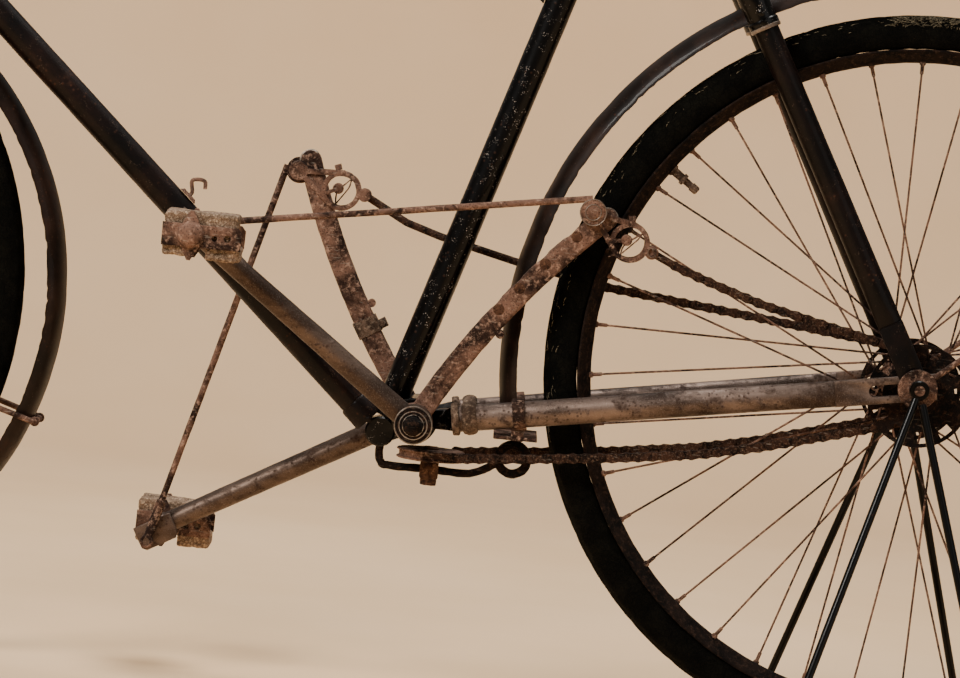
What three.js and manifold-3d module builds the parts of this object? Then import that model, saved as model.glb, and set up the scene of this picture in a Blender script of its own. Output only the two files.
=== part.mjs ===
import * as THREE from "three";
import { mergeVertices } from "three/addons/utils/BufferGeometryUtils.js";
import Module from "manifold-3d";

// A rusty lever-drive safety bicycle on the four-legged display stand that carries its rear axle.
// Millimetres. X points to the rear, Y to the rider's right, Z up. The part is drawn with the
// rear axle over X = 0 and moved at the end, so that its origin is under the middle of its box.

// Fits and facets
const CLEAR = 0.3;
const ROUND = 10;
const FINE = 12;
const SLIM = 6;

// Wheels
const TYRE_RADIUS = 355;
const TYRE_HALF = 19;
const TYRE_BEAD_HALF = 13;
const RIM_LIP_RADIUS = 322;
const RIM_SEAT_RADIUS = 313;
const RIM_SEAT_HALF = 6.5;
const RIM_WALL = 2.4;
const RIM_BACK = 3;
const WHEEL_FACETS = 36;
const WHEELBASE = 1215;
const REAR_LIFT = 6;
const SPOKE_RADIUS = 1;
const SPOKE_TANGENT = 24.5;
const SPOKE_RIM_Y = 3.5;
const SPOKE_CROSSING = 1.2;
const FLANGE_RADIUS = 27.5;
const FLANGE_WIDTH = 3.5;
const REAR_SPOKES = 40;
const REAR_SPOKE_PHASE = 4.1;
const REAR_FLANGE_Y = 25;
const REAR_BARREL_RADIUS = 14;
const REAR_HUB_HALF = 31;
const FRONT_SPOKES = 32;
const FRONT_FLANGE_Y = 27;
const FRONT_BARREL_RADIUS = 11;
const FRONT_HUB_HALF = 42;
const AXLE_RADIUS = 5;

// Frame
const CHAINSTAY_LENGTH = 480;
const PIVOT_Z = 279;
const PIVOT_SHELL_RADIUS = 22;
const PIVOT_SHELL_HALF = 29;
const JUNCTION_AHEAD = 32;
const JUNCTION_BELOW = 14.6;
const JUNCTION_RADIUS = 14.6;
const JUNCTION_HALF = 15;
const TUBE_RADIUS = 14.3;
const TOP_TUBE_RADIUS = 12.7;
const TOP_TUBE_Z = 868;
const SEAT_ANGLE = 73;
const SEAT_TUBE_TOP_Z = 925;
const SEAT_LUG_RADIUS = 17;
const SEAT_LUG_LENGTH = 80;
const HEAD_ANGLE = 70;
const FORK_RAKE = 45;
const FORK_RACE_HEIGHT = 12;
const FORK_RACE_RADIUS = 15;
const HEAD_BOTTOM = 402;
const HEAD_LENGTH = 188;
const HEAD_RADIUS = 17;
const HEAD_CUP_RADIUS = 21;
const HEAD_CUP_LENGTH = 12;
const STEERER_RADIUS = 11.5;
const DOWN_TUBE_ABOVE_HEAD_BOTTOM = 19;
const CHAINSTAY_RADIUS = 12.7;
const CHAINSTAY_FRONT_Y = 39;
const CHAINSTAY_FRONT_GAP = 36;
const STAY_COLLAR_LENGTH = 6;
const STAY_COLLAR_RADIUS = 15.4;
const STAY_BALL_CENTRE = 54;
const STAY_BALL_HALF = 7;
const STAY_BALL_RADIUS = 16;
const STAY_BAR_HEIGHT = 25;
const STAY_BAR_WIDTH = 8;
const STAY_BAR_LENGTH = 72;
const STAY_BAR_TAIL = 19;
const SEATSTAY_RADIUS = 12.3;
const SEATSTAY_TOP_Y = 45;
const SEATSTAY_ANGLE = 118.6;
const SEATSTAY_END_WIDTH = 7;
const SEATSTAY_END_LENGTH = 60;
const CROWN_HEIGHT = 24;
const CROWN_WIDTH = 24;
const CROWN_SOCKET_RADIUS = 15.2;
const CROWN_SOCKET_LENGTH = 26;
const CROWN_TUBE_RADIUS = 11.5;

// Rear axle, drums and chain
const AXLE_WASHER_RADIUS = 19;
const AXLE_WASHER_WIDTH = 3;
const AXLE_NUT_RADIUS = 10;
const AXLE_NUT_WIDTH = 7.6;
const DRUM_PITCH_RADIUS = 31;
const DRUM_CORE_RADIUS = 17;
const COVER_RADIUS = 49.7;
const COVER_WIDTH = 3;
const COVER_SHIFT_X = 4;
const COVER_SHIFT_Z = -8;
const COVER_SLOT_INNER = 36;
const COVER_SLOT_OUTER = 46;
const COVER_SLOT_WIDTH = 12;
const COVER_SLOTS = 8;
const CHAIN_HALF = 5;
const CHAIN_WEB_HALF = 3.6;
const CHAIN_PITCH = 26;
const CHAIN_BLOCK = 15;
const CHAIN_TOOTH_DEPTH = 9;
const CHAIN_TOOTH_HALF = 8;
const CHAIN_TOOTH_THICK = 2.5;
const CHAIN_TEETH_FROM = 300;
const CHAIN_END_ROD = 20;
const CHAIN_WRAP_TAIL = 2;
const PULLEY_RADIUS = 33;
const PULLEY_AHEAD = -18.6;
const PULLEY_Z = 246;
const PULLEY_PIN_RADIUS = 5;
const CHAIN_Y = PULLEY_RADIUS + CLEAR + CHAIN_HALF;

// Levers
const LEVER_AXLE_RADIUS = 8;
const LEVER_BOSS_RADIUS = 18.3;
const LEVER_NUT_RADIUS = 9;
const LEVER_NUT_HEIGHT = 10;
const ARM_LENGTH = 270;
const ARM_BEND_RADIUS = 800;
const ARM_TIP_ANGLE = -91.7;
const ARM_HALF_HEIGHT = 10.5;
const ARM_HALF_WIDTH = 9;
const PIN_ANGLE = -88.6;
const PIN_DISTANCE = ARM_LENGTH - 6;
const ARM_MARK_RADIUS = 6;
const ARM_MARK_DEPTH = 1.2;
const ARM_MARK_OFFSET = 4;
const ARM_BAND_LENGTH = 13;
const ARM_BAND_PROUD = 1.8;
const PIN_BOSS_RADIUS = 10;
const PIN_RADIUS = 6;
const CRANK_LENGTH = 275;
const CRANK_RADIUS_AT_PIVOT = 11.5;
const CRANK_RADIUS_AT_PEDAL = 9.75;
const CRANK_Y_AT_PIVOT = 64;
const CRANK_Y_AT_PEDAL = 76;
const CRANK_BOSS_END_Y = 82;
const PEDAL_BOSS_RADIUS = 12;
const PEDAL_BOSS_END_Y = 89;
const FORK_PLATE_HALF = 9;
const FORK_PLATE_WIDTH = 5;
const ROD_RADIUS = 3.25;
const ROD_END_DISTANCE = 292;
const ROD_END_HEIGHT = 7;
const ROD_EYE_RADIUS = 6.5;
const ROD_EYE_WIDTH = 10.4;
const ROD_SLEEVE_RADIUS = 5;
const ROD_SLEEVE_LENGTH = 40;
const ROD_PIN_RADIUS = 3.5;
const ROD_LIFT_AT_PIN = 13;
const LINK_LENGTH = 68;
const LINK_PLATE = 3;
const LINK_EYE_RADIUS = 8;
const LINK_RING_DISTANCE = 45.5;
const LINK_RING_ANGLE = -5;
const LINK_RING_RADIUS = 19.5;
const LINK_RING_HOLE = 14.5;
const LINK_BAR = 5;
const LINK_KNOB_RADIUS = 5.5;
const LINK_CHAIN_PIN_RADIUS = 3.5;
const LINK_CHAIN_EYE_RADIUS = 6.5;

// Pedals
const PEDAL_INNER_Y = 96;
const PEDAL_OUTER_Y = 162;
const PEDAL_TUBE_RADIUS = 9;
const PEDAL_SPINDLE_RADIUS = 5;
const PEDAL_PLATE = 3;
const PEDAL_PLATE_FRONT = -27;
const PEDAL_PLATE_REAR = 48;
const PEDAL_PLATE_HALF_HEIGHT = 11;
const PEDAL_PEAK = 24;
const PEDAL_PEAK_HALF = 8;
const PEDAL_PAD_HEIGHT = 16;
const PEDAL_CAP_RADIUS = 13.5;
const PEDAL_CAP_HEIGHT = 9;

// Mudguards
const GUARD_HALF = 27;
const GUARD_SHEET = 2;
const GUARD_DEPTH = 17;
const REAR_GUARD_RADIUS = 398;
const REAR_GUARD_START = 25;
const REAR_GUARD_END = 188.7;
const FRONT_GUARD_RADIUS = 380;
const FRONT_GUARD_START = 150;
const FRONT_GUARD_KINK = 35.4;
const FRONT_GUARD_END = -25.6;
const BULGE_AHEAD = 75.6;
const BULGE_RADIUS = 321.1;
const GUARD_FACETS = 44;
const GUARD_STAY_RADIUS = 3;
const GUARD_STAY_EYE_RADIUS = 10;
const GUARD_STAY_EYE_WIDTH = 2.5;
const GUARD_STAY_TAB = 27;
const REAR_GUARD_STAY_ANGLE = 39.4;
const FRONT_GUARD_STAY_ANGLE = -16.6;

// Steering
const FORK_CROWN_BOTTOM = 384;
const FORK_CROWN_HALF_Y = 48;
const FORK_CROWN_HALF_X = 13;
const BLADE_Y_AT_CROWN = 38;
const BLADE_Y_AT_AXLE = 50;
const BLADE_RADIUS_AT_CROWN = 9.5;
const BLADE_RADIUS_AT_AXLE = 6;
const FORK_END_RADIUS = 12;
const FORK_END_WIDTH = 7;
const FRONT_NUT_WIDTH = 8;
const STEM_RADIUS = 11;
const STEM_TOP = 668;
const STEM_COLLAR_RADIUS = 16;
const BAR_RADIUS = 11;
const BAR_HALF = 255;
const BAR_SWEEP = 150;
const BAR_STRAIGHT = 70;
const GRIP_RADIUS = 15;
const GRIP_LENGTH = 105;

// Saddle
const SEAT_POST_RADIUS = 11;
const SEAT_POST_DEPTH = 60;
const SEAT_POST_RISE = 45;
const SEAT_BAR_FRONT = 70;
const SEAT_BAR_REAR = 60;
const SADDLE_LENGTH = 265;
const SADDLE_NOSE_HALF = 20;
const SADDLE_REAR_HALF = 105;
const SADDLE_SETBACK = 25;
const SADDLE_THICKNESS = 5;
const SPRING_RADIUS = 15;
const SPRING_HEIGHT = 45;
const SPRING_COILS = 5;
const SPRING_CORE_RADIUS = 11.5;
const SPRING_COIL_HEIGHT = 4.4;
const SPRING_Y = 62;
const SADDLE_WIRE = 4;

// Small parts on the frame
const HANGER_BEHIND_PIVOT = 101;
const HANGER_PLATE_Z = 271.3;
const HANGER_PLATE = 4;
const HANGER_LENGTH = 42;
const HANGER_STRAP = 2.6;
const HANGER_STRAP_LENGTH = 12;
const EYE_RADIUS = 18.5;
const EYE_HOLE = 10;
const EYE_HALF = 4;
const EYE_Z = 249.3;
const PULL_ROD_RADIUS = 4;
const PULL_ROD_FALL = 18;
const PULL_ROD_BEND = 9;
const BLOCK_HALF = 9;
const BLOCK_BOTTOM_Z = 222;
const BLOCK_NUT_HEIGHT = 6;
const BLOCK_NUT_RADIUS = 8;
const HOOK_ALONG = 292;
const HOOK_BASE_LENGTH = 20;
const HOOK_WIRE = 2;
const HOOK_RADIUS = 8;
const GUSSET_ALONG = 440;
const GUSSET_DEPTH = 24;
const GUSSET_HEIGHT = 40;
const GUSSET_HALF = 4;

// Stand
const STAND_ROD_RADIUS = 4;
const STAND_FOOT_X = 107;
const STAND_FOOT_Y = 185;
const STAND_SOCKET_RADIUS = 9.5;
const STAND_SOCKET_WIDTH = 11.7;
const STAND_BAR_WIDTH = 30;
const STAND_BAR_HEIGHT = 6;

// Places that follow from the sizes above
const rad = THREE.MathUtils.degToRad;
const side = (x, z) => new THREE.Vector2(x, z);
const at = (p, y) => new THREE.Vector3(p.x, y, p.y);
const polar = (centre, angle, distance) =>
  side(centre.x + distance * Math.cos(rad(angle)), centre.y + distance * Math.sin(rad(angle)));
const angleOf = (from, to) => THREE.MathUtils.radToDeg(Math.atan2(to.y - from.y, to.x - from.x));

// The radius of a faceted hole or room that clears a round piece all the way round.
const around = (radius) => (radius + CLEAR) / Math.cos(Math.PI / ROUND);
const between = (from, to, distance) => polar(from, angleOf(from, to), distance);

// Where a line through one point meets a line through another, each with its angle.
function meet(p, angleP, q, angleQ) {
  const a = polar(side(0, 0), angleP, 1);
  const b = polar(side(0, 0), angleQ, 1);
  return polar(p, angleP, side(q.x - p.x, q.y - p.y).cross(b) / a.cross(b));
}

const rearHub = side(0, TYRE_RADIUS + REAR_LIFT);
const frontHub = side(-WHEELBASE, TYRE_RADIUS);
const pivot = side(-Math.sqrt(CHAINSTAY_LENGTH ** 2 - (rearHub.y - PIVOT_Z) ** 2), PIVOT_Z);
const junction = side(pivot.x - JUNCTION_AHEAD, pivot.y - JUNCTION_BELOW);
const steeringFoot = polar(frontHub, HEAD_ANGLE - 90, FORK_RAKE);
const onSteering = (distance) => polar(steeringFoot, HEAD_ANGLE, distance);
const downTubeTop = onSteering(HEAD_BOTTOM + DOWN_TUBE_ABOVE_HEAD_BOTTOM);
const seatLine = (z) => side(junction.x + (z - junction.y) / Math.tan(rad(SEAT_ANGLE)), z);
const seatTubeTop = seatLine(SEAT_TUBE_TOP_Z);
const headAtTopTube = onSteering((TOP_TUBE_Z - steeringFoot.y) / Math.sin(rad(HEAD_ANGLE)));
const pulleyCentre = side(pivot.x - PULLEY_AHEAD, PULLEY_Z);

// Distances from the middle plane along the rear axle, each piece against the one inside it
const drumInner = REAR_HUB_HALF + CLEAR;
const coverInner = CHAIN_Y + CHAIN_HALF + 0.7;
const chainstayInner = 54;
const seatstayInner = chainstayInner + STAY_BAR_WIDTH + CLEAR;
const eyeInner = seatstayInner + SEATSTAY_END_WIDTH + CLEAR;
const washerInner = eyeInner + GUARD_STAY_EYE_WIDTH + CLEAR;
const socketInner = washerInner + AXLE_WASHER_WIDTH + AXLE_NUT_WIDTH + CLEAR;
const rearAxleHalf = socketInner + STAND_SOCKET_WIDTH + 2;

// The chain stay's centre line, by the distance behind the lever pivot.
function onChainstay(distance, way) {
  const end = chainstayInner + STAY_BAR_WIDTH / 2;
  const y = CHAINSTAY_FRONT_Y + ((end - CHAINSTAY_FRONT_Y) * distance) / CHAINSTAY_LENGTH;
  return at(between(pivot, rearHub, distance), way * y);
}

// Solids
const wasm = await Module();
wasm.setup();

function solid(geometry) {
  const bare = new THREE.BufferGeometry();
  const flat = geometry.index ? geometry.toNonIndexed() : geometry;
  bare.setAttribute("position", flat.getAttribute("position"));
  const merged = mergeVertices(bare, 1e-4);
  const place = merged.attributes.position;
  const corner = (i) => new THREE.Vector3().fromBufferAttribute(place, i);
  const faces = [];
  let volume = 0;
  for (let i = 0; i < merged.index.count; i += 3) {
    const [a, b, c] = [0, 1, 2].map((k) => merged.index.getX(i + k));
    if (a === b || b === c || c === a) continue;
    faces.push([a, b, c]);
    volume += corner(a).dot(corner(b).cross(corner(c)));
  }
  // A profile may be drawn either way round: the faces are turned to point out.
  const outward = volume > 0 ? faces : faces.map(([a, b, c]) => [a, c, b]);
  return new wasm.Manifold(
    new wasm.Mesh({
      numProp: 3,
      vertProperties: place.array,
      triVerts: new Uint32Array(outward.flat()),
    }),
  );
}

const join = (...solids) => solids.reduce((whole, next) => whole.add(next));
const cut = (whole, ...tools) => tools.reduce((rest, tool) => rest.subtract(tool), whole);

// A straight round bar from one point to another, round or tapered.
function bar(from, to, radius, facets = ROUND, endRadius = radius) {
  const length = from.distanceTo(to);
  const g = new THREE.CylinderGeometry(endRadius, radius, length, facets);
  const turn = new THREE.Quaternion().setFromUnitVectors(
    new THREE.Vector3(0, 1, 0),
    to.clone().sub(from).normalize(),
  );
  g.applyQuaternion(turn);
  g.translate((from.x + to.x) / 2, (from.y + to.y) / 2, (from.z + to.z) / 2);
  return solid(g);
}

// A round bar across the bicycle, from one distance to the right to another.
const crossBar = (centre, y0, y1, radius, facets = ROUND) =>
  bar(at(centre, y0), at(centre, y1), radius, facets);

// A flat piece with a side-view outline, from one distance to the right to another.
function slab(outline, y0, y1) {
  const g = new THREE.ExtrudeGeometry(new THREE.Shape(outline), {
    depth: Math.abs(y1 - y0),
    bevelEnabled: false,
  });
  g.rotateX(Math.PI / 2);
  g.translate(0, Math.max(y0, y1), 0);
  return solid(g);
}

// The outline of a strip of even width along side-view points.
function stripOutline(points, half) {
  const offset = (i, way) => {
    const before = points[Math.max(i - 1, 0)];
    const after = points[Math.min(i + 1, points.length - 1)];
    return polar(points[i], angleOf(before, after) + 90 * way, half);
  };
  const upper = points.map((p, i) => offset(i, 1));
  const lower = points.map((p, i) => offset(i, -1)).reverse();
  return [...upper, ...lower];
}

// Points of an arc from one angle to another.
function arc(centre, radius, from, to, steps) {
  return Array.from({ length: steps + 1 }, (_, i) =>
    polar(centre, from + ((to - from) * i) / steps, radius),
  );
}

const disc = (centre, radius, facets = FINE) => arc(centre, radius, 0, 360 - 360 / facets, facets - 1);

// A solid turned about the Y axis from [radius, y] pairs.
function turned(profile, facets) {
  const points = profile.map(([radius, y]) => new THREE.Vector2(radius, y));
  return solid(new THREE.LatheGeometry([...points, points[0]], facets));
}

// A round bar along a smooth path.
function bent(points, radius, steps, facets = SLIM) {
  const path = new THREE.CatmullRomCurve3(points, false, "centripetal");
  const section = new THREE.Shape(disc(side(0, 0), radius, facets));
  return solid(
    new THREE.ExtrudeGeometry(section, { steps, extrudePath: path, bevelEnabled: false }),
  );
}

function box(x0, x1, y0, y1, z0, z1) {
  const g = new THREE.BoxGeometry(x1 - x0, y1 - y0, z1 - z0);
  g.translate((x0 + x1) / 2, (y0 + y1) / 2, (z0 + z1) / 2);
  return solid(g);
}

// Materials
const paint = (color, roughness = 0.6, metalness = 0.3) =>
  new THREE.MeshStandardMaterial({ color, roughness, metalness });
const materials = {
  blackPaint: paint(0x17150f, 0.4),
  brownPaint: paint(0x2c2420, 0.55),
  rust: paint(0x4a3128, 0.85, 0.4),
  greyRust: paint(0x5a4d44, 0.75, 0.5),
  rubber: paint(0x171914, 0.9, 0),
  grip: paint(0x2b241d, 0.9, 0),
  pad: paint(0x8a7458, 0.95, 0),
  leather: paint(0x4a3020, 0.8, 0),
  standSteel: paint(0x101010, 0.5, 0.5),
};

const bicycle = new THREE.Group();

function put(group, name, body, material) {
  const made = body.getMesh();
  const g = new THREE.BufferGeometry();
  g.setAttribute("position", new THREE.BufferAttribute(made.vertProperties, made.numProp));
  g.setIndex(new THREE.BufferAttribute(made.triVerts, 1));
  const mesh = new THREE.Mesh(g, materials[material]);
  mesh.name = name;
  group.add(mesh);
}

// A wheel about its own axle
function rimProfile() {
  const lip = TYRE_BEAD_HALF + CLEAR;
  const back = RIM_SEAT_RADIUS - RIM_BACK;
  const outside = [
    [RIM_LIP_RADIUS, lip + RIM_WALL],
    [back, RIM_SEAT_HALF + 1],
  ];
  const inside = [
    [RIM_SEAT_RADIUS, RIM_SEAT_HALF],
    [RIM_LIP_RADIUS, lip],
  ];
  const mirrored = (pairs) => pairs.map(([r, y]) => [r, -y]).reverse();
  return [...outside, ...mirrored(outside), ...mirrored(inside), ...inside];
}

function tyreProfile() {
  const centre = TYRE_RADIUS - TYRE_HALF;
  const beadAngle = Math.PI - Math.asin(TYRE_BEAD_HALF / TYRE_HALF);
  const steps = 6;
  const crown = Array.from({ length: steps + 1 }, (_, i) => {
    const a = beadAngle * (1 - (2 * i) / steps);
    return [centre + TYRE_HALF * Math.cos(a), TYRE_HALF * Math.sin(a)];
  });
  const bead = [RIM_SEAT_RADIUS + CLEAR, RIM_SEAT_HALF - CLEAR];
  return [[bead[0], -bead[1]], bead, ...crown];
}

function hubWithSpokes({ count, phase, flangeY, barrel, half, bore }) {
  const origin = side(0, 0);
  const tip = (RIM_SEAT_RADIUS - RIM_BACK) * Math.cos(Math.PI / WHEEL_FACETS) - CLEAR;
  const lean = THREE.MathUtils.radToDeg(Math.acos(SPOKE_TANGENT / tip));
  let hub = crossBar(origin, -half, half, barrel, FINE);
  for (const way of [-1, 1]) {
    hub = join(
      hub,
      crossBar(origin, way * flangeY, way * (flangeY + FLANGE_WIDTH), FLANGE_RADIUS, FINE),
    );
  }
  // The spokes leave the two flanges by turns, and each flange's by turns to the front and rear.
  const pulls = [-1, 1, 1, -1];
  for (let i = 0; i < count; i += 1) {
    const flange = i % 2 ? 1 : -1;
    const rimAngle = phase + (360 * i) / count;
    const root = polar(origin, rimAngle + pulls[i % 4] * lean, SPOKE_TANGENT);
    const end = polar(origin, rimAngle, tip);
    const crossing = pulls[i % 4] * SPOKE_CROSSING;
    const from = at(root, flange * (flangeY + FLANGE_WIDTH / 2 + crossing));
    const to = at(end, flange * (SPOKE_RIM_Y + crossing));
    hub = join(hub, bar(from, to, SPOKE_RADIUS, 3));
  }
  return cut(hub, crossBar(origin, -half - 1, half + 1, bore, FINE));
}

function addWheel(group, name, hub) {
  put(group, `${name}_tyre`, turned(tyreProfile(), WHEEL_FACETS), "rubber");
  put(group, `${name}_rim`, turned(rimProfile(), WHEEL_FACETS), "rust");
  put(group, `${name}_hub`, hubWithSpokes(hub), "greyRust");
}

// Mudguards are a channel bent round the wheel
function guardProfile(radius) {
  const outer = [
    [radius - GUARD_DEPTH, GUARD_HALF],
    [radius - GUARD_DEPTH * 0.3, GUARD_HALF * 0.62],
  ];
  const inner = outer.map(([r, y]) => [r - GUARD_SHEET, y - GUARD_SHEET * 0.3]).reverse();
  const mirrored = (pairs) => pairs.map(([r, y]) => [r, -y]).reverse();
  return [
    ...outer,
    [radius, 0],
    ...mirrored(outer),
    ...mirrored(inner),
    [radius - GUARD_SHEET, 0],
    ...inner,
  ];
}

function guardArc(centre, radius, from, to) {
  const ring = turned(guardProfile(radius), GUARD_FACETS).translate([centre.x, 0, centre.y]);
  const reach = radius * 2;
  const wedge = [centre, ...arc(centre, reach, from, to, 6)];
  return ring.intersect(slab(wedge, -GUARD_HALF - 5, GUARD_HALF + 5));
}

// How far the faceted mudguard reaches from its centre at an angle.
function facetReach(radius, angle) {
  const step = 360 / GUARD_FACETS;
  const fromMiddle = THREE.MathUtils.euclideanModulo(angle, step) - step / 2;
  return (radius * Math.cos(rad(step / 2))) / Math.cos(rad(fromMiddle));
}

// A wire stay from each end of an axle to a bridge over the mudguard
function guardStay(centre, reach, angle, eyeY) {
  const bridge = polar(centre, angle, reach);
  const half = GUARD_HALF + GUARD_STAY_RADIUS + 2;
  let stay = crossBar(bridge, -half, half, GUARD_STAY_RADIUS, SLIM);
  for (const way of [-1, 1]) {
    const outer = way * (eyeY + GUARD_STAY_EYE_WIDTH);
    const eye = slab(disc(centre, GUARD_STAY_EYE_RADIUS, ROUND), way * eyeY, outer);
    const tabEnd = polar(centre, angle, GUARD_STAY_TAB);
    const tab = slab(stripOutline([centre, tabEnd], GUARD_STAY_RADIUS), way * eyeY, outer);
    const start = at(polar(tabEnd, angle, -GUARD_STAY_RADIUS), (way * eyeY + outer) / 2);
    stay = join(stay, eye, tab, bar(start, at(bridge, way * half), GUARD_STAY_RADIUS, SLIM));
    stay = cut(stay, crossBar(centre, way * (eyeY - 1), outer + way, around(AXLE_RADIUS)));
  }
  return stay;
}

// Frame tubes and stays
function addFrame() {
  const head = bar(
    at(onSteering(HEAD_BOTTOM), 0),
    at(onSteering(HEAD_BOTTOM + HEAD_LENGTH), 0),
    HEAD_RADIUS,
    FINE,
  );
  const cup = (start) =>
    bar(at(onSteering(start), 0), at(onSteering(start + HEAD_CUP_LENGTH), 0), HEAD_CUP_RADIUS, FINE);
  const headEnd = HEAD_BOTTOM + HEAD_LENGTH;
  const bore = bar(
    at(onSteering(HEAD_BOTTOM - 5), 0),
    at(onSteering(headEnd + 5), 0),
    around(STEERER_RADIUS),
    FINE,
  );
  const cups = [cup(HEAD_BOTTOM), cup(headEnd - HEAD_CUP_LENGTH)];
  put(bicycle, "head_tube", cut(join(head, ...cups), bore), "blackPaint");
  const headRoom = bar(
    at(onSteering(HEAD_BOTTOM - 5), 0),
    at(onSteering(headEnd + 5), 0),
    HEAD_CUP_RADIUS + CLEAR,
    FINE,
  );
  const tubeRoom = bar(
    at(onSteering(HEAD_BOTTOM - 5), 0),
    at(onSteering(headEnd + 5), 0),
    HEAD_RADIUS + CLEAR,
    FINE,
  );
  const cupRoom = headRoom.intersect(
    join(
      bar(
        at(onSteering(HEAD_BOTTOM - 5), 0),
        at(onSteering(HEAD_BOTTOM + HEAD_CUP_LENGTH + CLEAR), 0),
        HEAD_CUP_RADIUS + 10,
      ),
      bar(
        at(onSteering(headEnd - HEAD_CUP_LENGTH - CLEAR), 0),
        at(onSteering(headEnd + 5), 0),
        HEAD_CUP_RADIUS + 10,
      ),
    ),
  );

  // The lever pivot shell, with the knuckle ahead of it where the two main tubes meet
  const shell = crossBar(pivot, -PIVOT_SHELL_HALF, PIVOT_SHELL_HALF, PIVOT_SHELL_RADIUS, FINE);
  const knuckle = crossBar(junction, -JUNCTION_HALF, JUNCTION_HALF, JUNCTION_RADIUS, FINE);
  const web = slab(
    stripOutline([junction, pivot], JUNCTION_RADIUS - 2),
    -JUNCTION_HALF + 3,
    JUNCTION_HALF - 3,
  );
  let bracket = join(shell, knuckle, web);
  for (const way of [-1, 1]) {
    const root = at(between(pivot, rearHub, PIVOT_SHELL_RADIUS - 8), way * (PIVOT_SHELL_HALF - 11));
    const horn = bar(root, onChainstay(CHAINSTAY_FRONT_GAP + 5, way), 9, ROUND, 11);
    const room = bar(
      onChainstay(CHAINSTAY_FRONT_GAP - CLEAR, way),
      onChainstay(CHAINSTAY_FRONT_GAP + 40, way),
      CHAINSTAY_RADIUS * 2,
      ROUND,
    );
    bracket = join(bracket, cut(horn, room));
  }
  const axleBore = crossBar(pivot, -60, 60, around(LEVER_AXLE_RADIUS));
  const bossRoom = [-1, 1].map((way) =>
    crossBar(pivot, way * (PIVOT_SHELL_HALF + 0.01), way * 60, LEVER_BOSS_RADIUS + 7, FINE),
  );
  put(bicycle, "pivot_bracket", cut(bracket, axleBore, ...bossRoom), "blackPaint");

  const knuckleRoom = crossBar(junction, -30, 30, JUNCTION_RADIUS + CLEAR, FINE);
  const shellRoom = crossBar(pivot, -30, 30, PIVOT_SHELL_RADIUS + CLEAR, FINE);
  const webRoom = slab(stripOutline([junction, pivot], JUNCTION_RADIUS - 2 + CLEAR), -30, 30);
  const downTube = bar(at(junction, 0), at(downTubeTop, 0), TUBE_RADIUS, FINE);
  const seatTube = bar(at(junction, 0), at(seatTubeTop, 0), TUBE_RADIUS, FINE);
  const seatTubeRoom = bar(at(junction, 0), at(seatTubeTop, 0), TUBE_RADIUS + CLEAR, FINE);
  put(
    bicycle,
    "down_tube",
    cut(downTube, tubeRoom, cupRoom, knuckleRoom, webRoom, seatTubeRoom),
    "brownPaint",
  );
  const lugStart = seatLine(SEAT_TUBE_TOP_Z - SEAT_LUG_LENGTH);
  const postBore = bar(
    at(seatLine(SEAT_TUBE_TOP_Z - SEAT_POST_DEPTH - CLEAR), 0),
    at(seatLine(SEAT_TUBE_TOP_Z + 10), 0),
    around(SEAT_POST_RADIUS),
    FINE,
  );
  const seatLug = bar(at(lugStart, 0), at(seatTubeTop, 0), SEAT_LUG_RADIUS, FINE);
  put(
    bicycle,
    "seat_tube",
    cut(join(seatTube, seatLug), knuckleRoom, webRoom, shellRoom, postBore),
    "blackPaint",
  );
  const lugRoom = bar(
    at(seatLine(SEAT_TUBE_TOP_Z - SEAT_LUG_LENGTH - CLEAR), 0),
    at(seatLine(SEAT_TUBE_TOP_Z + 5), 0),
    SEAT_LUG_RADIUS + CLEAR,
    FINE,
  );
  const topTube = bar(
    at(headAtTopTube, 0),
    at(seatLine(TOP_TUBE_Z), 0),
    TOP_TUBE_RADIUS,
    FINE,
  );
  put(bicycle, "top_tube", cut(topTube, tubeRoom, cupRoom, lugRoom, seatTubeRoom), "blackPaint");

  // Chain stays, flattened into a slotted bar at the axle
  for (const [name, way] of [["left", -1], ["right", 1]]) {
    const tube = bar(
      onChainstay(CHAINSTAY_FRONT_GAP, way),
      onChainstay(CHAINSTAY_LENGTH - STAY_BAR_LENGTH, way),
      CHAINSTAY_RADIUS,
      ROUND,
    );
    const collarEnd = CHAINSTAY_FRONT_GAP + STAY_COLLAR_LENGTH;
    const collar = bar(
      onChainstay(CHAINSTAY_FRONT_GAP, way),
      onChainstay(collarEnd, way),
      STAY_COLLAR_RADIUS,
      ROUND,
    );
    const balls = [-1, 1].map((end) =>
      bar(
        onChainstay(STAY_BALL_CENTRE, way),
        onChainstay(STAY_BALL_CENTRE + end * STAY_BALL_HALF, way),
        STAY_BALL_RADIUS,
        ROUND,
        CHAINSTAY_RADIUS - 1,
      ),
    );
    const reach = between(rearHub, pivot, STAY_BAR_LENGTH + 8);
    const tail = between(rearHub, pivot, -STAY_BAR_TAIL);
    const flat = slab(
      stripOutline([reach, tail], STAY_BAR_HEIGHT / 2),
      way * chainstayInner,
      way * (chainstayInner + STAY_BAR_WIDTH),
    );
    const slot = slab(
      stripOutline([between(rearHub, pivot, 40), between(rearHub, pivot, -7)], AXLE_RADIUS + CLEAR),
      way * (chainstayInner - 5),
      way * (chainstayInner + STAY_BAR_WIDTH + 5),
    );
    const stay = join(tube, collar, ...balls, flat);
    put(bicycle, `chainstay_${name}`, cut(stay, slot), "greyRust");
  }

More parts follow.
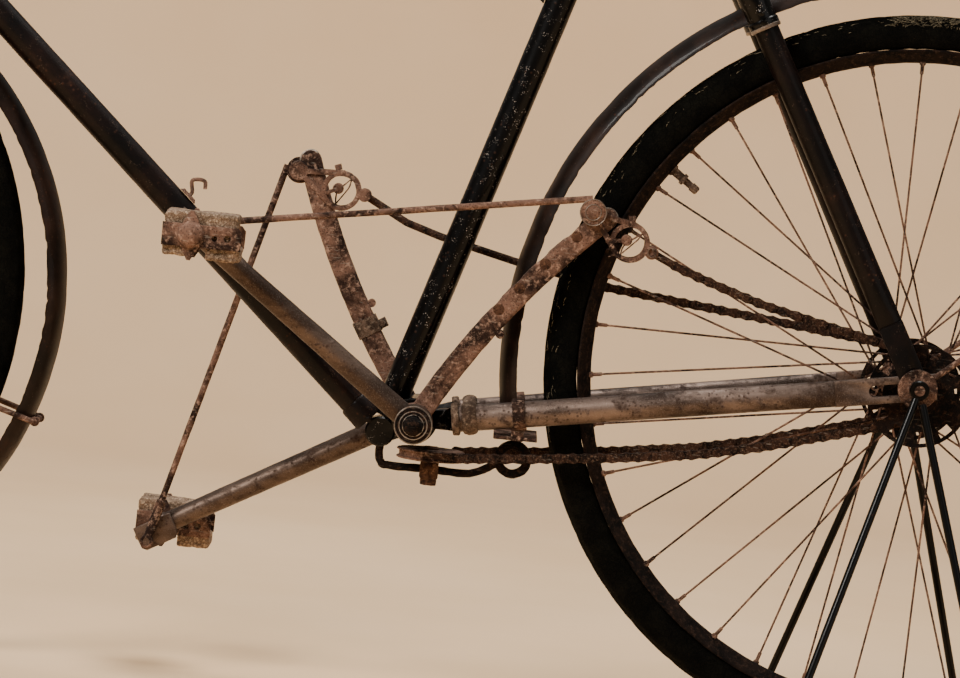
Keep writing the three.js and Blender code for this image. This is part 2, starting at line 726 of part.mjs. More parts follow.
  // Seat stays rise from the axle to a crown over the rear mudguard
  const crownBase = polar(rearHub, SEATSTAY_ANGLE, REAR_GUARD_RADIUS - GUARD_SHEET);
  const crownTop = polar(rearHub, SEATSTAY_ANGLE, REAR_GUARD_RADIUS + CLEAR + CROWN_HEIGHT);
  const socketFoot = polar(rearHub, SEATSTAY_ANGLE, REAR_GUARD_RADIUS + CLEAR - CROWN_SOCKET_LENGTH);
  const seatCluster = meet(rearHub, SEATSTAY_ANGLE, junction, SEAT_ANGLE);
  let crown = slab(
    stripOutline([crownBase, crownTop], CROWN_WIDTH / 2),
    -SEATSTAY_TOP_Y - CROWN_SOCKET_RADIUS,
    SEATSTAY_TOP_Y + CROWN_SOCKET_RADIUS,
  );
  crown = join(crown, bar(at(crownBase, 0), at(seatCluster, 0), CROWN_TUBE_RADIUS, ROUND));
  const stays = [];
  for (const [name, way] of [["left", -1], ["right", 1]]) {
    const endY = way * (seatstayInner + SEATSTAY_END_WIDTH / 2);
    const topY = way * SEATSTAY_TOP_Y;
    const rise = REAR_GUARD_RADIUS;
    const share = SEATSTAY_END_LENGTH / rise;
    const top = polar(rearHub, SEATSTAY_ANGLE, rise);
    const low = polar(rearHub, SEATSTAY_ANGLE, SEATSTAY_END_LENGTH);
    const lowY = endY + (topY - endY) * share;
    const tube = bar(at(low, lowY), at(top, topY), SEATSTAY_RADIUS, ROUND);
    const flat = slab(
      [
        ...arc(rearHub, SEATSTAY_RADIUS, SEATSTAY_ANGLE + 90, SEATSTAY_ANGLE + 270, 6),
        polar(polar(rearHub, SEATSTAY_ANGLE, SEATSTAY_END_LENGTH + 12), SEATSTAY_ANGLE - 90, SEATSTAY_RADIUS),
        polar(polar(rearHub, SEATSTAY_ANGLE, SEATSTAY_END_LENGTH + 12), SEATSTAY_ANGLE + 90, SEATSTAY_RADIUS),
      ],
      way * seatstayInner,
      way * (seatstayInner + SEATSTAY_END_WIDTH),
    );
    const hole = crossBar(rearHub, way * (seatstayInner - 5), way * (eyeInner + 5), around(AXLE_RADIUS));
    stays.push([`seatstay_${name}`, cut(join(tube, flat), hole)]);
    const lowShare = (REAR_GUARD_RADIUS - CROWN_SOCKET_LENGTH) / rise;
    const socketLowY = endY + (topY - endY) * lowShare;
    const socket = bar(at(socketFoot, socketLowY), at(crownTop, topY), CROWN_SOCKET_RADIUS, FINE);
    const room = bar(at(low, lowY), at(top, topY), around(SEATSTAY_RADIUS), FINE);
    crown = cut(join(crown, socket), room);
  }
  const guardRoom = turned(
    [
      [REAR_GUARD_RADIUS - 40, -GUARD_HALF - 1],
      [REAR_GUARD_RADIUS + CLEAR, -GUARD_HALF - 1],
      [REAR_GUARD_RADIUS + CLEAR, GUARD_HALF + 1],
      [REAR_GUARD_RADIUS - 40, GUARD_HALF + 1],
    ],
    GUARD_FACETS,
  ).translate([rearHub.x, 0, rearHub.y]);
  put(bicycle, "seatstay_crown", cut(crown, guardRoom, lugRoom, seatTubeRoom), "blackPaint");
  stays.forEach(([name, body]) => put(bicycle, name, body, "brownPaint"));
}

// Rear axle with its nuts, and what is clamped on it
function addRearAxle() {
  let axle = crossBar(rearHub, -rearAxleHalf, rearAxleHalf, AXLE_RADIUS);
  for (const way of [-1, 1]) {
    const nutInner = washerInner + AXLE_WASHER_WIDTH - 0.1;
    axle = join(
      axle,
      crossBar(
        rearHub,
        way * washerInner,
        way * (washerInner + AXLE_WASHER_WIDTH),
        AXLE_WASHER_RADIUS,
        FINE,
      ),
      crossBar(rearHub, way * nutInner, way * (nutInner + AXLE_NUT_WIDTH), AXLE_NUT_RADIUS, 6),
    );
  }
  put(bicycle, "rear_axle", axle, "rust");

  for (const [name, way] of [["left", -1], ["right", 1]]) {
    const bore = crossBar(rearHub, way * 20, way * 80, around(AXLE_RADIUS));
    const core = crossBar(rearHub, way * drumInner, way * (chainstayInner - CLEAR), DRUM_CORE_RADIUS);
    const drum = crossBar(
      rearHub,
      way * (drumInner + 1),
      way * coverInner,
      DRUM_PITCH_RADIUS - CHAIN_HALF - CLEAR,
      FINE,
    );
    const coverCentre = side(rearHub.x + COVER_SHIFT_X, rearHub.y + COVER_SHIFT_Z);
    let cover = slab(disc(coverCentre, COVER_RADIUS, 24), way * coverInner, way * (coverInner + COVER_WIDTH));
    for (let i = 0; i < COVER_SLOTS; i += 1) {
      const angle = (360 * (i + 0.5)) / COVER_SLOTS;
      const inner = polar(coverCentre, angle, COVER_SLOT_INNER);
      const outer = polar(coverCentre, angle, COVER_SLOT_OUTER);
      const slot = slab(
        stripOutline([inner, outer], COVER_SLOT_WIDTH / 2),
        way * (coverInner - 1),
        way * (coverInner + COVER_WIDTH + 1),
      );
      cover = cut(cover, slot);
    }
    put(bicycle, `drum_${name}`, cut(join(core, drum, cover), bore), "rust");
  }
}

// The levers: a crank to the pedal and an arm to the chain, one bell crank on each side
function arrange(angle) {
  const corner = (distance, turn) => polar(pivot, angle + turn, distance);
  const local = (x, z) => {
    const flat = side(x, z).rotateAround(side(0, 0), rad(angle));
    return side(pivot.x + flat.x, pivot.y + flat.y);
  };
  return { corner, local };
}

// angle: of the crank, link: of the chain link, marks and band: distances along the arm,
// rod: the smooth start of the chain, toothed: plates under it, upper: its points to the drum
const levers = [
  {
    name: "left",
    way: -1,
    angle: 144,
    link: -29,
    marks: [136, 165, 198, 234],
    band: 0,
    rod: CHAIN_END_ROD,
    toothed: false,
    upper: [side(-235, 450.5), side(-195, 437), side(-152, 424), side(-77.5, 407.8), side(-32.5, 399)],
  },
  {
    name: "right",
    way: 1,
    angle: 209.7,
    link: -14.8,
    marks: [],
    band: 72,
    rod: 0,
    toothed: true,
    upper: [side(-500, 465), side(-466.7, 455), side(-386.5, 437), side(-298.7, 421.8), side(-120, 404.5)],
  },
];
const lowerRun = [
  side(-38.6, 316.7),
  side(-63.7, 309.3),
  side(-102.8, 298.6),
  side(-142, 287.8),
  side(-198.3, 275.3),
  side(-280, 263.5),
  side(-349.7, 255.6),
  side(-420, 248.5),
];

// Where the line from an outside point touches the drum's pitch circle.
function touch(point, way) {
  const lean = THREE.MathUtils.radToDeg(Math.acos(DRUM_PITCH_RADIUS / rearHub.distanceTo(point)));
  return angleOf(rearHub, point) - way * lean;
}

function addLevers() {
  let pivotAxle = crossBar(pivot, -CRANK_BOSS_END_Y, CRANK_BOSS_END_Y, LEVER_AXLE_RADIUS);
  for (const way of [-1, 1]) {
    const face = way * (CRANK_BOSS_END_Y + CLEAR);
    const nut = crossBar(pivot, face, face + way * 3, LEVER_BOSS_RADIUS - 4, FINE);
    const dome = bar(
      at(pivot, face + way * 2),
      at(pivot, face + way * LEVER_NUT_HEIGHT),
      LEVER_NUT_RADIUS,
      ROUND,
      LEVER_NUT_RADIUS * 0.5,
    );
    pivotAxle = join(pivotAxle, crossBar(pivot, way * 70, face + way, LEVER_AXLE_RADIUS), nut, dome);
  }
  put(bicycle, "lever_axle", pivotAxle, "rust");

  for (const { name, way, angle, link, marks, band, rod: smooth, toothed, upper } of levers) {
    const { corner, local } = arrange(angle);
    const armInner = way * (CHAIN_Y - ARM_HALF_WIDTH);
    const armOuter = way * (CHAIN_Y + ARM_HALF_WIDTH);
    const crankInner = armOuter + way * CLEAR;
    const bore = crossBar(pivot, way * 5, way * 110, around(LEVER_AXLE_RADIUS));
    const pin = corner(PIN_DISTANCE, PIN_ANGLE);

    // The arm bends along an arc from the pivot to its rounded tip
    const bend = THREE.MathUtils.radToDeg(ARM_LENGTH / ARM_BEND_RADIUS);
    const bendCentre = polar(pivot, angle + ARM_TIP_ANGLE + bend / 2 - 90, ARM_BEND_RADIUS);
    const start = angle + ARM_TIP_ANGLE + bend / 2 + 90;
    const line = arc(bendCentre, ARM_BEND_RADIUS, start, start - bend, 8);
    const onArm = (distance, offset) =>
      polar(bendCentre, start - (bend * distance) / ARM_LENGTH, ARM_BEND_RADIUS + offset);
    const tip = line[line.length - 1];
    const pinHole = crossBar(pin, way * 5, way * 110, around(PIN_RADIUS));
    const arm = join(
      slab(stripOutline(line, ARM_HALF_HEIGHT), armInner, armOuter),
      slab(disc(tip, ARM_HALF_HEIGHT, ROUND), armInner, armOuter),
      crossBar(pin, armInner, armOuter, PIN_BOSS_RADIUS),
      crossBar(pivot, way * (PIVOT_SHELL_HALF + CLEAR), armOuter, LEVER_BOSS_RADIUS, FINE),
    );
    const dents = marks.map((distance) =>
      crossBar(
        onArm(distance, ARM_MARK_OFFSET),
        armOuter - way * ARM_MARK_DEPTH,
        armOuter + way * ARM_MARK_DEPTH,
        ARM_MARK_RADIUS,
      ),
    );
    const bandEnds = [-1, 1].map((end) => onArm(band + (end * ARM_BAND_LENGTH) / 2, 0));
    const clamp = slab(
      stripOutline(bandEnds, ARM_HALF_HEIGHT + ARM_BAND_PROUD),
      armInner - way * ARM_BAND_PROUD,
      armOuter + way * ARM_BAND_PROUD,
    );
    const dressed = band > 0 ? join(arm, clamp) : arm;
    put(bicycle, `lever_arm_${name}`, cut(dressed, bore, pinHole, ...dents), "rust");

    // The crank, its pedal boss and spindle, and the plate and pin that hold the tie rod
    const pedal = local(CRANK_LENGTH, 0);
    const rodEnd = local(ROD_END_DISTANCE, ROD_END_HEIGHT);
    const rodOuter = crankInner + way * (ROD_EYE_WIDTH + CLEAR);
    const plateInner = rodOuter + way * CLEAR;
    const plate = slab(
      [
        local(CRANK_LENGTH - 14, -FORK_PLATE_HALF),
        local(ROD_END_DISTANCE + 8, -FORK_PLATE_HALF),
        local(ROD_END_DISTANCE + 8, ROD_END_HEIGHT + FORK_PLATE_HALF),
        local(CRANK_LENGTH - 14, ROD_END_HEIGHT + FORK_PLATE_HALF),
      ],
      plateInner,
      plateInner + way * FORK_PLATE_WIDTH,
    );
    const crank = join(
      bar(
        at(pivot, way * CRANK_Y_AT_PIVOT),
        at(pedal, way * CRANK_Y_AT_PEDAL),
        CRANK_RADIUS_AT_PIVOT,
        ROUND,
        CRANK_RADIUS_AT_PEDAL,
      ),
      crossBar(pivot, crankInner, way * CRANK_BOSS_END_Y, LEVER_BOSS_RADIUS, FINE),
      crossBar(pedal, plateInner, way * PEDAL_BOSS_END_Y, PEDAL_BOSS_RADIUS, ROUND),
      crossBar(pedal, way * CRANK_Y_AT_PEDAL, way * (PEDAL_OUTER_Y + 4), PEDAL_SPINDLE_RADIUS),
      crossBar(rodEnd, crankInner + way * 0.5, plateInner + way, ROD_PIN_RADIUS),
      plate,
    );
    put(bicycle, `lever_crank_${name}`, cut(crank, bore), "greyRust");

    // The thin tie rod braces the crank's end against the arm's pin
    const rodY = (crankInner + rodOuter) / 2;
    const [one, other] = [90, -90].map((turn) =>
      polar(pin, angleOf(rodEnd, pin) + turn, ROD_LIFT_AT_PIN),
    );
    const lift = one.distanceTo(pivot) > other.distanceTo(pivot) ? one : other;
    const sleeveEnd = between(rodEnd, lift, ROD_SLEEVE_LENGTH);
    const plateOuter = way * LINK_PLATE + armOuter + way * CLEAR;
    const eyeInnerY = plateOuter + way * CLEAR;
    const rod = join(
      bar(at(rodEnd, rodY), at(lift, eyeInnerY + way * ROD_RADIUS), ROD_RADIUS, SLIM),
      bar(at(rodEnd, rodY), at(sleeveEnd, rodY), ROD_SLEEVE_RADIUS, SLIM),
      crossBar(rodEnd, crankInner + way * 0.4, rodOuter, ROD_EYE_RADIUS),
      crossBar(pin, eyeInnerY, eyeInnerY + way * 2 * ROD_RADIUS, ROD_LIFT_AT_PIN),
    );
    const rodPinHole = crossBar(rodEnd, way * 30, way * 110, around(ROD_PIN_RADIUS));
    const plateRoom = slab(
      disc(pin, 60, 12),
      armOuter,
      plateOuter + way * 0.25,
    );
    put(bicycle, `tie_rod_${name}`, cut(rod, rodPinHole, pinHole, plateRoom), "rust");

    // Two pierced plates astride the arm carry the end of the chain
    const ring = polar(pin, link + LINK_RING_ANGLE, LINK_RING_DISTANCE);
    const chainPin = polar(pin, link, LINK_LENGTH);
    const knob = polar(pin, link + LINK_RING_ANGLE, LINK_RING_DISTANCE - 4);
    const brace = (turn) =>
      stripOutline([pin, polar(ring, link + turn, LINK_RING_RADIUS - LINK_BAR / 2)], LINK_BAR / 2);
    const plates = [
      [armOuter + way * CLEAR, plateOuter],
      [armInner - way * CLEAR, armInner - way * (CLEAR + LINK_PLATE)],
    ].map(([y0, y1]) => {
      const open = cut(
        join(
          slab(disc(ring, LINK_RING_RADIUS, FINE), y0, y1),
          slab(disc(pin, LINK_EYE_RADIUS, SLIM), y0, y1),
          slab(brace(100), y0, y1),
          slab(brace(-100), y0, y1),
          slab(disc(chainPin, LINK_CHAIN_EYE_RADIUS, SLIM), y0, y1),
        ),
        slab(disc(ring, LINK_RING_HOLE), y0 - way * 9, y1 + way * 9),
      );
      const knobBar = slab(
        stripOutline([knob, polar(ring, link - 150, LINK_RING_RADIUS - 2)], 2.5),
        y0,
        y1,
      );
      return join(open, knobBar, slab(disc(knob, LINK_KNOB_RADIUS, SLIM), y0, y1));
    });
    const pinEnd = eyeInnerY + way * (2 * ROD_RADIUS + 3);
    const linkSolid = join(
      ...plates,
      crossBar(pin, armInner - way * (CLEAR + LINK_PLATE), pinEnd, PIN_RADIUS, ROUND),
      crossBar(
        chainPin,
        armInner - way * (CLEAR + LINK_PLATE),
        plateOuter + way * 3,
        LINK_CHAIN_PIN_RADIUS,
        SLIM,
      ),
    );
    put(bicycle, `chain_link_${name}`, linkSolid, "rust");

    // The chain: from the link over the drum and back along the lower run to the pulley
    const chainInner = way * (CHAIN_Y - CHAIN_HALF);
    const chainOuter = way * (CHAIN_Y + CHAIN_HALF);
    const first = touch(upper[upper.length - 1], 1);
    const last = touch(lowerRun[0], -1);
    const run = [
      chainPin,
      ...upper,
      ...arc(rearHub, DRUM_PITCH_RADIUS, first, last, 12),
      ...lowerRun,
      pulleyCentre,
    ];
    const webInner = way * (CHAIN_Y - CHAIN_WEB_HALF);
    const webOuter = way * (CHAIN_Y + CHAIN_WEB_HALF);
    let chain = join(
      slab(stripOutline(run, CHAIN_WEB_HALF), webInner, webOuter),
      crossBar(chainPin, chainInner, chainOuter, LINK_CHAIN_EYE_RADIUS),
      ...chainBlocks(run, smooth + CHAIN_PITCH).map(({ from, to }) =>
        slab(stripOutline([from, to], CHAIN_HALF), chainInner, chainOuter),
      ),
    );
    if (toothed) chain = join(chain, ...chainTeeth(run, way));
    const wrapFront = pulleyCentre.x - 2 * PULLEY_RADIUS;
    const wrapTail = pulleyCentre.x + CHAIN_WRAP_TAIL;
    if (way > 0) {
      const wrap = pulleyRing(PULLEY_RADIUS + CLEAR, PULLEY_RADIUS + CLEAR + 2 * CHAIN_HALF);
      const front = box(wrapFront, wrapTail, -2 * PULLEY_RADIUS, 2 * PULLEY_RADIUS, 0, TOP_TUBE_Z);
      chain = join(chain, wrap.intersect(front));
    } else {
      chain = cut(chain, box(wrapFront, wrapTail + CLEAR, -2 * PULLEY_RADIUS, 0, 0, TOP_TUBE_Z));
    }
    const chainPinHole = crossBar(chainPin, way * 10, way * 80, around(LINK_CHAIN_PIN_RADIUS));
    put(bicycle, `chain_${name}`, cut(chain, chainPinHole), "rust");
  }
}

// The ends of each block along a chain's line, a pitch apart and short of the line's own end.
function chainBlocks(run, first) {
  const blocks = [];
  let walked = 0;
  let next = first;
  for (let i = 0; i + 1 < run.length; i += 1) {
    const length = run[i].distanceTo(run[i + 1]);
    const spare = i + 2 === run.length ? CHAIN_PITCH / 2 : 0;
    while (next < walked + length - spare) {
      const half = CHAIN_BLOCK / 2;
      const [from, to] = [-half, half].map((off) => between(run[i], run[i + 1], next - walked + off));
      blocks.push({ from, to });
      next += CHAIN_PITCH;
    }
    walked += length;
  }
  return blocks;
}

// The pointed plates that hang under the blocks of a chain's upper run near the drum.
function chainTeeth(run, way) {
  const drumSide = -DRUM_PITCH_RADIUS;
  return chainBlocks(run, CHAIN_PITCH)
    .filter(({ from, to }) => from.x > -CHAIN_TEETH_FROM && to.x < drumSide && to.x > from.x)
    .map(({ from, to }) => {
      const middle = from.clone().add(to).divideScalar(2);
      const along = angleOf(from, to);
      const outline = [
        polar(middle, along + 180, CHAIN_TOOTH_HALF),
        polar(middle, along - 90, CHAIN_HALF + CHAIN_TOOTH_DEPTH),
        polar(middle, along, CHAIN_TOOTH_HALF),
      ];
      return slab(
        outline,
        way * (CHAIN_Y - CHAIN_TOOTH_THICK),
        way * (CHAIN_Y + CHAIN_TOOTH_THICK),
      );
    });
}

function pulleyRing(inner, outer) {
  const base = new THREE.Vector3(pulleyCentre.x, 0, pulleyCentre.y - CHAIN_HALF);
  const top = new THREE.Vector3(pulleyCentre.x, 0, pulleyCentre.y + CHAIN_HALF);
  const ring = bar(base, top, outer, 24);
  base.z -= 5;
  top.z += 5;
  return cut(ring, bar(base, top, inner, 24));
}

// The pulley under the pivot, the rod it hangs on and the rod's hanger
function addPulley() {
  const centre = (z) => new THREE.Vector3(pulleyCentre.x, 0, z);
  const low = pulleyCentre.y - CHAIN_HALF;
  const wheel = bar(centre(low), centre(pulleyCentre.y + CHAIN_HALF), PULLEY_RADIUS, 24);
  const pinRoom = bar(centre(0), centre(400), around(PULLEY_PIN_RADIUS));
  put(bicycle, "return_pulley", cut(wheel, pinRoom), "rust");

  const rodTop = side(junction.x + 1, junction.y - JUNCTION_RADIUS - CLEAR);
  const rodLow = rodTop.y - PULL_ROD_FALL;
  const eye = side(pivot.x + HANGER_BEHIND_PIVOT - 3, EYE_Z);
  const eyeStart = side(eye.x - EYE_RADIUS + 3, eye.y - 6);
  const straightEnd = side(pulleyCentre.x + PULLEY_RADIUS + 6, rodLow);
  const path = [
    at(rodTop, 0),
    at(side(rodTop.x, rodLow + PULL_ROD_BEND), 0),
    at(side(rodTop.x + PULL_ROD_BEND * 0.3, rodLow + PULL_ROD_BEND * 0.3), 0),
    at(side(rodTop.x + PULL_ROD_BEND, rodLow), 0),
    at(side(pulleyCentre.x, rodLow), 0),
    at(straightEnd, 0),
    at(eyeStart, 0),
  ];
  const eyeRing = cut(
    slab(disc(eye, EYE_RADIUS), -EYE_HALF, EYE_HALF),
    slab(disc(eye, EYE_HOLE), -EYE_HALF - 1, EYE_HALF + 1),
  );
  put(bicycle, "pulley_rod", join(bent(path, PULL_ROD_RADIUS, 16), eyeRing), "rust");

  const rodRoom = bar(
    at(side(rodTop.x + PULL_ROD_BEND, rodLow), 0),
    at(straightEnd, 0),
    around(PULL_ROD_RADIUS) + CLEAR,
    ROUND,
  );
  const block = box(
    pulleyCentre.x - BLOCK_HALF,
    pulleyCentre.x + BLOCK_HALF,
    -BLOCK_HALF,
    BLOCK_HALF,
    BLOCK_BOTTOM_Z,
    low - CLEAR,
  );
  const nut = bar(
    centre(BLOCK_BOTTOM_Z - BLOCK_NUT_HEIGHT),
    centre(BLOCK_BOTTOM_Z + 1),
    BLOCK_NUT_RADIUS,
    6,
  );
  const pin = bar(
    centre(low - 1),
    centre(pulleyCentre.y + CHAIN_HALF + 3),
    PULLEY_PIN_RADIUS,
  );
  put(bicycle, "pulley_block", cut(join(block, nut, pin), rodRoom), "rust");

  // The hanger: a plate under both chain stays with a strap round each, and a tang to the eye
  const middle = eye.x;
  const plateTop = HANGER_PLATE_Z + HANGER_PLATE;
  let hanger = box(
    middle - HANGER_LENGTH / 2,
    middle + HANGER_LENGTH / 2,
    -CHAINSTAY_FRONT_Y - 10,
    CHAINSTAY_FRONT_Y + 10,
    HANGER_PLATE_Z,
    plateTop,
  );
  hanger = join(
    hanger,
    box(middle - 6, middle + 6, -EYE_HALF, EYE_HALF, eye.y + EYE_RADIUS + CLEAR, plateTop),
  );
  for (const way of [-1, 1]) {
    const from = onChainstay(HANGER_BEHIND_PIVOT - HANGER_STRAP_LENGTH / 2, way);
    const to = onChainstay(HANGER_BEHIND_PIVOT + HANGER_STRAP_LENGTH / 2, way);
    const centreY = (from.y + to.y) / 2;
    const strap = bar(from, to, CHAINSTAY_RADIUS + CLEAR + HANGER_STRAP, ROUND);
    const web = box(from.x, to.x, centreY - 6, centreY + 6, HANGER_PLATE_Z + 1, from.z);
    const room = bar(onChainstay(30, way), onChainstay(200, way), around(CHAINSTAY_RADIUS));
    hanger = cut(join(hanger, strap, web), room);
  }
  put(bicycle, "pulley_hanger", hanger, "rust");
}

// A wire hook on the down tube and a gusset on the seat tube
function addTubeFittings() {
  const up = angleOf(junction, downTubeTop);
  const foot = polar(polar(junction, up, HOOK_ALONG), up - 90, TUBE_RADIUS + CLEAR);
  const lift = (along, out) => polar(polar(foot, up, along), up - 90, out);
  const base = slab(
    [
      lift(-HOOK_BASE_LENGTH / 2, 0),
      lift(HOOK_BASE_LENGTH / 2, 0),
      lift(HOOK_BASE_LENGTH / 2 - 3, 3),
      lift(-HOOK_BASE_LENGTH / 2 + 3, 3),
    ],
    -5,
    5,
  );
  const wire = bent(
    [
      at(lift(0, 1), 0),
      at(lift(0, 6), 0),
      at(lift(HOOK_RADIUS, 6 + HOOK_RADIUS), 0),
      at(lift(0, 6 + 2 * HOOK_RADIUS), 0),
      at(lift(-HOOK_RADIUS * 0.8, 6 + HOOK_RADIUS * 1.4), 0),
    ],
    HOOK_WIRE,
    12,
    6,
  );
  put(bicycle, "tube_hook", join(base, wire), "rust");

  const along = angleOf(junction, seatTubeTop);
  const edge = (distance, out) =>
    polar(polar(junction, along, distance), along + 90, TUBE_RADIUS + CLEAR + out);
  const gusset = slab(
    [
      edge(GUSSET_ALONG, 0),
      edge(GUSSET_ALONG + 2, 5),
      edge(GUSSET_ALONG + GUSSET_HEIGHT - 8, GUSSET_DEPTH),
      edge(GUSSET_ALONG + GUSSET_HEIGHT, GUSSET_DEPTH),
      edge(GUSSET_ALONG + GUSSET_HEIGHT + 14, 0),
    ],
    -GUSSET_HALF,
    GUSSET_HALF,
  );
  put(bicycle, "seat_tube_gusset", gusset, "blackPaint");
}

// Saddle on its post
function addSaddle() {
  const postFoot = seatLine(SEAT_TUBE_TOP_Z - SEAT_POST_DEPTH);
  const postHead = seatLine(SEAT_TUBE_TOP_Z + SEAT_POST_RISE);
  const post = join(
    bar(at(postFoot, 0), at(postHead, 0), SEAT_POST_RADIUS, ROUND),
    bar(
      at(side(postHead.x - SEAT_BAR_FRONT, postHead.y), 0),
      at(side(postHead.x + SEAT_BAR_REAR, postHead.y), 0),
      SEAT_POST_RADIUS,
      ROUND,
    ),
  );
  put(bicycle, "seat_post", post, "rust");

  // The wire frame clips round the post's bar and carries the leather on two coil springs
  const clipX = postHead.x + SADDLE_SETBACK;
  const wireZ = postHead.y + SEAT_POST_RADIUS + SADDLE_WIRE + CLEAR;
  const rearX = clipX + SADDLE_LENGTH * 0.4;
  const noseX = clipX - SADDLE_LENGTH * 0.58;
  const clip = cut(
    box(clipX - 14, clipX + 14, -19, 19, postHead.y - 16, wireZ + SADDLE_WIRE),
    bar(
      at(side(clipX - 40, postHead.y), 0),
      at(side(clipX + 40, postHead.y), 0),
      around(SEAT_POST_RADIUS),
      ROUND,
    ),
  );
  let wires = clip;
  const springTop = wireZ + SPRING_HEIGHT;
  for (const way of [-1, 1]) {
    const heel = new THREE.Vector3(rearX - 22, way * SPRING_Y, wireZ);
    const waist = new THREE.Vector3(clipX, way * 14, wireZ);
    const nose = new THREE.Vector3(noseX + 24, way * 3, springTop - 12);
    const springFoot = new THREE.Vector3(heel.x, heel.y, wireZ - SADDLE_WIRE);
    const springHead = new THREE.Vector3(heel.x, heel.y, springTop);
    const rise = (springHead.z - springFoot.z - SPRING_COIL_HEIGHT) / (SPRING_COILS - 1);
    const coils = Array.from({ length: SPRING_COILS }, (_, i) => {
      const low = new THREE.Vector3(heel.x, heel.y, springFoot.z + i * rise);
      const high = new THREE.Vector3(heel.x, heel.y, low.z + SPRING_COIL_HEIGHT);
      return bar(low, high, SPRING_RADIUS, ROUND);
    });
    wires = join(
      wires,
      bar(heel, waist, SADDLE_WIRE, SLIM),
      bar(waist, nose, SADDLE_WIRE, SLIM),
      bar(springFoot, springHead, SPRING_CORE_RADIUS, ROUND),
      ...coils,
    );
  }
  const cantle = bar(
    new THREE.Vector3(rearX - 22, -SPRING_Y, springTop - 4),
    new THREE.Vector3(rearX - 22, SPRING_Y, springTop - 4),
    SADDLE_WIRE,
    SLIM,
  );
  put(bicycle, "saddle_frame", join(wires, cantle), "rust");

  // The leather is a plan outline cut out of a curved sheet
  const seatZ = springTop + CLEAR;
  const crest = [
    side(noseX - 5, seatZ - 8),
    side(noseX + 10, seatZ),
    side(noseX + 90, seatZ),
    side(rearX - 90, seatZ),
    side(rearX - 40, seatZ),
    side(rearX + 5, seatZ + 6),
  ];
  const sheet = slab(
    [...crest, ...crest.map((p) => side(p.x, p.y + SADDLE_THICKNESS)).reverse()],
    -SADDLE_REAR_HALF - 5,
    SADDLE_REAR_HALF + 5,
  );
  const half = [
    [noseX, SADDLE_NOSE_HALF * 0.6],
    [noseX + 12, SADDLE_NOSE_HALF],
    [noseX + 100, SADDLE_NOSE_HALF + 8],
    [rearX - 110, SADDLE_REAR_HALF * 0.55],
    [rearX - 60, SADDLE_REAR_HALF * 0.92],
    [rearX - 20, SADDLE_REAR_HALF],
    [rearX, SADDLE_REAR_HALF * 0.8],
  ];
  const plan = [
    ...half.map(([x, y]) => new THREE.Vector2(x, y)),
    ...half.map(([x, y]) => new THREE.Vector2(x, -y)).reverse(),
  ];
  const blank = new THREE.ExtrudeGeometry(new THREE.Shape(plan), {
    depth: 80,
    bevelEnabled: false,
  });
  blank.translate(0, 0, seatZ - 40);
  put(bicycle, "saddle_leather", sheet.intersect(solid(blank)), "leather");
}

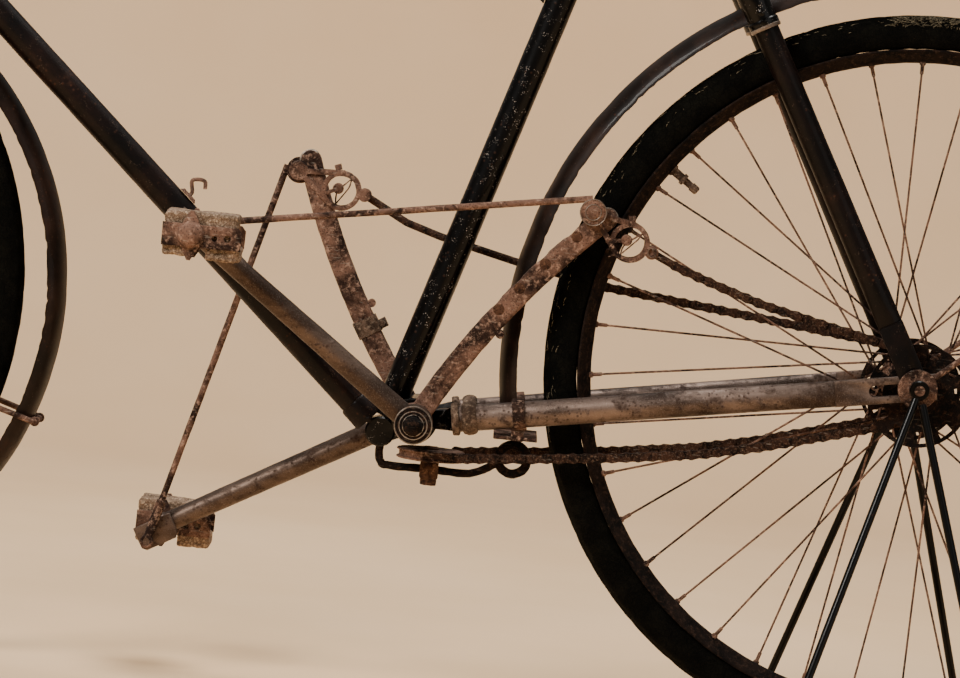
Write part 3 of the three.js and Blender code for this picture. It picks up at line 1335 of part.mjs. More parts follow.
// The steered assembly, drawn with its Z along the steering axis and X square to it
function addSteering() {
  const steering = new THREE.Group();
  steering.position.set(steeringFoot.x, 0, steeringFoot.y);
  steering.rotation.y = rad(90 - HEAD_ANGLE);
  bicycle.add(steering);
  const hub = side(-FORK_RAKE, 0);
  const raceTop = HEAD_BOTTOM - CLEAR;
  const crownTop = HEAD_BOTTOM - FORK_RACE_HEIGHT;
  const steererTop = HEAD_BOTTOM + HEAD_LENGTH + 14;
  const onAxis = (z) => new THREE.Vector3(0, 0, z);

  // Fork: crown, steerer and two blades that curve forward to the axle
  const crown = box(
    -FORK_CROWN_HALF_X,
    FORK_CROWN_HALF_X,
    -FORK_CROWN_HALF_Y,
    FORK_CROWN_HALF_Y,
    FORK_CROWN_BOTTOM,
    crownTop,
  );
  const race = bar(onAxis(crownTop - 1), onAxis(raceTop), FORK_RACE_RADIUS, FINE);
  let fork = join(crown, race, bar(onAxis(raceTop - 1), onAxis(steererTop), STEERER_RADIUS, FINE));
  for (const way of [-1, 1]) {
    const length = FORK_CROWN_BOTTOM + 2;
    const blade = new THREE.CylinderGeometry(
      BLADE_RADIUS_AT_CROWN,
      BLADE_RADIUS_AT_AXLE,
      length,
      SLIM,
      6,
    );
    blade.rotateX(Math.PI / 2);
    blade.translate(0, 0, length / 2);
    const place = blade.attributes.position;
    for (let i = 0; i < place.count; i += 1) {
      const down = 1 - place.getZ(i) / length;
      const outward = BLADE_Y_AT_CROWN + (BLADE_Y_AT_AXLE - BLADE_Y_AT_CROWN) * down;
      place.setX(i, place.getX(i) * 1.25 - FORK_RAKE * down ** 3);
      place.setY(i, place.getY(i) + way * outward);
    }
    const inner = way * (BLADE_Y_AT_AXLE - FORK_END_WIDTH / 2);
    const outer = way * (BLADE_Y_AT_AXLE + FORK_END_WIDTH / 2);
    const end = slab(disc(hub, FORK_END_RADIUS), inner, outer);
    const hole = crossBar(hub, inner - way * 5, outer + way * 5, around(AXLE_RADIUS));
    const trim = way > 0 ? box(-90, 0, outer, 90, -30, 30) : box(-90, 0, -90, outer, -30, 30);
    const clean = way > 0 ? box(-90, 0, 20, inner, -30, 30) : box(-90, 0, inner, -20, -30, 30);
    fork = join(fork, cut(join(cut(solid(blade), trim, clean), end), hole));
  }
  put(steering, "fork", fork, "blackPaint");

  const eyeInnerY = BLADE_Y_AT_AXLE + FORK_END_WIDTH / 2 + CLEAR;
  const nutInner = eyeInnerY + GUARD_STAY_EYE_WIDTH + CLEAR;
  const axleHalf = nutInner + FRONT_NUT_WIDTH + 4;
  let axle = crossBar(hub, -axleHalf, axleHalf, AXLE_RADIUS);
  for (const way of [-1, 1]) {
    const nut = crossBar(hub, way * nutInner, way * (nutInner + FRONT_NUT_WIDTH), AXLE_NUT_RADIUS, 6);
    axle = join(axle, nut);
  }
  put(steering, "front_axle", axle, "rust");

  // The wheel and mudguard stand level on the axle
  const level = new THREE.Group();
  level.position.set(hub.x, 0, hub.y);
  level.rotation.y = -rad(90 - HEAD_ANGLE);
  steering.add(level);
  const origin = side(0, 0);
  const bulge = side(BULGE_AHEAD, 0);
  const top = guardArc(origin, FRONT_GUARD_RADIUS, FRONT_GUARD_KINK - 1, FRONT_GUARD_START);
  const kink = polar(origin, FRONT_GUARD_KINK, FRONT_GUARD_RADIUS);
  const foot = polar(origin, FRONT_GUARD_END, FRONT_GUARD_RADIUS);
  const rear = guardArc(bulge, BULGE_RADIUS, angleOf(bulge, foot), angleOf(bulge, kink) + 1);
  put(level, "front_mudguard", join(top, rear), "greyRust");
  const bulgeAngle = FRONT_GUARD_STAY_ANGLE - 4;
  const bulgeReach = facetReach(BULGE_RADIUS, bulgeAngle) + GUARD_STAY_RADIUS + CLEAR;
  const bulgePoint = polar(bulge, bulgeAngle, bulgeReach);
  const stay = guardStay(origin, bulgePoint.length(), angleOf(origin, bulgePoint), eyeInnerY);
  put(level, "front_mudguard_stay", stay, "rust");
  addWheel(level, "front", {
    count: FRONT_SPOKES,
    phase: 5,
    flangeY: FRONT_FLANGE_Y,
    barrel: FRONT_BARREL_RADIUS,
    half: FRONT_HUB_HALF,
    bore: around(AXLE_RADIUS),
  });

  // Handlebar: a stem down into the steerer and one tube swept back to both grips
  const backward = (y, back, drop = 0) => {
    const lean = rad(90 - HEAD_ANGLE);
    return new THREE.Vector3(
      back * Math.cos(lean) + drop * Math.sin(lean),
      y,
      STEM_TOP + back * Math.sin(lean) - drop * Math.cos(lean),
    );
  };
  const route = (way) => [
    backward(way * BAR_STRAIGHT, 0),
    backward(way * (BAR_HALF - 75), 12, 2),
    backward(way * (BAR_HALF - 20), 62, 6),
    backward(way * BAR_HALF, BAR_SWEEP, 12),
  ];
  const left = route(-1).reverse();
  const path = [...left, backward(0, 0), ...route(1)];
  const handlebar = join(
    bent(path, BAR_RADIUS, 16, 8),
    bar(onAxis(steererTop + CLEAR), onAxis(STEM_TOP), STEM_RADIUS, ROUND),
    bar(onAxis(steererTop + CLEAR), onAxis(steererTop + 14), STEM_COLLAR_RADIUS, 6),
    crossBar(side(0, STEM_TOP), -18, 18, BAR_RADIUS + 4, ROUND),
  );
  const gripStart = 1 - GRIP_LENGTH / (2 * BAR_HALF + BAR_SWEEP);
  put(steering, "handlebar", handlebar, "rust");
  const line = new THREE.CatmullRomCurve3(path, false, "centripetal");
  for (const [name, from, to] of [
    ["left", 0, 1 - gripStart],
    ["right", gripStart, 1],
  ]) {
    const points = Array.from({ length: 5 }, (_, i) => line.getPointAt(from + ((to - from) * i) / 4));
    const sleeve = bent(points, GRIP_RADIUS, 4, 8);
    put(steering, `grip_${name}`, cut(sleeve, handlebarRoom(path)), "grip");
  }
}

function handlebarRoom(path) {
  return bent(path, BAR_RADIUS + 0.8, 16, 8);
}

// Pedals turn about the spindles on the cranks
function addPedals() {
  for (const { name, way, angle } of levers) {
    const centre = arrange(angle).local(CRANK_LENGTH, 0);
    const pedal = new THREE.Group();
    pedal.position.set(centre.x, 0, centre.y);
    bicycle.add(pedal);
    const origin = side(0, 0);
    const inner = way * PEDAL_INNER_Y;
    const outer = way * PEDAL_OUTER_Y;
    const strip = [
      side(PEDAL_PLATE_FRONT, -PEDAL_PLATE_HALF_HEIGHT),
      side(-PEDAL_PEAK_HALF, -PEDAL_PLATE_HALF_HEIGHT),
      side(0, -PEDAL_PEAK),
      side(PEDAL_PEAK_HALF, -PEDAL_PLATE_HALF_HEIGHT),
      side(PEDAL_PLATE_REAR, -PEDAL_PLATE_HALF_HEIGHT),
      side(PEDAL_PLATE_REAR, PEDAL_PLATE_HALF_HEIGHT),
      side(PEDAL_PEAK_HALF, PEDAL_PLATE_HALF_HEIGHT),
      side(0, PEDAL_PEAK),
      side(-PEDAL_PEAK_HALF, PEDAL_PLATE_HALF_HEIGHT),
      side(PEDAL_PLATE_FRONT, PEDAL_PLATE_HALF_HEIGHT),
    ];
    const capBase = at(origin, outer);
    const capTop = at(origin, outer + way * PEDAL_CAP_HEIGHT);
    const padY = [inner + way * 4, outer - way * 4];
    const pad = (x0, x1, z0, z1) => box(x0, x1, Math.min(...padY), Math.max(...padY), z0, z1);
    const low = PEDAL_PLATE_HALF_HEIGHT - 4;
    const solidPedal = join(
      slab(strip, inner, inner + way * PEDAL_PLATE),
      slab(strip, outer - way * PEDAL_PLATE, outer),
      crossBar(origin, inner, outer, PEDAL_TUBE_RADIUS),
      pad(PEDAL_PLATE_FRONT, PEDAL_PLATE_REAR - 4, low, low + PEDAL_PAD_HEIGHT),
      pad(PEDAL_PLATE_FRONT, 0, -low - PEDAL_PAD_HEIGHT + 5, -low),
      pad(14, PEDAL_PLATE_REAR, -low - PEDAL_PAD_HEIGHT + 3, -low),
      pad(PEDAL_PLATE_FRONT + 6, PEDAL_PLATE_REAR - 8, -low - 1, low + 1),
      bar(capBase, capTop, PEDAL_CAP_RADIUS, ROUND, PEDAL_CAP_RADIUS * 0.6),
    );
    const bore = crossBar(origin, inner - way * 5, outer + way * 4.4, around(PEDAL_SPINDLE_RADIUS));
    put(pedal, `pedal_${name}`, cut(solidPedal, bore), "pad");
  }
}

// The display stand: two legs from each end of the rear axle down to a flat frame on the floor
function addStand() {
  const topY = socketInner + STAND_SOCKET_WIDTH / 2;
  const beyondY = rearAxleHalf + STAND_SOCKET_WIDTH;
  const legs = [];
  for (const [sideName, way] of [["left", -1], ["right", 1]]) {
    const sockets = cut(
      crossBar(rearHub, way * socketInner, way * (socketInner + STAND_SOCKET_WIDTH), STAND_SOCKET_RADIUS),
      crossBar(rearHub, way * chainstayInner, way * beyondY, around(AXLE_RADIUS)),
    );
    const axleRoom = crossBar(rearHub, way * chainstayInner, way * beyondY, around(AXLE_RADIUS));
    const socketRoom = crossBar(
      rearHub,
      way * (socketInner - 5),
      way * (socketInner + STAND_SOCKET_WIDTH + 5),
      around(STAND_SOCKET_RADIUS),
    );
    for (const [end, ahead] of [["front", -1], ["rear", 1]]) {
      const foot = new THREE.Vector3(ahead * STAND_FOOT_X, way * STAND_FOOT_Y, 0);
      const leg = bar(at(rearHub, way * topY), foot, STAND_ROD_RADIUS, SLIM);
      const floor = box(-300, 300, -300, 300, -50, STAND_BAR_HEIGHT + CLEAR);
      const front = new THREE.Vector3(-STAND_FOOT_X, way * STAND_FOOT_Y, 0);
      const frontRoom = bar(at(rearHub, way * topY), front, STAND_ROD_RADIUS + 2 * CLEAR, SLIM);
      const shape =
        ahead < 0 ? cut(join(leg, sockets), axleRoom) : cut(leg, socketRoom, frontRoom);
      legs.push([`stand_leg_${end}_${sideName}`, cut(shape, floor)]);
    }
  }
  legs.forEach(([name, leg]) => put(bicycle, name, leg, "standSteel"));
  const outX = STAND_FOOT_X + STAND_BAR_WIDTH / 2;
  const outY = STAND_FOOT_Y + STAND_BAR_WIDTH / 2;
  const plate = box(-outX, outX, -outY, outY, 0, STAND_BAR_HEIGHT);
  const opening = box(
    STAND_BAR_WIDTH - outX,
    outX - STAND_BAR_WIDTH,
    STAND_BAR_WIDTH - outY,
    outY - STAND_BAR_WIDTH,
    -1,
    STAND_BAR_HEIGHT + 1,
  );
  put(bicycle, "stand_base", cut(plate, opening), "standSteel");
}

addFrame();
addRearAxle();
addLevers();
addPulley();
addTubeFittings();
addSaddle();
addSteering();
addPedals();
addStand();

const rearWheel = new THREE.Group();
rearWheel.position.set(rearHub.x, 0, rearHub.y);
bicycle.add(rearWheel);
addWheel(rearWheel, "rear", {
  count: REAR_SPOKES,
  phase: REAR_SPOKE_PHASE,
  flangeY: REAR_FLANGE_Y,
  barrel: REAR_BARREL_RADIUS,
  half: REAR_HUB_HALF,
  bore: around(AXLE_RADIUS),
});
put(
  bicycle,
  "rear_mudguard",
  guardArc(rearHub, REAR_GUARD_RADIUS, REAR_GUARD_START, REAR_GUARD_END),
  "greyRust",
);
put(
  bicycle,
  "rear_mudguard_stay",
  guardStay(
    rearHub,
    facetReach(REAR_GUARD_RADIUS, REAR_GUARD_STAY_ANGLE) + GUARD_STAY_RADIUS + CLEAR,
    REAR_GUARD_STAY_ANGLE,
    eyeInner,
  ),
  "rust",
);

const bounds = new THREE.Box3().setFromObject(bicycle);
bicycle.position.x = -(bounds.min.x + bounds.max.x) / 2;

export default bicycle;
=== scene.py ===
# %% [markdown]
# # A rusty lever-drive safety bicycle
# This lesson dresses a bicycle of the 1890s that has no cranks. Two levers swing on one axle, each
# pulls a chain, and each chain turns a drum on the rear hub. A black rod stand holds the rear axle.
# The construction comes in as a fixed frame of plain solids. Every piece that shows is modelled
# here again, at the same place, with smooth tubes, real links and worn, rusted surfaces.

# %% Load the frame
import math
import random

import bmesh
import bpy
from mathutils import Matrix, Vector, noise


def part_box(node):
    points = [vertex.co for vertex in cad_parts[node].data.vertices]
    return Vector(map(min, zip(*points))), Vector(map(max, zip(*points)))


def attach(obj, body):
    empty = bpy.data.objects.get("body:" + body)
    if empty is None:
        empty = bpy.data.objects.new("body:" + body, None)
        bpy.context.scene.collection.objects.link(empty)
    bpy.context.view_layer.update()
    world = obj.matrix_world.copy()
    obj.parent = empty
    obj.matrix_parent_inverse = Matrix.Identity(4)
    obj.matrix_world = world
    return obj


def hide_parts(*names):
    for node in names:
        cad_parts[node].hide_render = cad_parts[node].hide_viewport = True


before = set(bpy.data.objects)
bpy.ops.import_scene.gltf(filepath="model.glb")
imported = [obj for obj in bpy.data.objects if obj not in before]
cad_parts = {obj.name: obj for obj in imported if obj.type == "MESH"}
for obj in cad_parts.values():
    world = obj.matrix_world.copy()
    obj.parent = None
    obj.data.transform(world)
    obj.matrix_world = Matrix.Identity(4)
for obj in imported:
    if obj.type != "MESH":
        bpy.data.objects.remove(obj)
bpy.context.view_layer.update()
random.seed(7)

# %% [markdown]
# ## Places
# All lengths are metres. X points to the rear, Y to the rider's right and Z up. The side view is
# drawn from the foot of the rear axle, because the photograph was measured from there, so one
# small function turns such a side-view point and a distance to the right into a place.

# %% Side-view points
REAR_HUB_X = sum(corner.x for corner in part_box("rear_tyre")) / 2
REAR_HUB = (0.0, 0.361)
FRONT_HUB = (-1.215, 0.355)
PIVOT = (-0.472944, 0.279)
JUNCTION = (PIVOT[0] - 0.032, PIVOT[1] - 0.0146)
HEAD_ANGLE = 70
SEAT_ANGLE = 73


def at(point, y=0.0):
    return Vector((REAR_HUB_X + point[0], y, point[1]))


def polar(centre, angle, distance):
    turn = math.radians(angle)
    return (centre[0] + distance * math.cos(turn), centre[1] + distance * math.sin(turn))


def angle_of(start, end):
    return math.degrees(math.atan2(end[1] - start[1], end[0] - start[0]))


def toward(start, end, distance):
    return polar(start, angle_of(start, end), distance)


def arc(centre, radius, start, end, steps):
    return [polar(centre, start + (end - start) * i / steps, radius) for i in range(steps + 1)]


STEERING_FOOT = polar(FRONT_HUB, HEAD_ANGLE - 90, 0.045)


def on_steering(distance):
    return polar(STEERING_FOOT, HEAD_ANGLE, distance)


def on_seat_tube(z):
    return (JUNCTION[0] + (z - JUNCTION[1]) / math.tan(math.radians(SEAT_ANGLE)), z)


print("rear hub", at(REAR_HUB), "front hub", at(FRONT_HUB), "lever pivot", at(PIVOT))

# %% [markdown]
# ## Camera, floor and light
# The photograph is a close view of the left side, taken from a little above the axle and turned by
# a few degrees. The camera comes first, so that every piece can be judged from the same place. A
# long lens keeps the near and the far lever nearly the same size, as they are in the picture.

# %% Camera
CAMERA_AIM = at((-0.4181, 0.362))
CAMERA_DISTANCE = 4.4
CAMERA_ELEVATION = math.radians(3.6)
CAMERA_ROLL_UP = Vector((-0.101, 0.0, 0.995))


def add_camera():
    data = bpy.data.cameras.new("camera")
    data.lens = 171
    data.sensor_width = 36
    camera = bpy.data.objects.new("camera", data)
    back = Vector((0, -math.cos(CAMERA_ELEVATION), math.sin(CAMERA_ELEVATION)))
    right = (-back).cross(CAMERA_ROLL_UP).normalized()
    up = right.cross(-back).normalized()
    camera.matrix_world = Matrix.Translation(CAMERA_AIM + back * CAMERA_DISTANCE) @ Matrix(
        (right, up, back)
    ).transposed().to_4x4()
    bpy.context.scene.collection.objects.link(camera)
    bpy.context.scene.camera = camera
    return camera


camera = add_camera()
print("camera at", camera.matrix_world.translation)


# %% Light
def area_light(name, place, aim, size, power, colour):
    data = bpy.data.lights.new(name, "AREA")
    data.size = size
    data.energy = power
    data.color = colour
    light = bpy.data.objects.new(name, data)
    light.location = place
    light.rotation_mode = "QUATERNION"
    light.rotation_quaternion = (Vector(aim) - Vector(place)).to_track_quat("-Z", "Y")
    bpy.context.scene.collection.objects.link(light)


area_light("key", (-1.9, -2.6, 2.9), (0.1, 0, 0.4), 1.3, 150, (1.0, 0.955, 0.9))
area_light("fill", (2.9, -2.7, 1.3), (0.2, 0, 0.4), 2.4, 16, (1.0, 0.95, 0.9))
area_light("top", (0.3, 0.5, 3.2), (0.1, 0, 0.3), 1.6, 95, (1.0, 0.97, 0.93))
world = bpy.data.worlds.new("studio")
world.use_nodes = True
world.node_tree.nodes["Background"].inputs["Color"].default_value = (1.0, 0.95, 0.89, 1)
world.node_tree.nodes["Background"].inputs["Strength"].default_value = 0.24
bpy.context.scene.world = world

# %% [markdown]
# ## Shader maths that reads like maths
# A finish here is a sum of patches, grains and scratches. Built node by node it would be hundreds of
# lines, so one small class wraps a socket and turns Python's operators into Math nodes. Colours go
# through Mix nodes, because a Math node would turn them grey.


# %% The socket class
class Wire:
    def __init__(self, finish, socket):
        self.finish = finish
        self.socket = socket

    def maths(self, operation, *values, clamp=False):
        settings = {"operation": operation, "use_clamp": clamp}
        return self.finish.node("ShaderNodeMath", settings, *values)

    def __add__(self, other):
        return self.maths("ADD", self, other)

    def __radd__(self, other):
        return self.maths("ADD", other, self)

    def __sub__(self, other):
        return self.maths("SUBTRACT", self, other)

    def __rsub__(self, other):
        return self.maths("SUBTRACT", other, self)

    def __mul__(self, other):
        return self.maths("MULTIPLY", self, other)

    def __rmul__(self, other):
        return self.maths("MULTIPLY", other, self)

    def __pow__(self, other):
        return self.maths("POWER", self, other)

    def clamped(self):
        return self.maths("ADD", self, 0.0, clamp=True)

    def step(self, low, high):
        """0 below low and 1 above high, with a smooth change between them."""
        node = self.finish.add("ShaderNodeMapRange", {"interpolation_type": "SMOOTHSTEP"})
        self.finish.feed(node.inputs["Value"], self)
        node.inputs["From Min"].default_value = low
        node.inputs["From Max"].default_value = high
        return Wire(self.finish, node.outputs["Result"])


class Finish:
    """One material: its pattern space is the piece's own coordinates, in metres."""

    def __init__(self, name):
        self.material = bpy.data.materials.new(name)
        self.material.use_nodes = True
        self.tree = self.material.node_tree
        self.shader = self.tree.nodes["Principled BSDF"]
        self.place = Wire(self, self.add("ShaderNodeTexCoord").outputs["Object"])

    def add(self, kind, settings=None):
        node = self.tree.nodes.new(kind)
        for key, value in (settings or {}).items():
            setattr(node, key, value)
        return node

    def feed(self, socket, value):
        if isinstance(value, Wire):
            self.tree.links.new(value.socket, socket)
        else:
            socket.default_value = value

    def node(self, kind, settings, *values, output=0):
        node = self.add(kind, settings)
        for socket, value in zip(node.inputs, values):
            if value is not None:
                self.feed(socket, value)
        return Wire(self, node.outputs[output])

    def stretched(self, x=1.0, y=1.0, z=1.0):
        node = self.add("ShaderNodeMapping")
        self.feed(node.inputs["Vector"], self.place)
        node.inputs["Scale"].default_value = (x, y, z)
        return Wire(self, node.outputs["Vector"])

    def grain(self, scale, detail=4.0, rough=0.6, space=None, twist=0.0):
        node = self.add("ShaderNodeTexNoise")
        self.feed(node.inputs["Vector"], space or self.place)
        node.inputs["Scale"].default_value = scale
        node.inputs["Detail"].default_value = detail
        node.inputs["Roughness"].default_value = rough
        node.inputs["Distortion"].default_value = twist
        return Wire(self, node.outputs["Fac"])

    def cells(self, scale, feature="F1", space=None, chaos=1.0):
        node = self.add("ShaderNodeTexVoronoi", {"feature": feature})
        self.feed(node.inputs["Vector"], space or self.place)
        node.inputs["Scale"].default_value = scale
        node.inputs["Randomness"].default_value = chaos
        return Wire(self, node.outputs["Distance"])

    def mix(self, factor, first, second):
        node = self.add("ShaderNodeMix", {"data_type": "RGBA"})
        for key, value in (("Factor_Float", factor), ("A_Color", first), ("B_Color", second)):
            socket = next(s for s in node.inputs if s.identifier == key)
            self.feed(socket, value)
        return Wire(self, next(s for s in node.outputs if s.identifier == "Result_Color"))

    def bump(self, height, strength, distance):
        node = self.add("ShaderNodeBump")
        self.feed(node.inputs["Height"], height)
        node.inputs["Strength"].default_value = strength
        node.inputs["Distance"].default_value = distance
        return Wire(self, node.outputs["Normal"])

    def done(self, colour, roughness, metallic=0.0, normal=None, coat=0.0, gloss=0.2):
        self.shader.inputs["Specular IOR Level"].default_value = gloss
        self.feed(self.shader.inputs["Base Color"], colour)
        self.feed(self.shader.inputs["Roughness"], roughness)
        self.feed(self.shader.inputs["Metallic"], metallic)
        self.feed(self.shader.inputs["Coat Weight"], coat)
        if normal:
            self.feed(self.shader.inputs["Normal"], normal)
        return self.material


def tint(red, green, blue):
    """A colour as it is picked from a screen, 0 to 255, as the shader wants it."""
    return tuple((c / 255) ** 2.2 for c in (red, green, blue)) + (1.0,)


# %% [markdown]
# ## Rusted iron
# Old rust is not one colour. It is a dark, almost black scale with brown blooms, a little orange
# dust in the hollows, and pits. Three noises at different sizes carry that: blooms of a few
# centimetres, crusts of a few millimetres and a dust finer than a millimetre. The same noises
# raise the surface, so a pale flake also stands proud.


# %% Rust finishes
def rusted(name, dark, middle, light, dust, bloom=28, crust=210, relief=0.9, worn=0.0):
    f = Finish(name)
    blooms = f.grain(bloom, 5, 0.62, twist=0.6)
    crusts = f.grain(crust, 6, 0.68, twist=0.3)
    powder = f.grain(1500, 2, 0.7)
    pits = f.cells(crust * 2.1).step(0.12, 0.45)
    colour = f.mix(blooms.step(0.38, 0.62), dark, middle)
    colour = f.mix((crusts.step(0.5, 0.72) * 0.85), colour, light)
    colour = f.mix((powder.step(0.55, 0.75) * crusts.step(0.4, 0.65) * 0.6), colour, dust)
    colour = f.mix((1 - pits) * 0.55, colour, dark)
    scuffs = f.grain(90, 3, 0.5, f.stretched(1, 1, 6)).step(0.62, 0.72) * worn
    colour = f.mix(scuffs, colour, tint(176, 164, 150))
    height = blooms * 0.5 + crusts * 0.8 + powder * 0.25 + pits * 0.3
    rough = (0.9 + crusts * 0.14 - scuffs * 0.4).clamped()
    metal = (scuffs * 0.7).clamped()
    return f.done(colour, rough, metal, f.bump(height, relief, 0.0011))


RUST_BROWN = rusted(
    "rust_brown", tint(38, 27, 23), tint(118, 89, 75), tint(176, 142, 122), tint(196, 168, 146), worn=0.3
)
RUST_DARK = rusted(
    "rust_dark", tint(10, 7, 6), tint(30, 21, 17), tint(64, 46, 36), tint(104, 78, 60), worn=0.1
)
# Darker rust: real rust on the pulley block, painted shade in the arm hollows.
RUST_AND_SHADE = rusted(
    "rust_and_shade", tint(36, 25, 20), tint(82, 58, 45), tint(128, 94, 72), tint(170, 134, 106), bloom=60
)
RUST_PALE = rusted(
    "rust_pale", tint(58, 46, 38), tint(108, 88, 74), tint(148, 128, 110), tint(184, 168, 148), bloom=70
)
CHAIN_RUST = rusted(
    "chain_rust", tint(24, 17, 14), tint(62, 43, 34), tint(114, 86, 68), tint(176, 154, 132),
    bloom=90, crust=420, relief=1.0, worn=0.35,
)
RIM_RUST = rusted(
    "rim_rust", tint(12, 9, 8), tint(34, 25, 21), tint(66, 50, 41), tint(104, 82, 66), bloom=40
)

# %% [markdown]
# ## Steel that was bright once
# The crank tubes, the chain stays and the handlebar were plated. What is left is a grey-brown skin with
# a soft sheen on top, peppered with small rust spots.


# %% Worn steel, bare wear and painted highlights
def worn_steel(name, skin, shade, rust, sheen, cover=0.5):
    f = Finish(name)
    long_marks = f.grain(34, 5, 0.6, f.stretched(0.35, 1, 1))
    blotches = f.grain(75, 6, 0.66, twist=0.5)
    fine = f.grain(900, 3, 0.7)
    peppered = f.cells(260).step(0.42, 0.16) * f.grain(60, 3, 0.5).step(0.42, 0.6)
    colour = f.mix(long_marks.step(0.36, 0.64), shade, skin)
    colour = f.mix(fine.step(0.5, 0.72) * 0.45, colour, sheen)
    rusting = (blotches.step(0.62 - cover * 0.3, 0.8 - cover * 0.25) + peppered * 0.8).clamped()
    colour = f.mix(rusting * 0.85, colour, rust)
    height = blotches * 0.5 + fine * 0.3 + rusting * 0.5
    rough = (0.36 + rusting * 0.45 + fine * 0.16).clamped()
    metal = (0.75 - rusting * 0.7).clamped()
    return f.done(colour, rough, metal, f.bump(height, 0.55, 0.0006))


CRANK_STEEL = worn_steel(
    "crank_steel", tint(100, 84, 74), tint(66, 54, 47), tint(54, 38, 30), tint(140, 126, 116), cover=0.3
)
STAY_STEEL = worn_steel(
    "stay_steel", tint(128, 110, 100), tint(62, 51, 45), tint(52, 38, 31), tint(156, 142, 132), cover=0.4
)
# Bright steel: bare wear on the socket rims, painted highlights on the lever tips, washers and pins.
WEAR_AND_HIGHLIGHT = worn_steel(
    "wear_and_highlight", tint(160, 148, 136), tint(110, 98, 88), tint(92, 66, 50), tint(208, 200, 190),
    cover=0.25
)

# %% [markdown]
# ## Enamel
# The tubes were stoved black. On the seat tube the enamel still shines, under a peppering of pale
# specks and small rust bursts. On the down tube and the stays it has gone brown and dull. A thin
# coat over a speckled base gives the wet highlight of old enamel without making it look new.


# %% Enamel finishes
def enamel(name, black, brown, speck, speckled=0.5, dull=0.0, rusty=0.3):
    f = Finish(name)
    clouds = f.grain(18, 5, 0.6, twist=0.4)
    mottled = f.grain(160, 6, 0.7)
    specks = f.cells(620).step(0.34, 0.14) * f.grain(130, 4, 0.6).step(0.52, 0.66) * speckled
    bursts = f.cells(170, chaos=1.0).step(0.3, 0.08) * f.grain(36, 4, 0.6).step(0.5, 0.62)
    flaking = (bursts + clouds.step(0.66 - rusty * 0.25, 0.86 - rusty * 0.2) * mottled.step(0.4, 0.6))
    flaking = (flaking * (0.4 + rusty)).clamped()
    colour = f.mix(clouds.step(0.35, 0.7) * 0.6, black, brown)
    colour = f.mix(flaking * 0.8, colour, tint(72, 48, 36))
    colour = f.mix(specks.clamped(), colour, speck)
    height = mottled * 0.35 + flaking * 0.7 + specks * 0.5
    rough = (0.24 + dull * 0.36 + flaking * 0.4 + mottled * 0.12).clamped()
    coat = ((1 - flaking) * (0.2 - dull * 0.24)).clamped()
    return f.done(colour, rough, 0.0, f.bump(height, 0.5, 0.0005), coat, gloss=0.12)


BLACK_ENAMEL = enamel(
    "black_enamel", tint(5, 4, 4), tint(14, 10, 9), tint(190, 180, 170), speckled=0.8, rusty=0.1
)
BROWN_ENAMEL = enamel(
    "brown_enamel", tint(12, 8, 7), tint(38, 25, 21), tint(128, 108, 92), speckled=0.3, dull=0.5,
    rusty=0.4
)
GUARD_ENAMEL = enamel(
    "guard_enamel", tint(22, 16, 13), tint(56, 41, 34), tint(132, 112, 96), speckled=0.2, dull=0.45,
    rusty=0.35
)
STAND_ENAMEL = enamel(
    "stand_enamel", tint(4, 4, 4), tint(9, 8, 8), tint(70, 66, 62), speckled=0.1, dull=0.15, rusty=0.0
)

# %% [markdown]
# ## Rubber, pads and leather
# Rubber that old goes hard. The tyre is black with a green tinge, grey with dust in its cracks,
# and the pads of the pedals have turned into a tan crumb. Cells with dark edges make the
# cracks, and the crumb is two sizes of cell that also stand out in relief.


# %% Perished rubber
def perished_tyre():
    f = Finish("perished_tyre")
    cracks = f.cells(150, "DISTANCE_TO_EDGE").step(0.0, 0.07)
    hair_cracks = f.cells(520, "DISTANCE_TO_EDGE").step(0.0, 0.09)
    dusty = f.grain(42, 5, 0.65, twist=0.5)
    fine = f.grain(700, 3, 0.7)
    colour = f.mix(dusty.step(0.4, 0.68), tint(8, 9, 8), tint(20, 20, 17))
    colour = f.mix(fine.step(0.5, 0.75) * 0.3, colour, tint(44, 42, 36))
    colour = f.mix((1 - cracks) * 0.6, colour, tint(4, 4, 4))
    colour = f.mix((1 - hair_cracks) * dusty * 0.4, colour, tint(46, 43, 37))
    height = cracks * 0.5 + hair_cracks * 0.25 + dusty * 0.5 + fine * 0.2
    return f.done(colour, (0.72 + fine * 0.25).clamped(), 0.0, f.bump(height, 0.8, 0.0009), gloss=0.06)


def crumbling_pad():
    f = Finish("crumbling_pad")
    lumps = f.cells(330)
    crumbs = f.cells(900)
    clouds = f.grain(60, 5, 0.6)
    colour = f.mix(lumps.step(0.1, 0.6), tint(196, 168, 142), tint(126, 102, 84))
    colour = f.mix(clouds.step(0.45, 0.62) * 0.6, colour, tint(70, 54, 42))
    colour = f.mix(crumbs.step(0.5, 0.25) * 0.35, colour, tint(198, 178, 148))
    height = (1 - lumps) * 0.9 + (1 - crumbs) * 0.5 + clouds * 0.4
    return f.done(colour, 0.95, 0.0, f.bump(height, 1.0, 0.0018))


def dry_leather():
    f = Finish("dry_leather")
    pores = f.cells(640, "DISTANCE_TO_EDGE").step(0.0, 0.2)
    creases = f.cells(70, "DISTANCE_TO_EDGE", f.stretched(0.5, 1, 1)).step(0.0, 0.05)
    worn = f.grain(22, 5, 0.6, twist=0.4)
    colour = f.mix(worn.step(0.36, 0.66), tint(52, 34, 24), tint(104, 70, 46))
    colour = f.mix((1 - pores) * 0.45, colour, tint(34, 22, 16))
    colour = f.mix((1 - creases) * 0.6, colour, tint(150, 118, 84))
    height = pores * 0.3 + creases * 0.5 + worn * 0.3
    return f.done(colour, (0.5 + worn * 0.35).clamped(), 0.0, f.bump(height, 0.6, 0.0008))


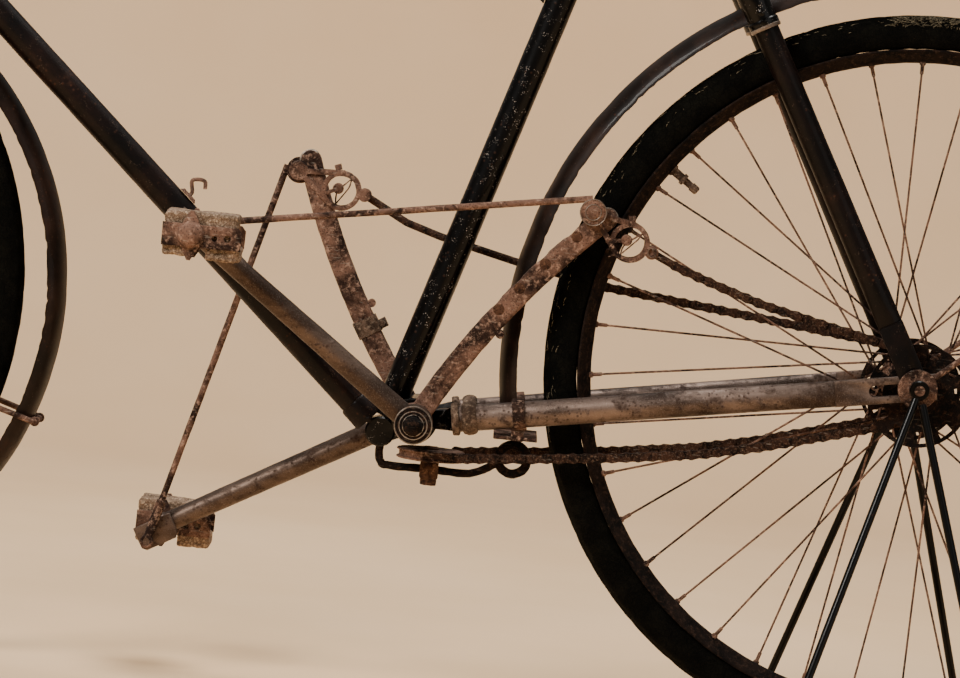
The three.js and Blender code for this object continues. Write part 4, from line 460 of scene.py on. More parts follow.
def turned_grip():
    f = Finish("turned_grip")
    rings = f.grain(900, 3, 0.6, f.stretched(0.25, 1, 1))
    pitting = f.cells(260).step(0.1, 0.4)
    colour = f.mix(rings.step(0.4, 0.65), tint(46, 34, 26), tint(98, 76, 56))
    colour = f.mix((1 - pitting) * 0.6, colour, tint(28, 20, 16))
    return f.done(colour, 0.78, 0.0, f.bump(pitting + rings * 0.4, 0.7, 0.0008))


def dry_fibre():
    f = Finish("dry_fibre")
    strand = f.grain(600, 2, 0.5)
    colour = f.mix(strand.step(0.4, 0.65), tint(70, 64, 52), tint(142, 130, 106))
    return f.done(colour, 0.95, 0.0, f.bump(strand, 0.5, 0.0003))


TYRE_RUBBER = perished_tyre()
PEDAL_PAD = crumbling_pad()
LEATHER = dry_leather()
GRIP = turned_grip()
FIBRE = dry_fibre()


# %% Floor
def pale_floor():
    f = Finish("pale_floor")
    tone = f.grain(1.3, 4, 0.6)
    colour = f.mix(tone.step(0.3, 0.7), tint(236, 198, 154), tint(242, 206, 164))
    material = f.done(colour, 0.85, 0.0)
    bm = bmesh.new()
    edge = [bm.verts.new((-7, y, z)) for y, z in ((-6, 0), (2.2, 0), (2.9, 0.18), (3.2, 0.8),
        (3.2, 1.0))]
    edges = [bm.edges.new(pair) for pair in zip(edge, edge[1:])]
    swept = bmesh.ops.extrude_edge_only(bm, edges=edges)["geom"]
    moved = [v for v in swept if isinstance(v, bmesh.types.BMVert)]
    bmesh.ops.translate(bm, vec=(14, 0, 0), verts=moved)
    mesh = bpy.data.meshes.new("floor")
    bm.to_mesh(mesh)
    bm.free()
    floor = bpy.data.objects.new("floor", mesh)
    bevel = floor.modifiers.new("sweep", "BEVEL")
    bevel.width = 0.6
    bevel.segments = 8
    mesh.materials.append(material)
    for polygon in mesh.polygons:
        polygon.use_smooth = True
    bpy.context.scene.collection.objects.link(floor)


pale_floor()

# %% [markdown]
# ## How every piece is finished
# A piece is drawn in a bmesh, in its place. One helper gives it its name, material and the body
# that it moves with, hides the plain solid that it stands for, and shades it smooth except at
# real edges. A second helper roughens a surface by moving its points a fraction of a millimetre,
# so that a rusted outline isn't a ruler's line even where no texture can help, at the silhouette.


# %% Piece helpers
made = {}


def piece(name, bm, material, body, stands_for=(), sharp=38, smooth_all=False):
    bmesh.ops.remove_doubles(bm, verts=bm.verts, dist=1e-6)
    bmesh.ops.recalc_face_normals(bm, faces=bm.faces)
    mesh = bpy.data.meshes.new(name)
    bm.to_mesh(mesh)
    bm.free()
    mesh.shade_smooth()
    if not smooth_all:
        mesh.set_sharp_from_angle(angle=math.radians(sharp))
    thing = bpy.data.objects.new(name, mesh)
    mesh.materials.append(material)
    bpy.context.scene.collection.objects.link(thing)
    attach(thing, body)
    if stands_for:
        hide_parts(*stands_for)
    made[name] = len(mesh.polygons)
    return thing


def roughen(bm, amount, size, seed=0.0):
    """Moves points along their normals by smooth noise of that amount and size, both in metres."""
    bm.normal_update()
    shift = Vector((seed, seed * 0.7, -seed))
    for v in bm.verts:
        lift = noise.fractal(v.co / size + shift, 0.9, 2.0, 3)
        v.co += v.normal * (lift * amount)


def smooth_path(points, steps):
    """Catmull-Rom points through the given ones, so that a bent bar has no corners."""
    points = [Vector(p) for p in points]
    ends = [2 * points[0] - points[1], *points, 2 * points[-1] - points[-2]]
    path = []
    for a, b, c, d in zip(ends, ends[1:], ends[2:], ends[3:]):
        for i in range(steps):
            t = i / steps
            path.append(
                0.5
                * (
                    2 * b
                    + (c - a) * t
                    + (2 * a - 5 * b + 4 * c - d) * t**2
                    + (3 * b - a - 3 * c + d) * t**3
                )
            )
    return [*path, points[-1]]


def sweep(bm, path, radii, sides=20, flat=1.0, lie=None):
    """A round or oval bar along a path. flat squeezes the section along lie."""
    path = [Vector(p) for p in path]
    radii = list(radii) if hasattr(radii, "__len__") else [radii] * len(path)
    flats = list(flat) if hasattr(flat, "__len__") else [flat] * len(path)
    place = None
    turn = None
    edges = []
    new_verts = []
    for i, point in enumerate(path):
        before = path[max(i - 1, 0)]
        after = path[min(i + 1, len(path) - 1)]
        heading = (after - before).normalized()
        if turn is None:
            turn = heading.to_track_quat("Z", "Y")
            if lie:
                across = heading.cross(Vector(lie)).normalized()
                turn = Matrix((across, heading.cross(across), heading)).transposed().to_quaternion()
        else:
            turn = (turn @ Vector((0, 0, 1))).rotation_difference(heading) @ turn
        size = Matrix.Diagonal((radii[i], radii[i] * flats[i], 1, 1))
        station = Matrix.Translation(point) @ turn.to_matrix().to_4x4() @ size
        if place is None:
            ring = bmesh.ops.create_circle(bm, cap_ends=True, radius=1, segments=sides, matrix=station)
            new_verts = ring["verts"]
            edges = list({e for v in new_verts for e in v.link_edges})
        else:
            grown = bmesh.ops.extrude_edge_only(bm, edges=edges)["geom"]
            new_verts = [g for g in grown if isinstance(g, bmesh.types.BMVert)]
            edges = [g for g in grown if isinstance(g, bmesh.types.BMEdge)]
            bmesh.ops.transform(bm, matrix=station @ place.inverted(), verts=new_verts)
        place = station
    bmesh.ops.contextual_create(bm, geom=edges)


def rod(bm, start, end, radius, sides=20, stations=2):
    """A straight bar, with as many stations along it as its finish needs."""
    start, end = Vector(start), Vector(end)
    sweep(bm, [start.lerp(end, i / (stations - 1)) for i in range(stations)], radius, sides)


def turned(bm, start, end, profile, sides=32):
    """A turned piece on the line from start to end, from pairs of distance along it and radius."""
    start, end = Vector(start), Vector(end)
    heading = (end - start).normalized()
    frame_turn = Matrix.Translation(start) @ heading.to_track_quat("Z", "Y").to_matrix().to_4x4()
    verts = [bm.verts.new(frame_turn @ Vector((radius, 0, along))) for along, radius in profile]
    edges = [bm.edges.new(pair) for pair in zip(verts, verts[1:])]
    bmesh.ops.spin(
        bm, geom=[*verts, *edges], cent=start, axis=heading, angle=math.tau, steps=sides,
        use_merge=True, use_duplicate=False,
    )
    bmesh.ops.remove_doubles(bm, verts=bm.verts, dist=1e-7)


def plate(bm, outline, y0, y1, bevel=0.0004, holes=()):
    """A flat piece drawn in the side view, from one distance to the right to another."""
    loops = []
    for loop in (outline, *holes):
        verts = [bm.verts.new(at(p, y0)) for p in loop]
        loops += [bm.edges.new(pair) for pair in zip(verts, verts[1:] + verts[:1])]
    filled = bmesh.ops.triangle_fill(bm, edges=loops, use_beauty=True, use_dissolve=True)["geom"]
    faces = [g for g in filled if isinstance(g, bmesh.types.BMFace)]
    grown = bmesh.ops.extrude_face_region(bm, geom=faces)["geom"]
    moved = [g for g in grown if isinstance(g, bmesh.types.BMVert)]
    bmesh.ops.translate(bm, vec=(0, y1 - y0, 0), verts=moved)
    bmesh.ops.recalc_face_normals(bm, faces=bm.faces)
    if bevel:
        rims = set(loops)
        rims |= {g for g in grown if isinstance(g, bmesh.types.BMEdge) and g.calc_face_angle(0) > 0.8}
        bmesh.ops.bevel(
            bm, geom=list(rims), offset=bevel, segments=2, profile=0.5, affect="EDGES", material=-1
        )


def strip(points, half):
    """The outline of a strip of even width along side-view points."""
    sides = ([], [])
    for i, p in enumerate(points):
        heading = angle_of(points[max(i - 1, 0)], points[min(i + 1, len(points) - 1)])
        sides[0].append(polar(p, heading + 90, half))
        sides[1].append(polar(p, heading - 90, half))
    return sides[0] + sides[1][::-1]


def disc(centre, radius, steps=32):
    return arc(centre, radius, 0, 360 * (steps - 1) / steps, steps - 1)


def hex_nut(bm, start, end, radius, chamfer=0.0007):
    """A six-sided nut whose corners are rounded on its outer face."""
    turned(bm, start, end, [(0, 0), (0, radius), ((end - start).length - chamfer, radius),
                            ((end - start).length, radius - chamfer), ((end - start).length, 0)], 6)


def block(bm, centre, size, bevel=0.0005):
    """A box with rounded edges."""
    spot = Matrix.Translation(centre) @ Matrix.Diagonal((*size, 1))
    cube = bmesh.ops.create_cube(bm, size=1, matrix=spot)["verts"]
    edges = list({e for v in cube for e in v.link_edges})
    bmesh.ops.bevel(bm, geom=edges, offset=bevel, segments=2, profile=0.5, affect="EDGES", material=-1)


def ring(bm, centre, axis, radius, thickness, sides=28, around=10):
    """A round wire closed into a ring."""
    axis = Vector(axis).normalized()
    out = axis.orthogonal().normalized()
    station = Matrix.Translation(Vector(centre) + out * radius)
    turn = Matrix((out, axis, axis.cross(out) * -1)).transposed().to_4x4()
    loop = bmesh.ops.create_circle(bm, cap_ends=False, radius=thickness, segments=around,
                                   matrix=station @ turn)
    verts = loop["verts"]
    edges = list({e for v in verts for e in v.link_edges})
    bmesh.ops.spin(
        bm, geom=[*verts, *edges], cent=centre, axis=axis, angle=math.tau, steps=sides,
        use_merge=True, use_duplicate=False,
    )


print("helpers ready")

# %% [markdown]
# ## Tyres
# A 28-inch tyre is a ring, so its section is drawn once and spun about the axle. The section here
# has a low centre rib and two shoulders. Short sideways cuts in the shoulders are made by lowering
# every third row of points, and the whole is roughened, because this rubber is swollen and cracked.

# %% Tyre sections
WHEEL_AXIS = (0, 1, 0)
TYRE_RADIUS = 0.355
TYRE_HALF = 0.019
TYRE_STEPS = 288


def tyre_section(centre):
    """Side-to-side points of the tyre, from one bead over the tread to the other bead."""
    middle = TYRE_RADIUS - TYRE_HALF
    points = []
    for i in range(33):
        turn = math.radians(-138 + 276 * i / 32)
        rib = 0.0007 * math.cos(8 * turn) if abs(turn) < 1.0 else 0.0
        reach = TYRE_HALF - 0.0009 + rib
        points.append(at((centre[0] + middle + reach * math.cos(turn), centre[1]),
                         reach * math.sin(turn)))
    return points


def add_tyre(name, centre, body, seed):
    bm = bmesh.new()
    verts = [bm.verts.new(p) for p in tyre_section(centre)]
    edges = [bm.edges.new(pair) for pair in zip(verts, verts[1:] + verts[:1])]
    hub = at(centre)
    bmesh.ops.spin(
        bm, geom=[*verts, *edges], cent=hub, axis=WHEEL_AXIS, angle=math.tau, steps=TYRE_STEPS,
        use_merge=True, use_duplicate=False,
    )
    bmesh.ops.recalc_face_normals(bm, faces=bm.faces)
    for v in bm.verts:
        out = v.co - hub
        row = round(math.degrees(math.atan2(out.z, out.x)) * TYRE_STEPS / 360)
        reach = math.hypot(out.x, out.z)
        if row % 3 == 0 and 0.009 < abs(out.y) < 0.0165 and reach > TYRE_RADIUS - 0.014:
            v.co -= out.normalized() * 0.0011
    roughen(bm, 0.0008, 0.011, seed)
    for v in bm.verts:
        out = v.co - hub
        reach = math.hypot(out.x, out.z)
        if reach > TYRE_RADIUS - 0.0002:
            v.co -= Vector((out.x, 0, out.z)).normalized() * (reach - TYRE_RADIUS + 0.0002)
    return piece(name, bm, TYRE_RUBBER, body, [name], sharp=60)


add_tyre("rear_tyre", REAR_HUB, "rear_wheel", 3.0)
add_tyre("front_tyre", FRONT_HUB, "front_wheel", 8.0)
print("tyre faces", made["rear_tyre"])

# %% [markdown]
# ## Frayed canvas
# On top of the rear tyre the rubber has broken away and the canvas shows as a mat of torn threads.
# Threads are too fine for a texture at the outline, so a few hundred short bent hairs are set on
# the tread there, each a three-sided sweep, with seeded random places so that every run is alike.


# %% Torn fibres
def add_fibres(name, centre, body, first, last, count, material, reach=0.009):
    bm = bmesh.new()
    for _ in range(count):
        angle = random.uniform(first, last)
        side_turn = random.uniform(-1.2, 1.2)
        middle = TYRE_RADIUS - TYRE_HALF
        root = middle + (TYRE_HALF - 0.0015) * math.cos(side_turn)
        y = (TYRE_HALF - 0.0015) * math.sin(side_turn)
        lean = random.uniform(-1.6, 1.6)
        length = random.uniform(0.3, 1.0) * reach
        top = min(root + length * 0.35, TYRE_RADIUS - 0.0006)
        points = [
            at(polar(centre, angle, root), y),
            at(polar(centre, angle + lean * 0.4, (root + top) / 2 + 0.0004), y * 1.05),
            at(polar(centre, angle + lean, top), y + random.uniform(-0.002, 0.002)),
        ]
        sweep(bm, points, [0.0004, 0.00035, 0.00015], sides=3)
    return piece(name, bm, material, body, smooth_all=True)


add_fibres("rear_tyre_fibres", REAR_HUB, "rear_wheel", 84, 99, 620, FIBRE)
add_fibres("rear_tyre_dust_hairs", REAR_HUB, "rear_wheel", 100, 196, 260, FIBRE, 0.005)

# %% [markdown]
# ## Rims and hubs
# The rims are rolled hollow steel: a shallow trough for the tyre, two rolled lips and a rounded back
# where the nipples sit. The section is spun like the tyre. The hub is turned: a barrel that swells a
# little and two dished flanges.

# %% Rim section
RIM_SECTION = [
    (0.3222, 0.0166), (0.3208, 0.0172), (0.3188, 0.0158), (0.3168, 0.0128), (0.3146, 0.0098),
    (0.3128, 0.0076), (0.3106, 0.0056), (0.3094, 0.0030), (0.3090, 0.0),
]
RIM_TROUGH = [(0.3222, 0.0150), (0.3176, 0.0112), (0.3140, 0.0070), (0.3128, 0.0030), (0.3126, 0.0)]


def add_rim(name, centre, body):
    back = RIM_SECTION + [(r, -y) for r, y in RIM_SECTION[-2::-1]]
    trough = [(r, -y) for r, y in RIM_TROUGH] + [(r, y) for r, y in RIM_TROUGH[-2::-1]]
    bm = bmesh.new()
    verts = [bm.verts.new(at((centre[0] + r, centre[1]), y * 0.94)) for r, y in back + trough]
    edges = [bm.edges.new(pair) for pair in zip(verts, verts[1:] + verts[:1])]
    bmesh.ops.spin(
        bm, geom=[*verts, *edges], cent=at(centre), axis=WHEEL_AXIS, angle=math.tau, steps=200,
        use_merge=True, use_duplicate=False,
    )
    bmesh.ops.recalc_face_normals(bm, faces=bm.faces)
    roughen(bm, 0.00035, 0.006)
    return piece(name, bm, RIM_RUST, body, [name], sharp=50)


add_rim("rear_rim", REAR_HUB, "rear_wheel")
add_rim("front_rim", FRONT_HUB, "front_wheel")

# %% [markdown]
# ## Spokes
# Each spoke leaves its flange almost in a tangent and screws into a nipple at the rim, which keeps
# the hub from winding up when the chain pulls. The four neighbouring spokes pull by turns forward
# and backward on the left and the right flange, so a pattern of four repeats round the wheel.

# %% Hub and spokes
SPOKE_TIP = 0.3085
SPOKE_TANGENT = 0.0245


def add_hub(name, centre, body, count, phase, flange_y, barrel, half):
    bm = bmesh.new()
    for way in (-1, 1):
        profile = [
            (0, 0.0058), (0, barrel), (flange_y * 0.55, barrel * 0.86),
            (flange_y - 0.003, barrel * 1.05),
            (flange_y - 0.0004, 0.0262), (flange_y + 0.0004, 0.0275), (flange_y + 0.0028, 0.0275),
            (flange_y + 0.0034, 0.0262), (flange_y + 0.0022, 0.0205), (flange_y + 0.0026, barrel * 1.02),
            (half - 0.0012, barrel), (half, barrel - 0.001), (half, 0.0062), (0, 0.0058),
        ]
        turned(bm, at(centre), at(centre, way), profile, 40)
    bmesh.ops.remove_doubles(bm, verts=bm.verts, dist=1e-6)
    lean = math.degrees(math.acos(SPOKE_TANGENT / SPOKE_TIP))
    pulls = (-1, 1, 1, -1)
    for i in range(count):
        flange = 1 if i % 2 else -1
        rim_angle = phase + 360 * i / count
        root = polar(centre, rim_angle + pulls[i % 4] * lean, SPOKE_TANGENT)
        end = polar(centre, rim_angle, SPOKE_TIP)
        across = pulls[i % 4] * 0.0012
        head = at(root, flange * (flange_y + 0.0017 - across))
        elbow = at(root, flange * (flange_y + 0.0017 + across))
        tip = at(end, flange * 0.0035)
        first = elbow.lerp(tip, 0.02)
        sweep(bm, [head, elbow, first, elbow.lerp(tip, 0.5), tip], 0.00105, sides=7)
        turned(bm, tip, tip + (elbow - tip).normalized(),
               [(-0.0022, 0), (-0.0022, 0.003), (0.0008, 0.0031),
               (0.0018, 0.0019), (0.0098, 0.0018), (0.0104, 0.0011)], 8)
    return piece(name, bm, RUST_BROWN, body, [name])


add_hub("rear_hub", REAR_HUB, "rear_wheel", 40, 4.1, 0.025, 0.0142, 0.0309)
add_hub("front_hub", FRONT_HUB, "front_wheel", 32, 4.1, 0.027, 0.0112, 0.0419)


# %% Tyre valve
def add_valve(name, centre, body, angle):
    bm = bmesh.new()
    profile = [
        (0, 0), (0, 0.0058), (0.0016, 0.0062), (0.003, 0.0044), (0.012, 0.0042), (0.0124, 0.0058),
        (0.0158, 0.0058),
        (0.0162, 0.0036), (0.024, 0.0034), (0.0244, 0.0044), (0.0305, 0.0042), (0.032, 0.003),
        (0.032, 0),
    ]
    turned(bm, at(polar(centre, angle, 0.3095)), at(polar(centre, angle, 0.2)), profile, 14)
    return piece(name, bm, RUST_PALE, body)


add_valve("rear_valve", REAR_HUB, "rear_wheel", 143.9)
add_valve("front_valve", FRONT_HUB, "front_wheel", 70)
print("hub faces", made["rear_hub"])

# %% [markdown]
# ## Mudguards
# A mudguard is thin sheet rolled into a channel and bent round the wheel. The section is an open
# line here, spun only through the guard's own arc, and given its thickness afterwards, which is how
# the real one was made too. The edges are then eaten away with noise, strongest at the rolled rim.

# %% Guard sections
GUARD_SECTION = [
    (-0.0168, 0.0266), (-0.0150, 0.0262), (-0.0118, 0.0246), (-0.0084, 0.0220), (-0.0055, 0.0184),
    (-0.0034, 0.0142), (-0.0018, 0.0096), (-0.0008, 0.0048), (-0.0002, 0.0014), (0.0, 0.0),
]
GUARD_SHEET = 0.0011
GUARD_HALF = 0.0272


def guard_strip(bm, centre, radius, first, last, steps):
    """A channel of sheet along an arc."""
    section = GUARD_SECTION + [(r, -y) for r, y in GUARD_SECTION[-2::-1]]
    reach = [(radius - 0.0006 + r, y) for r, y in section]
    verts = [bm.verts.new(at(polar(centre, first, r), y)) for r, y in reach]
    edges = [bm.edges.new(pair) for pair in zip(verts, verts[1:])]
    bmesh.ops.spin(
        bm, geom=[*verts, *edges], cent=at(centre), axis=(0, -1, 0), angle=math.radians(last - first),
        steps=steps, use_merge=False, use_duplicate=False,
    )


def finish_guard(name, bm, body, centre_of):
    bmesh.ops.remove_doubles(bm, verts=bm.verts, dist=2e-4)
    bmesh.ops.recalc_face_normals(bm, faces=bm.faces)
    for v in bm.verts:
        centre = centre_of(v.co)
        out = Vector((v.co.x - centre.x, 0, v.co.z - centre.z))
        dent = noise.fractal(v.co / 0.05, 0.9, 2.0, 3) * 0.0009
        edge = max(0.0, abs(v.co.y) - 0.0225) / 0.004
        eaten = max(0.0, noise.fractal(v.co / 0.009, 0.9, 2.0, 3)) * 0.0018 * edge
        v.co += out.normalized() * (min(dent, 0.0) + eaten)
        v.co.y -= math.copysign(eaten * 0.6, v.co.y)
    bmesh.ops.solidify(bm, geom=list(bm.faces), thickness=GUARD_SHEET)
    return piece(name, bm, GUARD_ENAMEL, body, [name], sharp=55)


REAR_GUARD_RADIUS = 0.398


def add_rear_mudguard():
    bm = bmesh.new()
    guard_strip(bm, REAR_HUB, REAR_GUARD_RADIUS, 25, 188.7, 230)
    return finish_guard("rear_mudguard", bm, "frame", lambda place: at(REAR_HUB))


# %% [markdown]
# The front guard has been knocked out of round: over the tyre it follows the wheel, and behind it
# the sheet bulges away. Two arcs share one row of points at the kink, so it stays a single sheet.

# %% Front mudguard
FRONT_GUARD_RADIUS = 0.380
FRONT_GUARD_KINK = 35.4
BULGE_CENTRE = (FRONT_HUB[0] + 0.0756, FRONT_HUB[1])
BULGE_RADIUS = 0.3211


def front_guard_centre(place):
    side_place = (place.x - REAR_HUB_X, place.z)
    if angle_of(FRONT_HUB, side_place) > FRONT_GUARD_KINK:
        return at(FRONT_HUB)
    return at(BULGE_CENTRE)


def add_front_mudguard():
    kink = polar(FRONT_HUB, FRONT_GUARD_KINK, FRONT_GUARD_RADIUS)
    foot = polar(FRONT_HUB, -25.6, FRONT_GUARD_RADIUS)
    bm = bmesh.new()
    guard_strip(bm, FRONT_HUB, FRONT_GUARD_RADIUS, FRONT_GUARD_KINK, 150, 150)
    ends = angle_of(BULGE_CENTRE, foot), angle_of(BULGE_CENTRE, kink)
    guard_strip(bm, BULGE_CENTRE, BULGE_RADIUS, *ends, 100)
    bmesh.ops.remove_doubles(bm, verts=bm.verts, dist=1.2e-3)
    return finish_guard("front_mudguard", bm, "steering", front_guard_centre)


add_rear_mudguard()
add_front_mudguard()
print("guard faces", made["rear_mudguard"], made["front_mudguard"])

# %% [markdown]
# ## Mudguard stays
# A stay is one wire from the axle's end over the guard and down again. Its ends are hammered flat and
# pierced for the axle, and small bolts with clips hold it to the sheet.


# %% Stays and their eyes
def eye_ring(bm, centre, y0, y1, outer, inner, steps=28):
    plate(bm, disc(centre, outer, steps), y0, y1, 0.0005, [disc(centre, inner, steps)])


def add_guard_stay(name, centre, bridge, eye_y, body):
    bm = bmesh.new()
    angle = angle_of(centre, bridge)
    for way in (-1, 1):
        y0, y1 = sorted((way * eye_y, way * (eye_y + 0.0025)))
        eye_ring(bm, centre, y0, y1, 0.0099, 0.0054)
        start = at(polar(centre, angle, 0.0085), way * (eye_y + 0.00125))
        neck = at(polar(centre, angle, 0.030), way * (eye_y + 0.00125))
        top = at(bridge, way * (GUARD_HALF + 0.0035))
        route = [start, start.lerp(neck, 0.6), neck, neck.lerp(top, 0.5), top]
        sweep(bm, smooth_path(route, 4), [0.0029] * 17, 12,
              [0.42, 0.42, 0.42, 0.42, 0.45, 0.55, 0.75, 0.95] + [1.0] * 9, (0, 1, 0))
        tab = at(bridge, way * GUARD_HALF * 0.86)
        turned(bm, tab + Vector((0, way * 0.0022, 0)), tab + Vector((0, -way * 0.003, 0)),
               [(0, 0), (0, 0.0044), (0.0016, 0.0048), (0.0032, 0.004), (0.0034, 0.0)], 12)
    left, right = at(bridge, -GUARD_HALF - 0.0035), at(bridge, GUARD_HALF + 0.0035)
    sweep(bm, [left.lerp(right, i / 8) for i in range(9)], 0.0029, 12)
    roughen(bm, 0.00025, 0.006)
    return piece(name, bm, RUST_BROWN, body, [name])


FRONT_EYE_Y = 0.0538
REAR_EYE_Y = 0.0696
rear_bridge = polar(REAR_HUB, 39.4, REAR_GUARD_RADIUS + 0.0028)
bulge_reach = BULGE_RADIUS + 0.0028
front_bridge = polar(BULGE_CENTRE, -20.6, bulge_reach)
add_guard_stay("rear_mudguard_stay", REAR_HUB, rear_bridge, REAR_EYE_Y, "frame")
add_guard_stay("front_mudguard_stay", FRONT_HUB, front_bridge, FRONT_EYE_Y, "steering")

# %% [markdown]
# ## Frame tubes
# The frame is brazed from plain round tubes, socketed into lugs. In CAD the tubes have flats.
# Here each is a smooth sweep with a station every few centimetres, so that a slight dent or a blister
# of rust can lift its outline. Lugs are turned pieces with a thinned edge, as filed lugs have.

# %% Tubes
TUBE_RADIUS = 0.0143
HEAD_BOTTOM = 0.402
HEAD_LENGTH = 0.188
BLISTER = 0.0002


def tube_piece(name, start, end, radius, material, extra=None):
    bm = bmesh.new()
    stations = max(2, round((Vector(end) - Vector(start)).length / 0.012))
    rod(bm, start, end, radius - BLISTER, sides=32, stations=stations)
    roughen(bm, BLISTER, 0.012, radius * 1000)
    if extra:
        extra(bm)
    return piece(name, bm, material, "frame", [name])


down_top = on_steering(HEAD_BOTTOM + 0.019)
seat_top = on_seat_tube(0.925)


def down_tube_socket(bm):
    turned(bm, at(toward(JUNCTION, down_top, 0.016)), at(down_top),
           [(0, 0.0144), (0, 0.0162), (0.020, 0.0160), (0.0218, 0.0150), (0.022, 0.0142)], 32)
    screw = at(toward(JUNCTION, down_top, 0.016), -0.0141)
    turned(bm, screw, screw + Vector((0, -1, 0)), [(0, 0.0036), (0.0012, 0.0036), (0.0022, 0.0024),
        (0.0026, 0)], 14)


def seat_tube_lug(bm):
    turned(bm, at(on_seat_tube(0.844)), at(seat_top),
           [(0, 0.0143), (0.001, 0.0156), (0.006, 0.0168), (0.07, 0.0168), (0.0765, 0.0166),
            (0.084, 0.0158),
            (0.0846, 0.0112), (0.06, 0.0110)], 32)
    ear = at(on_seat_tube(0.906))
    for lift in (0, 0.011):
        turned(bm, ear + Vector((0.0155 + lift * 0.3, -0.011, lift * 0.4)),
               ear + Vector((0.0155 + lift * 0.3, 0.011, lift * 0.4)),
               [(0, 0), (0, 0.0045), (0.0012, 0.005), (0.0208, 0.005), (0.022, 0.0045), (0.022, 0)], 16)


tube_piece("down_tube", at(toward(JUNCTION, down_top, 0.0152)), at(toward(down_top, JUNCTION, 0.0175)),
           TUBE_RADIUS, BROWN_ENAMEL, down_tube_socket)
tube_piece("seat_tube", at(toward(JUNCTION, seat_top, 0.0152)), at(on_seat_tube(0.921)),
           TUBE_RADIUS, BLACK_ENAMEL, seat_tube_lug)
head_cross = on_steering((0.868 - STEERING_FOOT[1]) / math.sin(math.radians(HEAD_ANGLE)))
tube_piece("top_tube", at(toward(head_cross, (0, 0.868), 0.0182)),
           at((on_seat_tube(0.868)[0] - 0.0182, 0.868)),
           0.0127, BLACK_ENAMEL)


# %% Head tube
def add_head_tube():
    bm = bmesh.new()
    low, high = at(on_steering(HEAD_BOTTOM)), at(on_steering(HEAD_BOTTOM + HEAD_LENGTH))
    long = HEAD_LENGTH
    profile = [
        (0, 0.0124), (0, 0.0200), (0.0015, 0.0209), (0.0085, 0.0209), (0.0098, 0.0190), (0.0122, 0.0178),
        (0.0150, 0.0170), (0.034, 0.0169), (0.036, 0.0163), (long / 2, 0.0162), (long - 0.036, 0.0163),
        (long - 0.034, 0.0169), (long - 0.0150, 0.0170), (long - 0.0122, 0.0178),
        (long - 0.0098, 0.0190),
        (long - 0.0085, 0.0209), (long - 0.0015, 0.0209), (long, 0.0200), (long, 0.0124), (0, 0.0124),
    ]
    turned(bm, low, high, profile, 48)
    roughen(bm, 0.00015, 0.01)
    for end, reach in ((down_top, 0.0320), ((on_seat_tube(0.868)[0], 0.868), 0.0300)):
        root = down_top if end is down_top else head_cross
        goal = JUNCTION if end is down_top else end
        socket = toward(root, goal, 0.0165)
        radius = 0.0160 if end is down_top else 0.0144
        turned(bm, at(socket), at(toward(root, goal, 0.1)),
               [(-0.004, radius - 0.0022), (0, radius), (reach - 0.002, radius - 0.0002),
                (reach, radius - 0.0015)], 32)
    return piece("head_tube", bm, BLACK_ENAMEL, "frame", ["head_tube"])


add_head_tube()

# %% [markdown]
# ## The bracket that the levers swing on
# It is a cross tube with a knuckle ahead of it where the two main tubes meet, and two horns that
# run back into the chain stays. Behind the far horn's root sits a ball-shaped swelling and a
# pressed collar, which the photograph shows just behind the near lever.


# %% Lever bracket
def on_chainstay(distance, way):
    y = 0.039 + (0.058 - 0.039) * distance / 0.480
    return at(toward(PIVOT, REAR_HUB, distance), way * y)


def add_bracket():
    bm = bmesh.new()
    turned(bm, at(PIVOT, -0.0288), at(PIVOT, 0.0288),
           [(0, 0.0085), (0, 0.0205), (0.0012, 0.0219), (0.0564, 0.0219), (0.0576, 0.0205),
            (0.0576, 0.0085)], 40)
    turned(bm, at(JUNCTION, -0.0149), at(JUNCTION, 0.0149),
           [(0, 0), (0, 0.0130), (0.0016, 0.0146), (0.0282, 0.0146), (0.0298, 0.0130), (0.0298, 0)], 32)
    plate(bm, strip([JUNCTION, PIVOT], 0.0123), -0.0118, 0.0118, 0.002)
    for way in (-1, 1):
        root = at(toward(PIVOT, REAR_HUB, 0.014), way * 0.018)
        end = on_chainstay(0.0358, way)
        path = smooth_path([root, root.lerp(end, 0.55), end], 4)
        sweep(bm, path, [0.0092 + 0.0018 * i / 8 for i in range(9)], 24)
    roughen(bm, 0.0003, 0.012)
    return piece("pivot_bracket", bm, BLACK_ENAMEL, "frame", ["pivot_bracket"])


add_bracket()


# %% Chain stays
def add_chainstay(name, way):
    bm = bmesh.new()
    path = [on_chainstay(d, way) for d in (0.0364, 0.10, 0.18, 0.26, 0.33, 0.370, 0.386, 0.400, 0.412)]
    round_part = [0.0126] * 6 + [0.0125, 0.0125, 0.0124]
    sweep(bm, path, round_part, 32, [1.0] * 6 + [0.80, 0.52, 0.33], (0, 1, 0))
    inner, outer = sorted((way * 0.054, way * 0.062))
    bar_line = [toward(REAR_HUB, PIVOT, 0.078), toward(REAR_HUB, PIVOT, -0.019)]
    slot = [toward(REAR_HUB, PIVOT, 0.040), toward(REAR_HUB, PIVOT, -0.007)]
    slot_outline = (
        arc(slot[0], 0.0053, angle_of(PIVOT, REAR_HUB) + 90, angle_of(PIVOT, REAR_HUB) + 270, 8)
        + arc(slot[1], 0.0053, angle_of(PIVOT, REAR_HUB) - 90, angle_of(PIVOT, REAR_HUB) + 90, 8)
    )
    nose = arc(bar_line[1], 0.0125, angle_of(PIVOT, REAR_HUB) - 90, angle_of(PIVOT, REAR_HUB) + 90, 1)
    tail = arc(bar_line[0], 0.0125, angle_of(PIVOT, REAR_HUB) + 90, angle_of(PIVOT, REAR_HUB) + 270, 1)
    plate(bm, nose + tail, inner, outer, 0.0012, [slot_outline])
    roughen(bm, 0.00022, 0.009, way)
    return piece(name, bm, STAY_STEEL, "frame", [name])


add_chainstay("chainstay_left", -1)
add_chainstay("chainstay_right", 1)


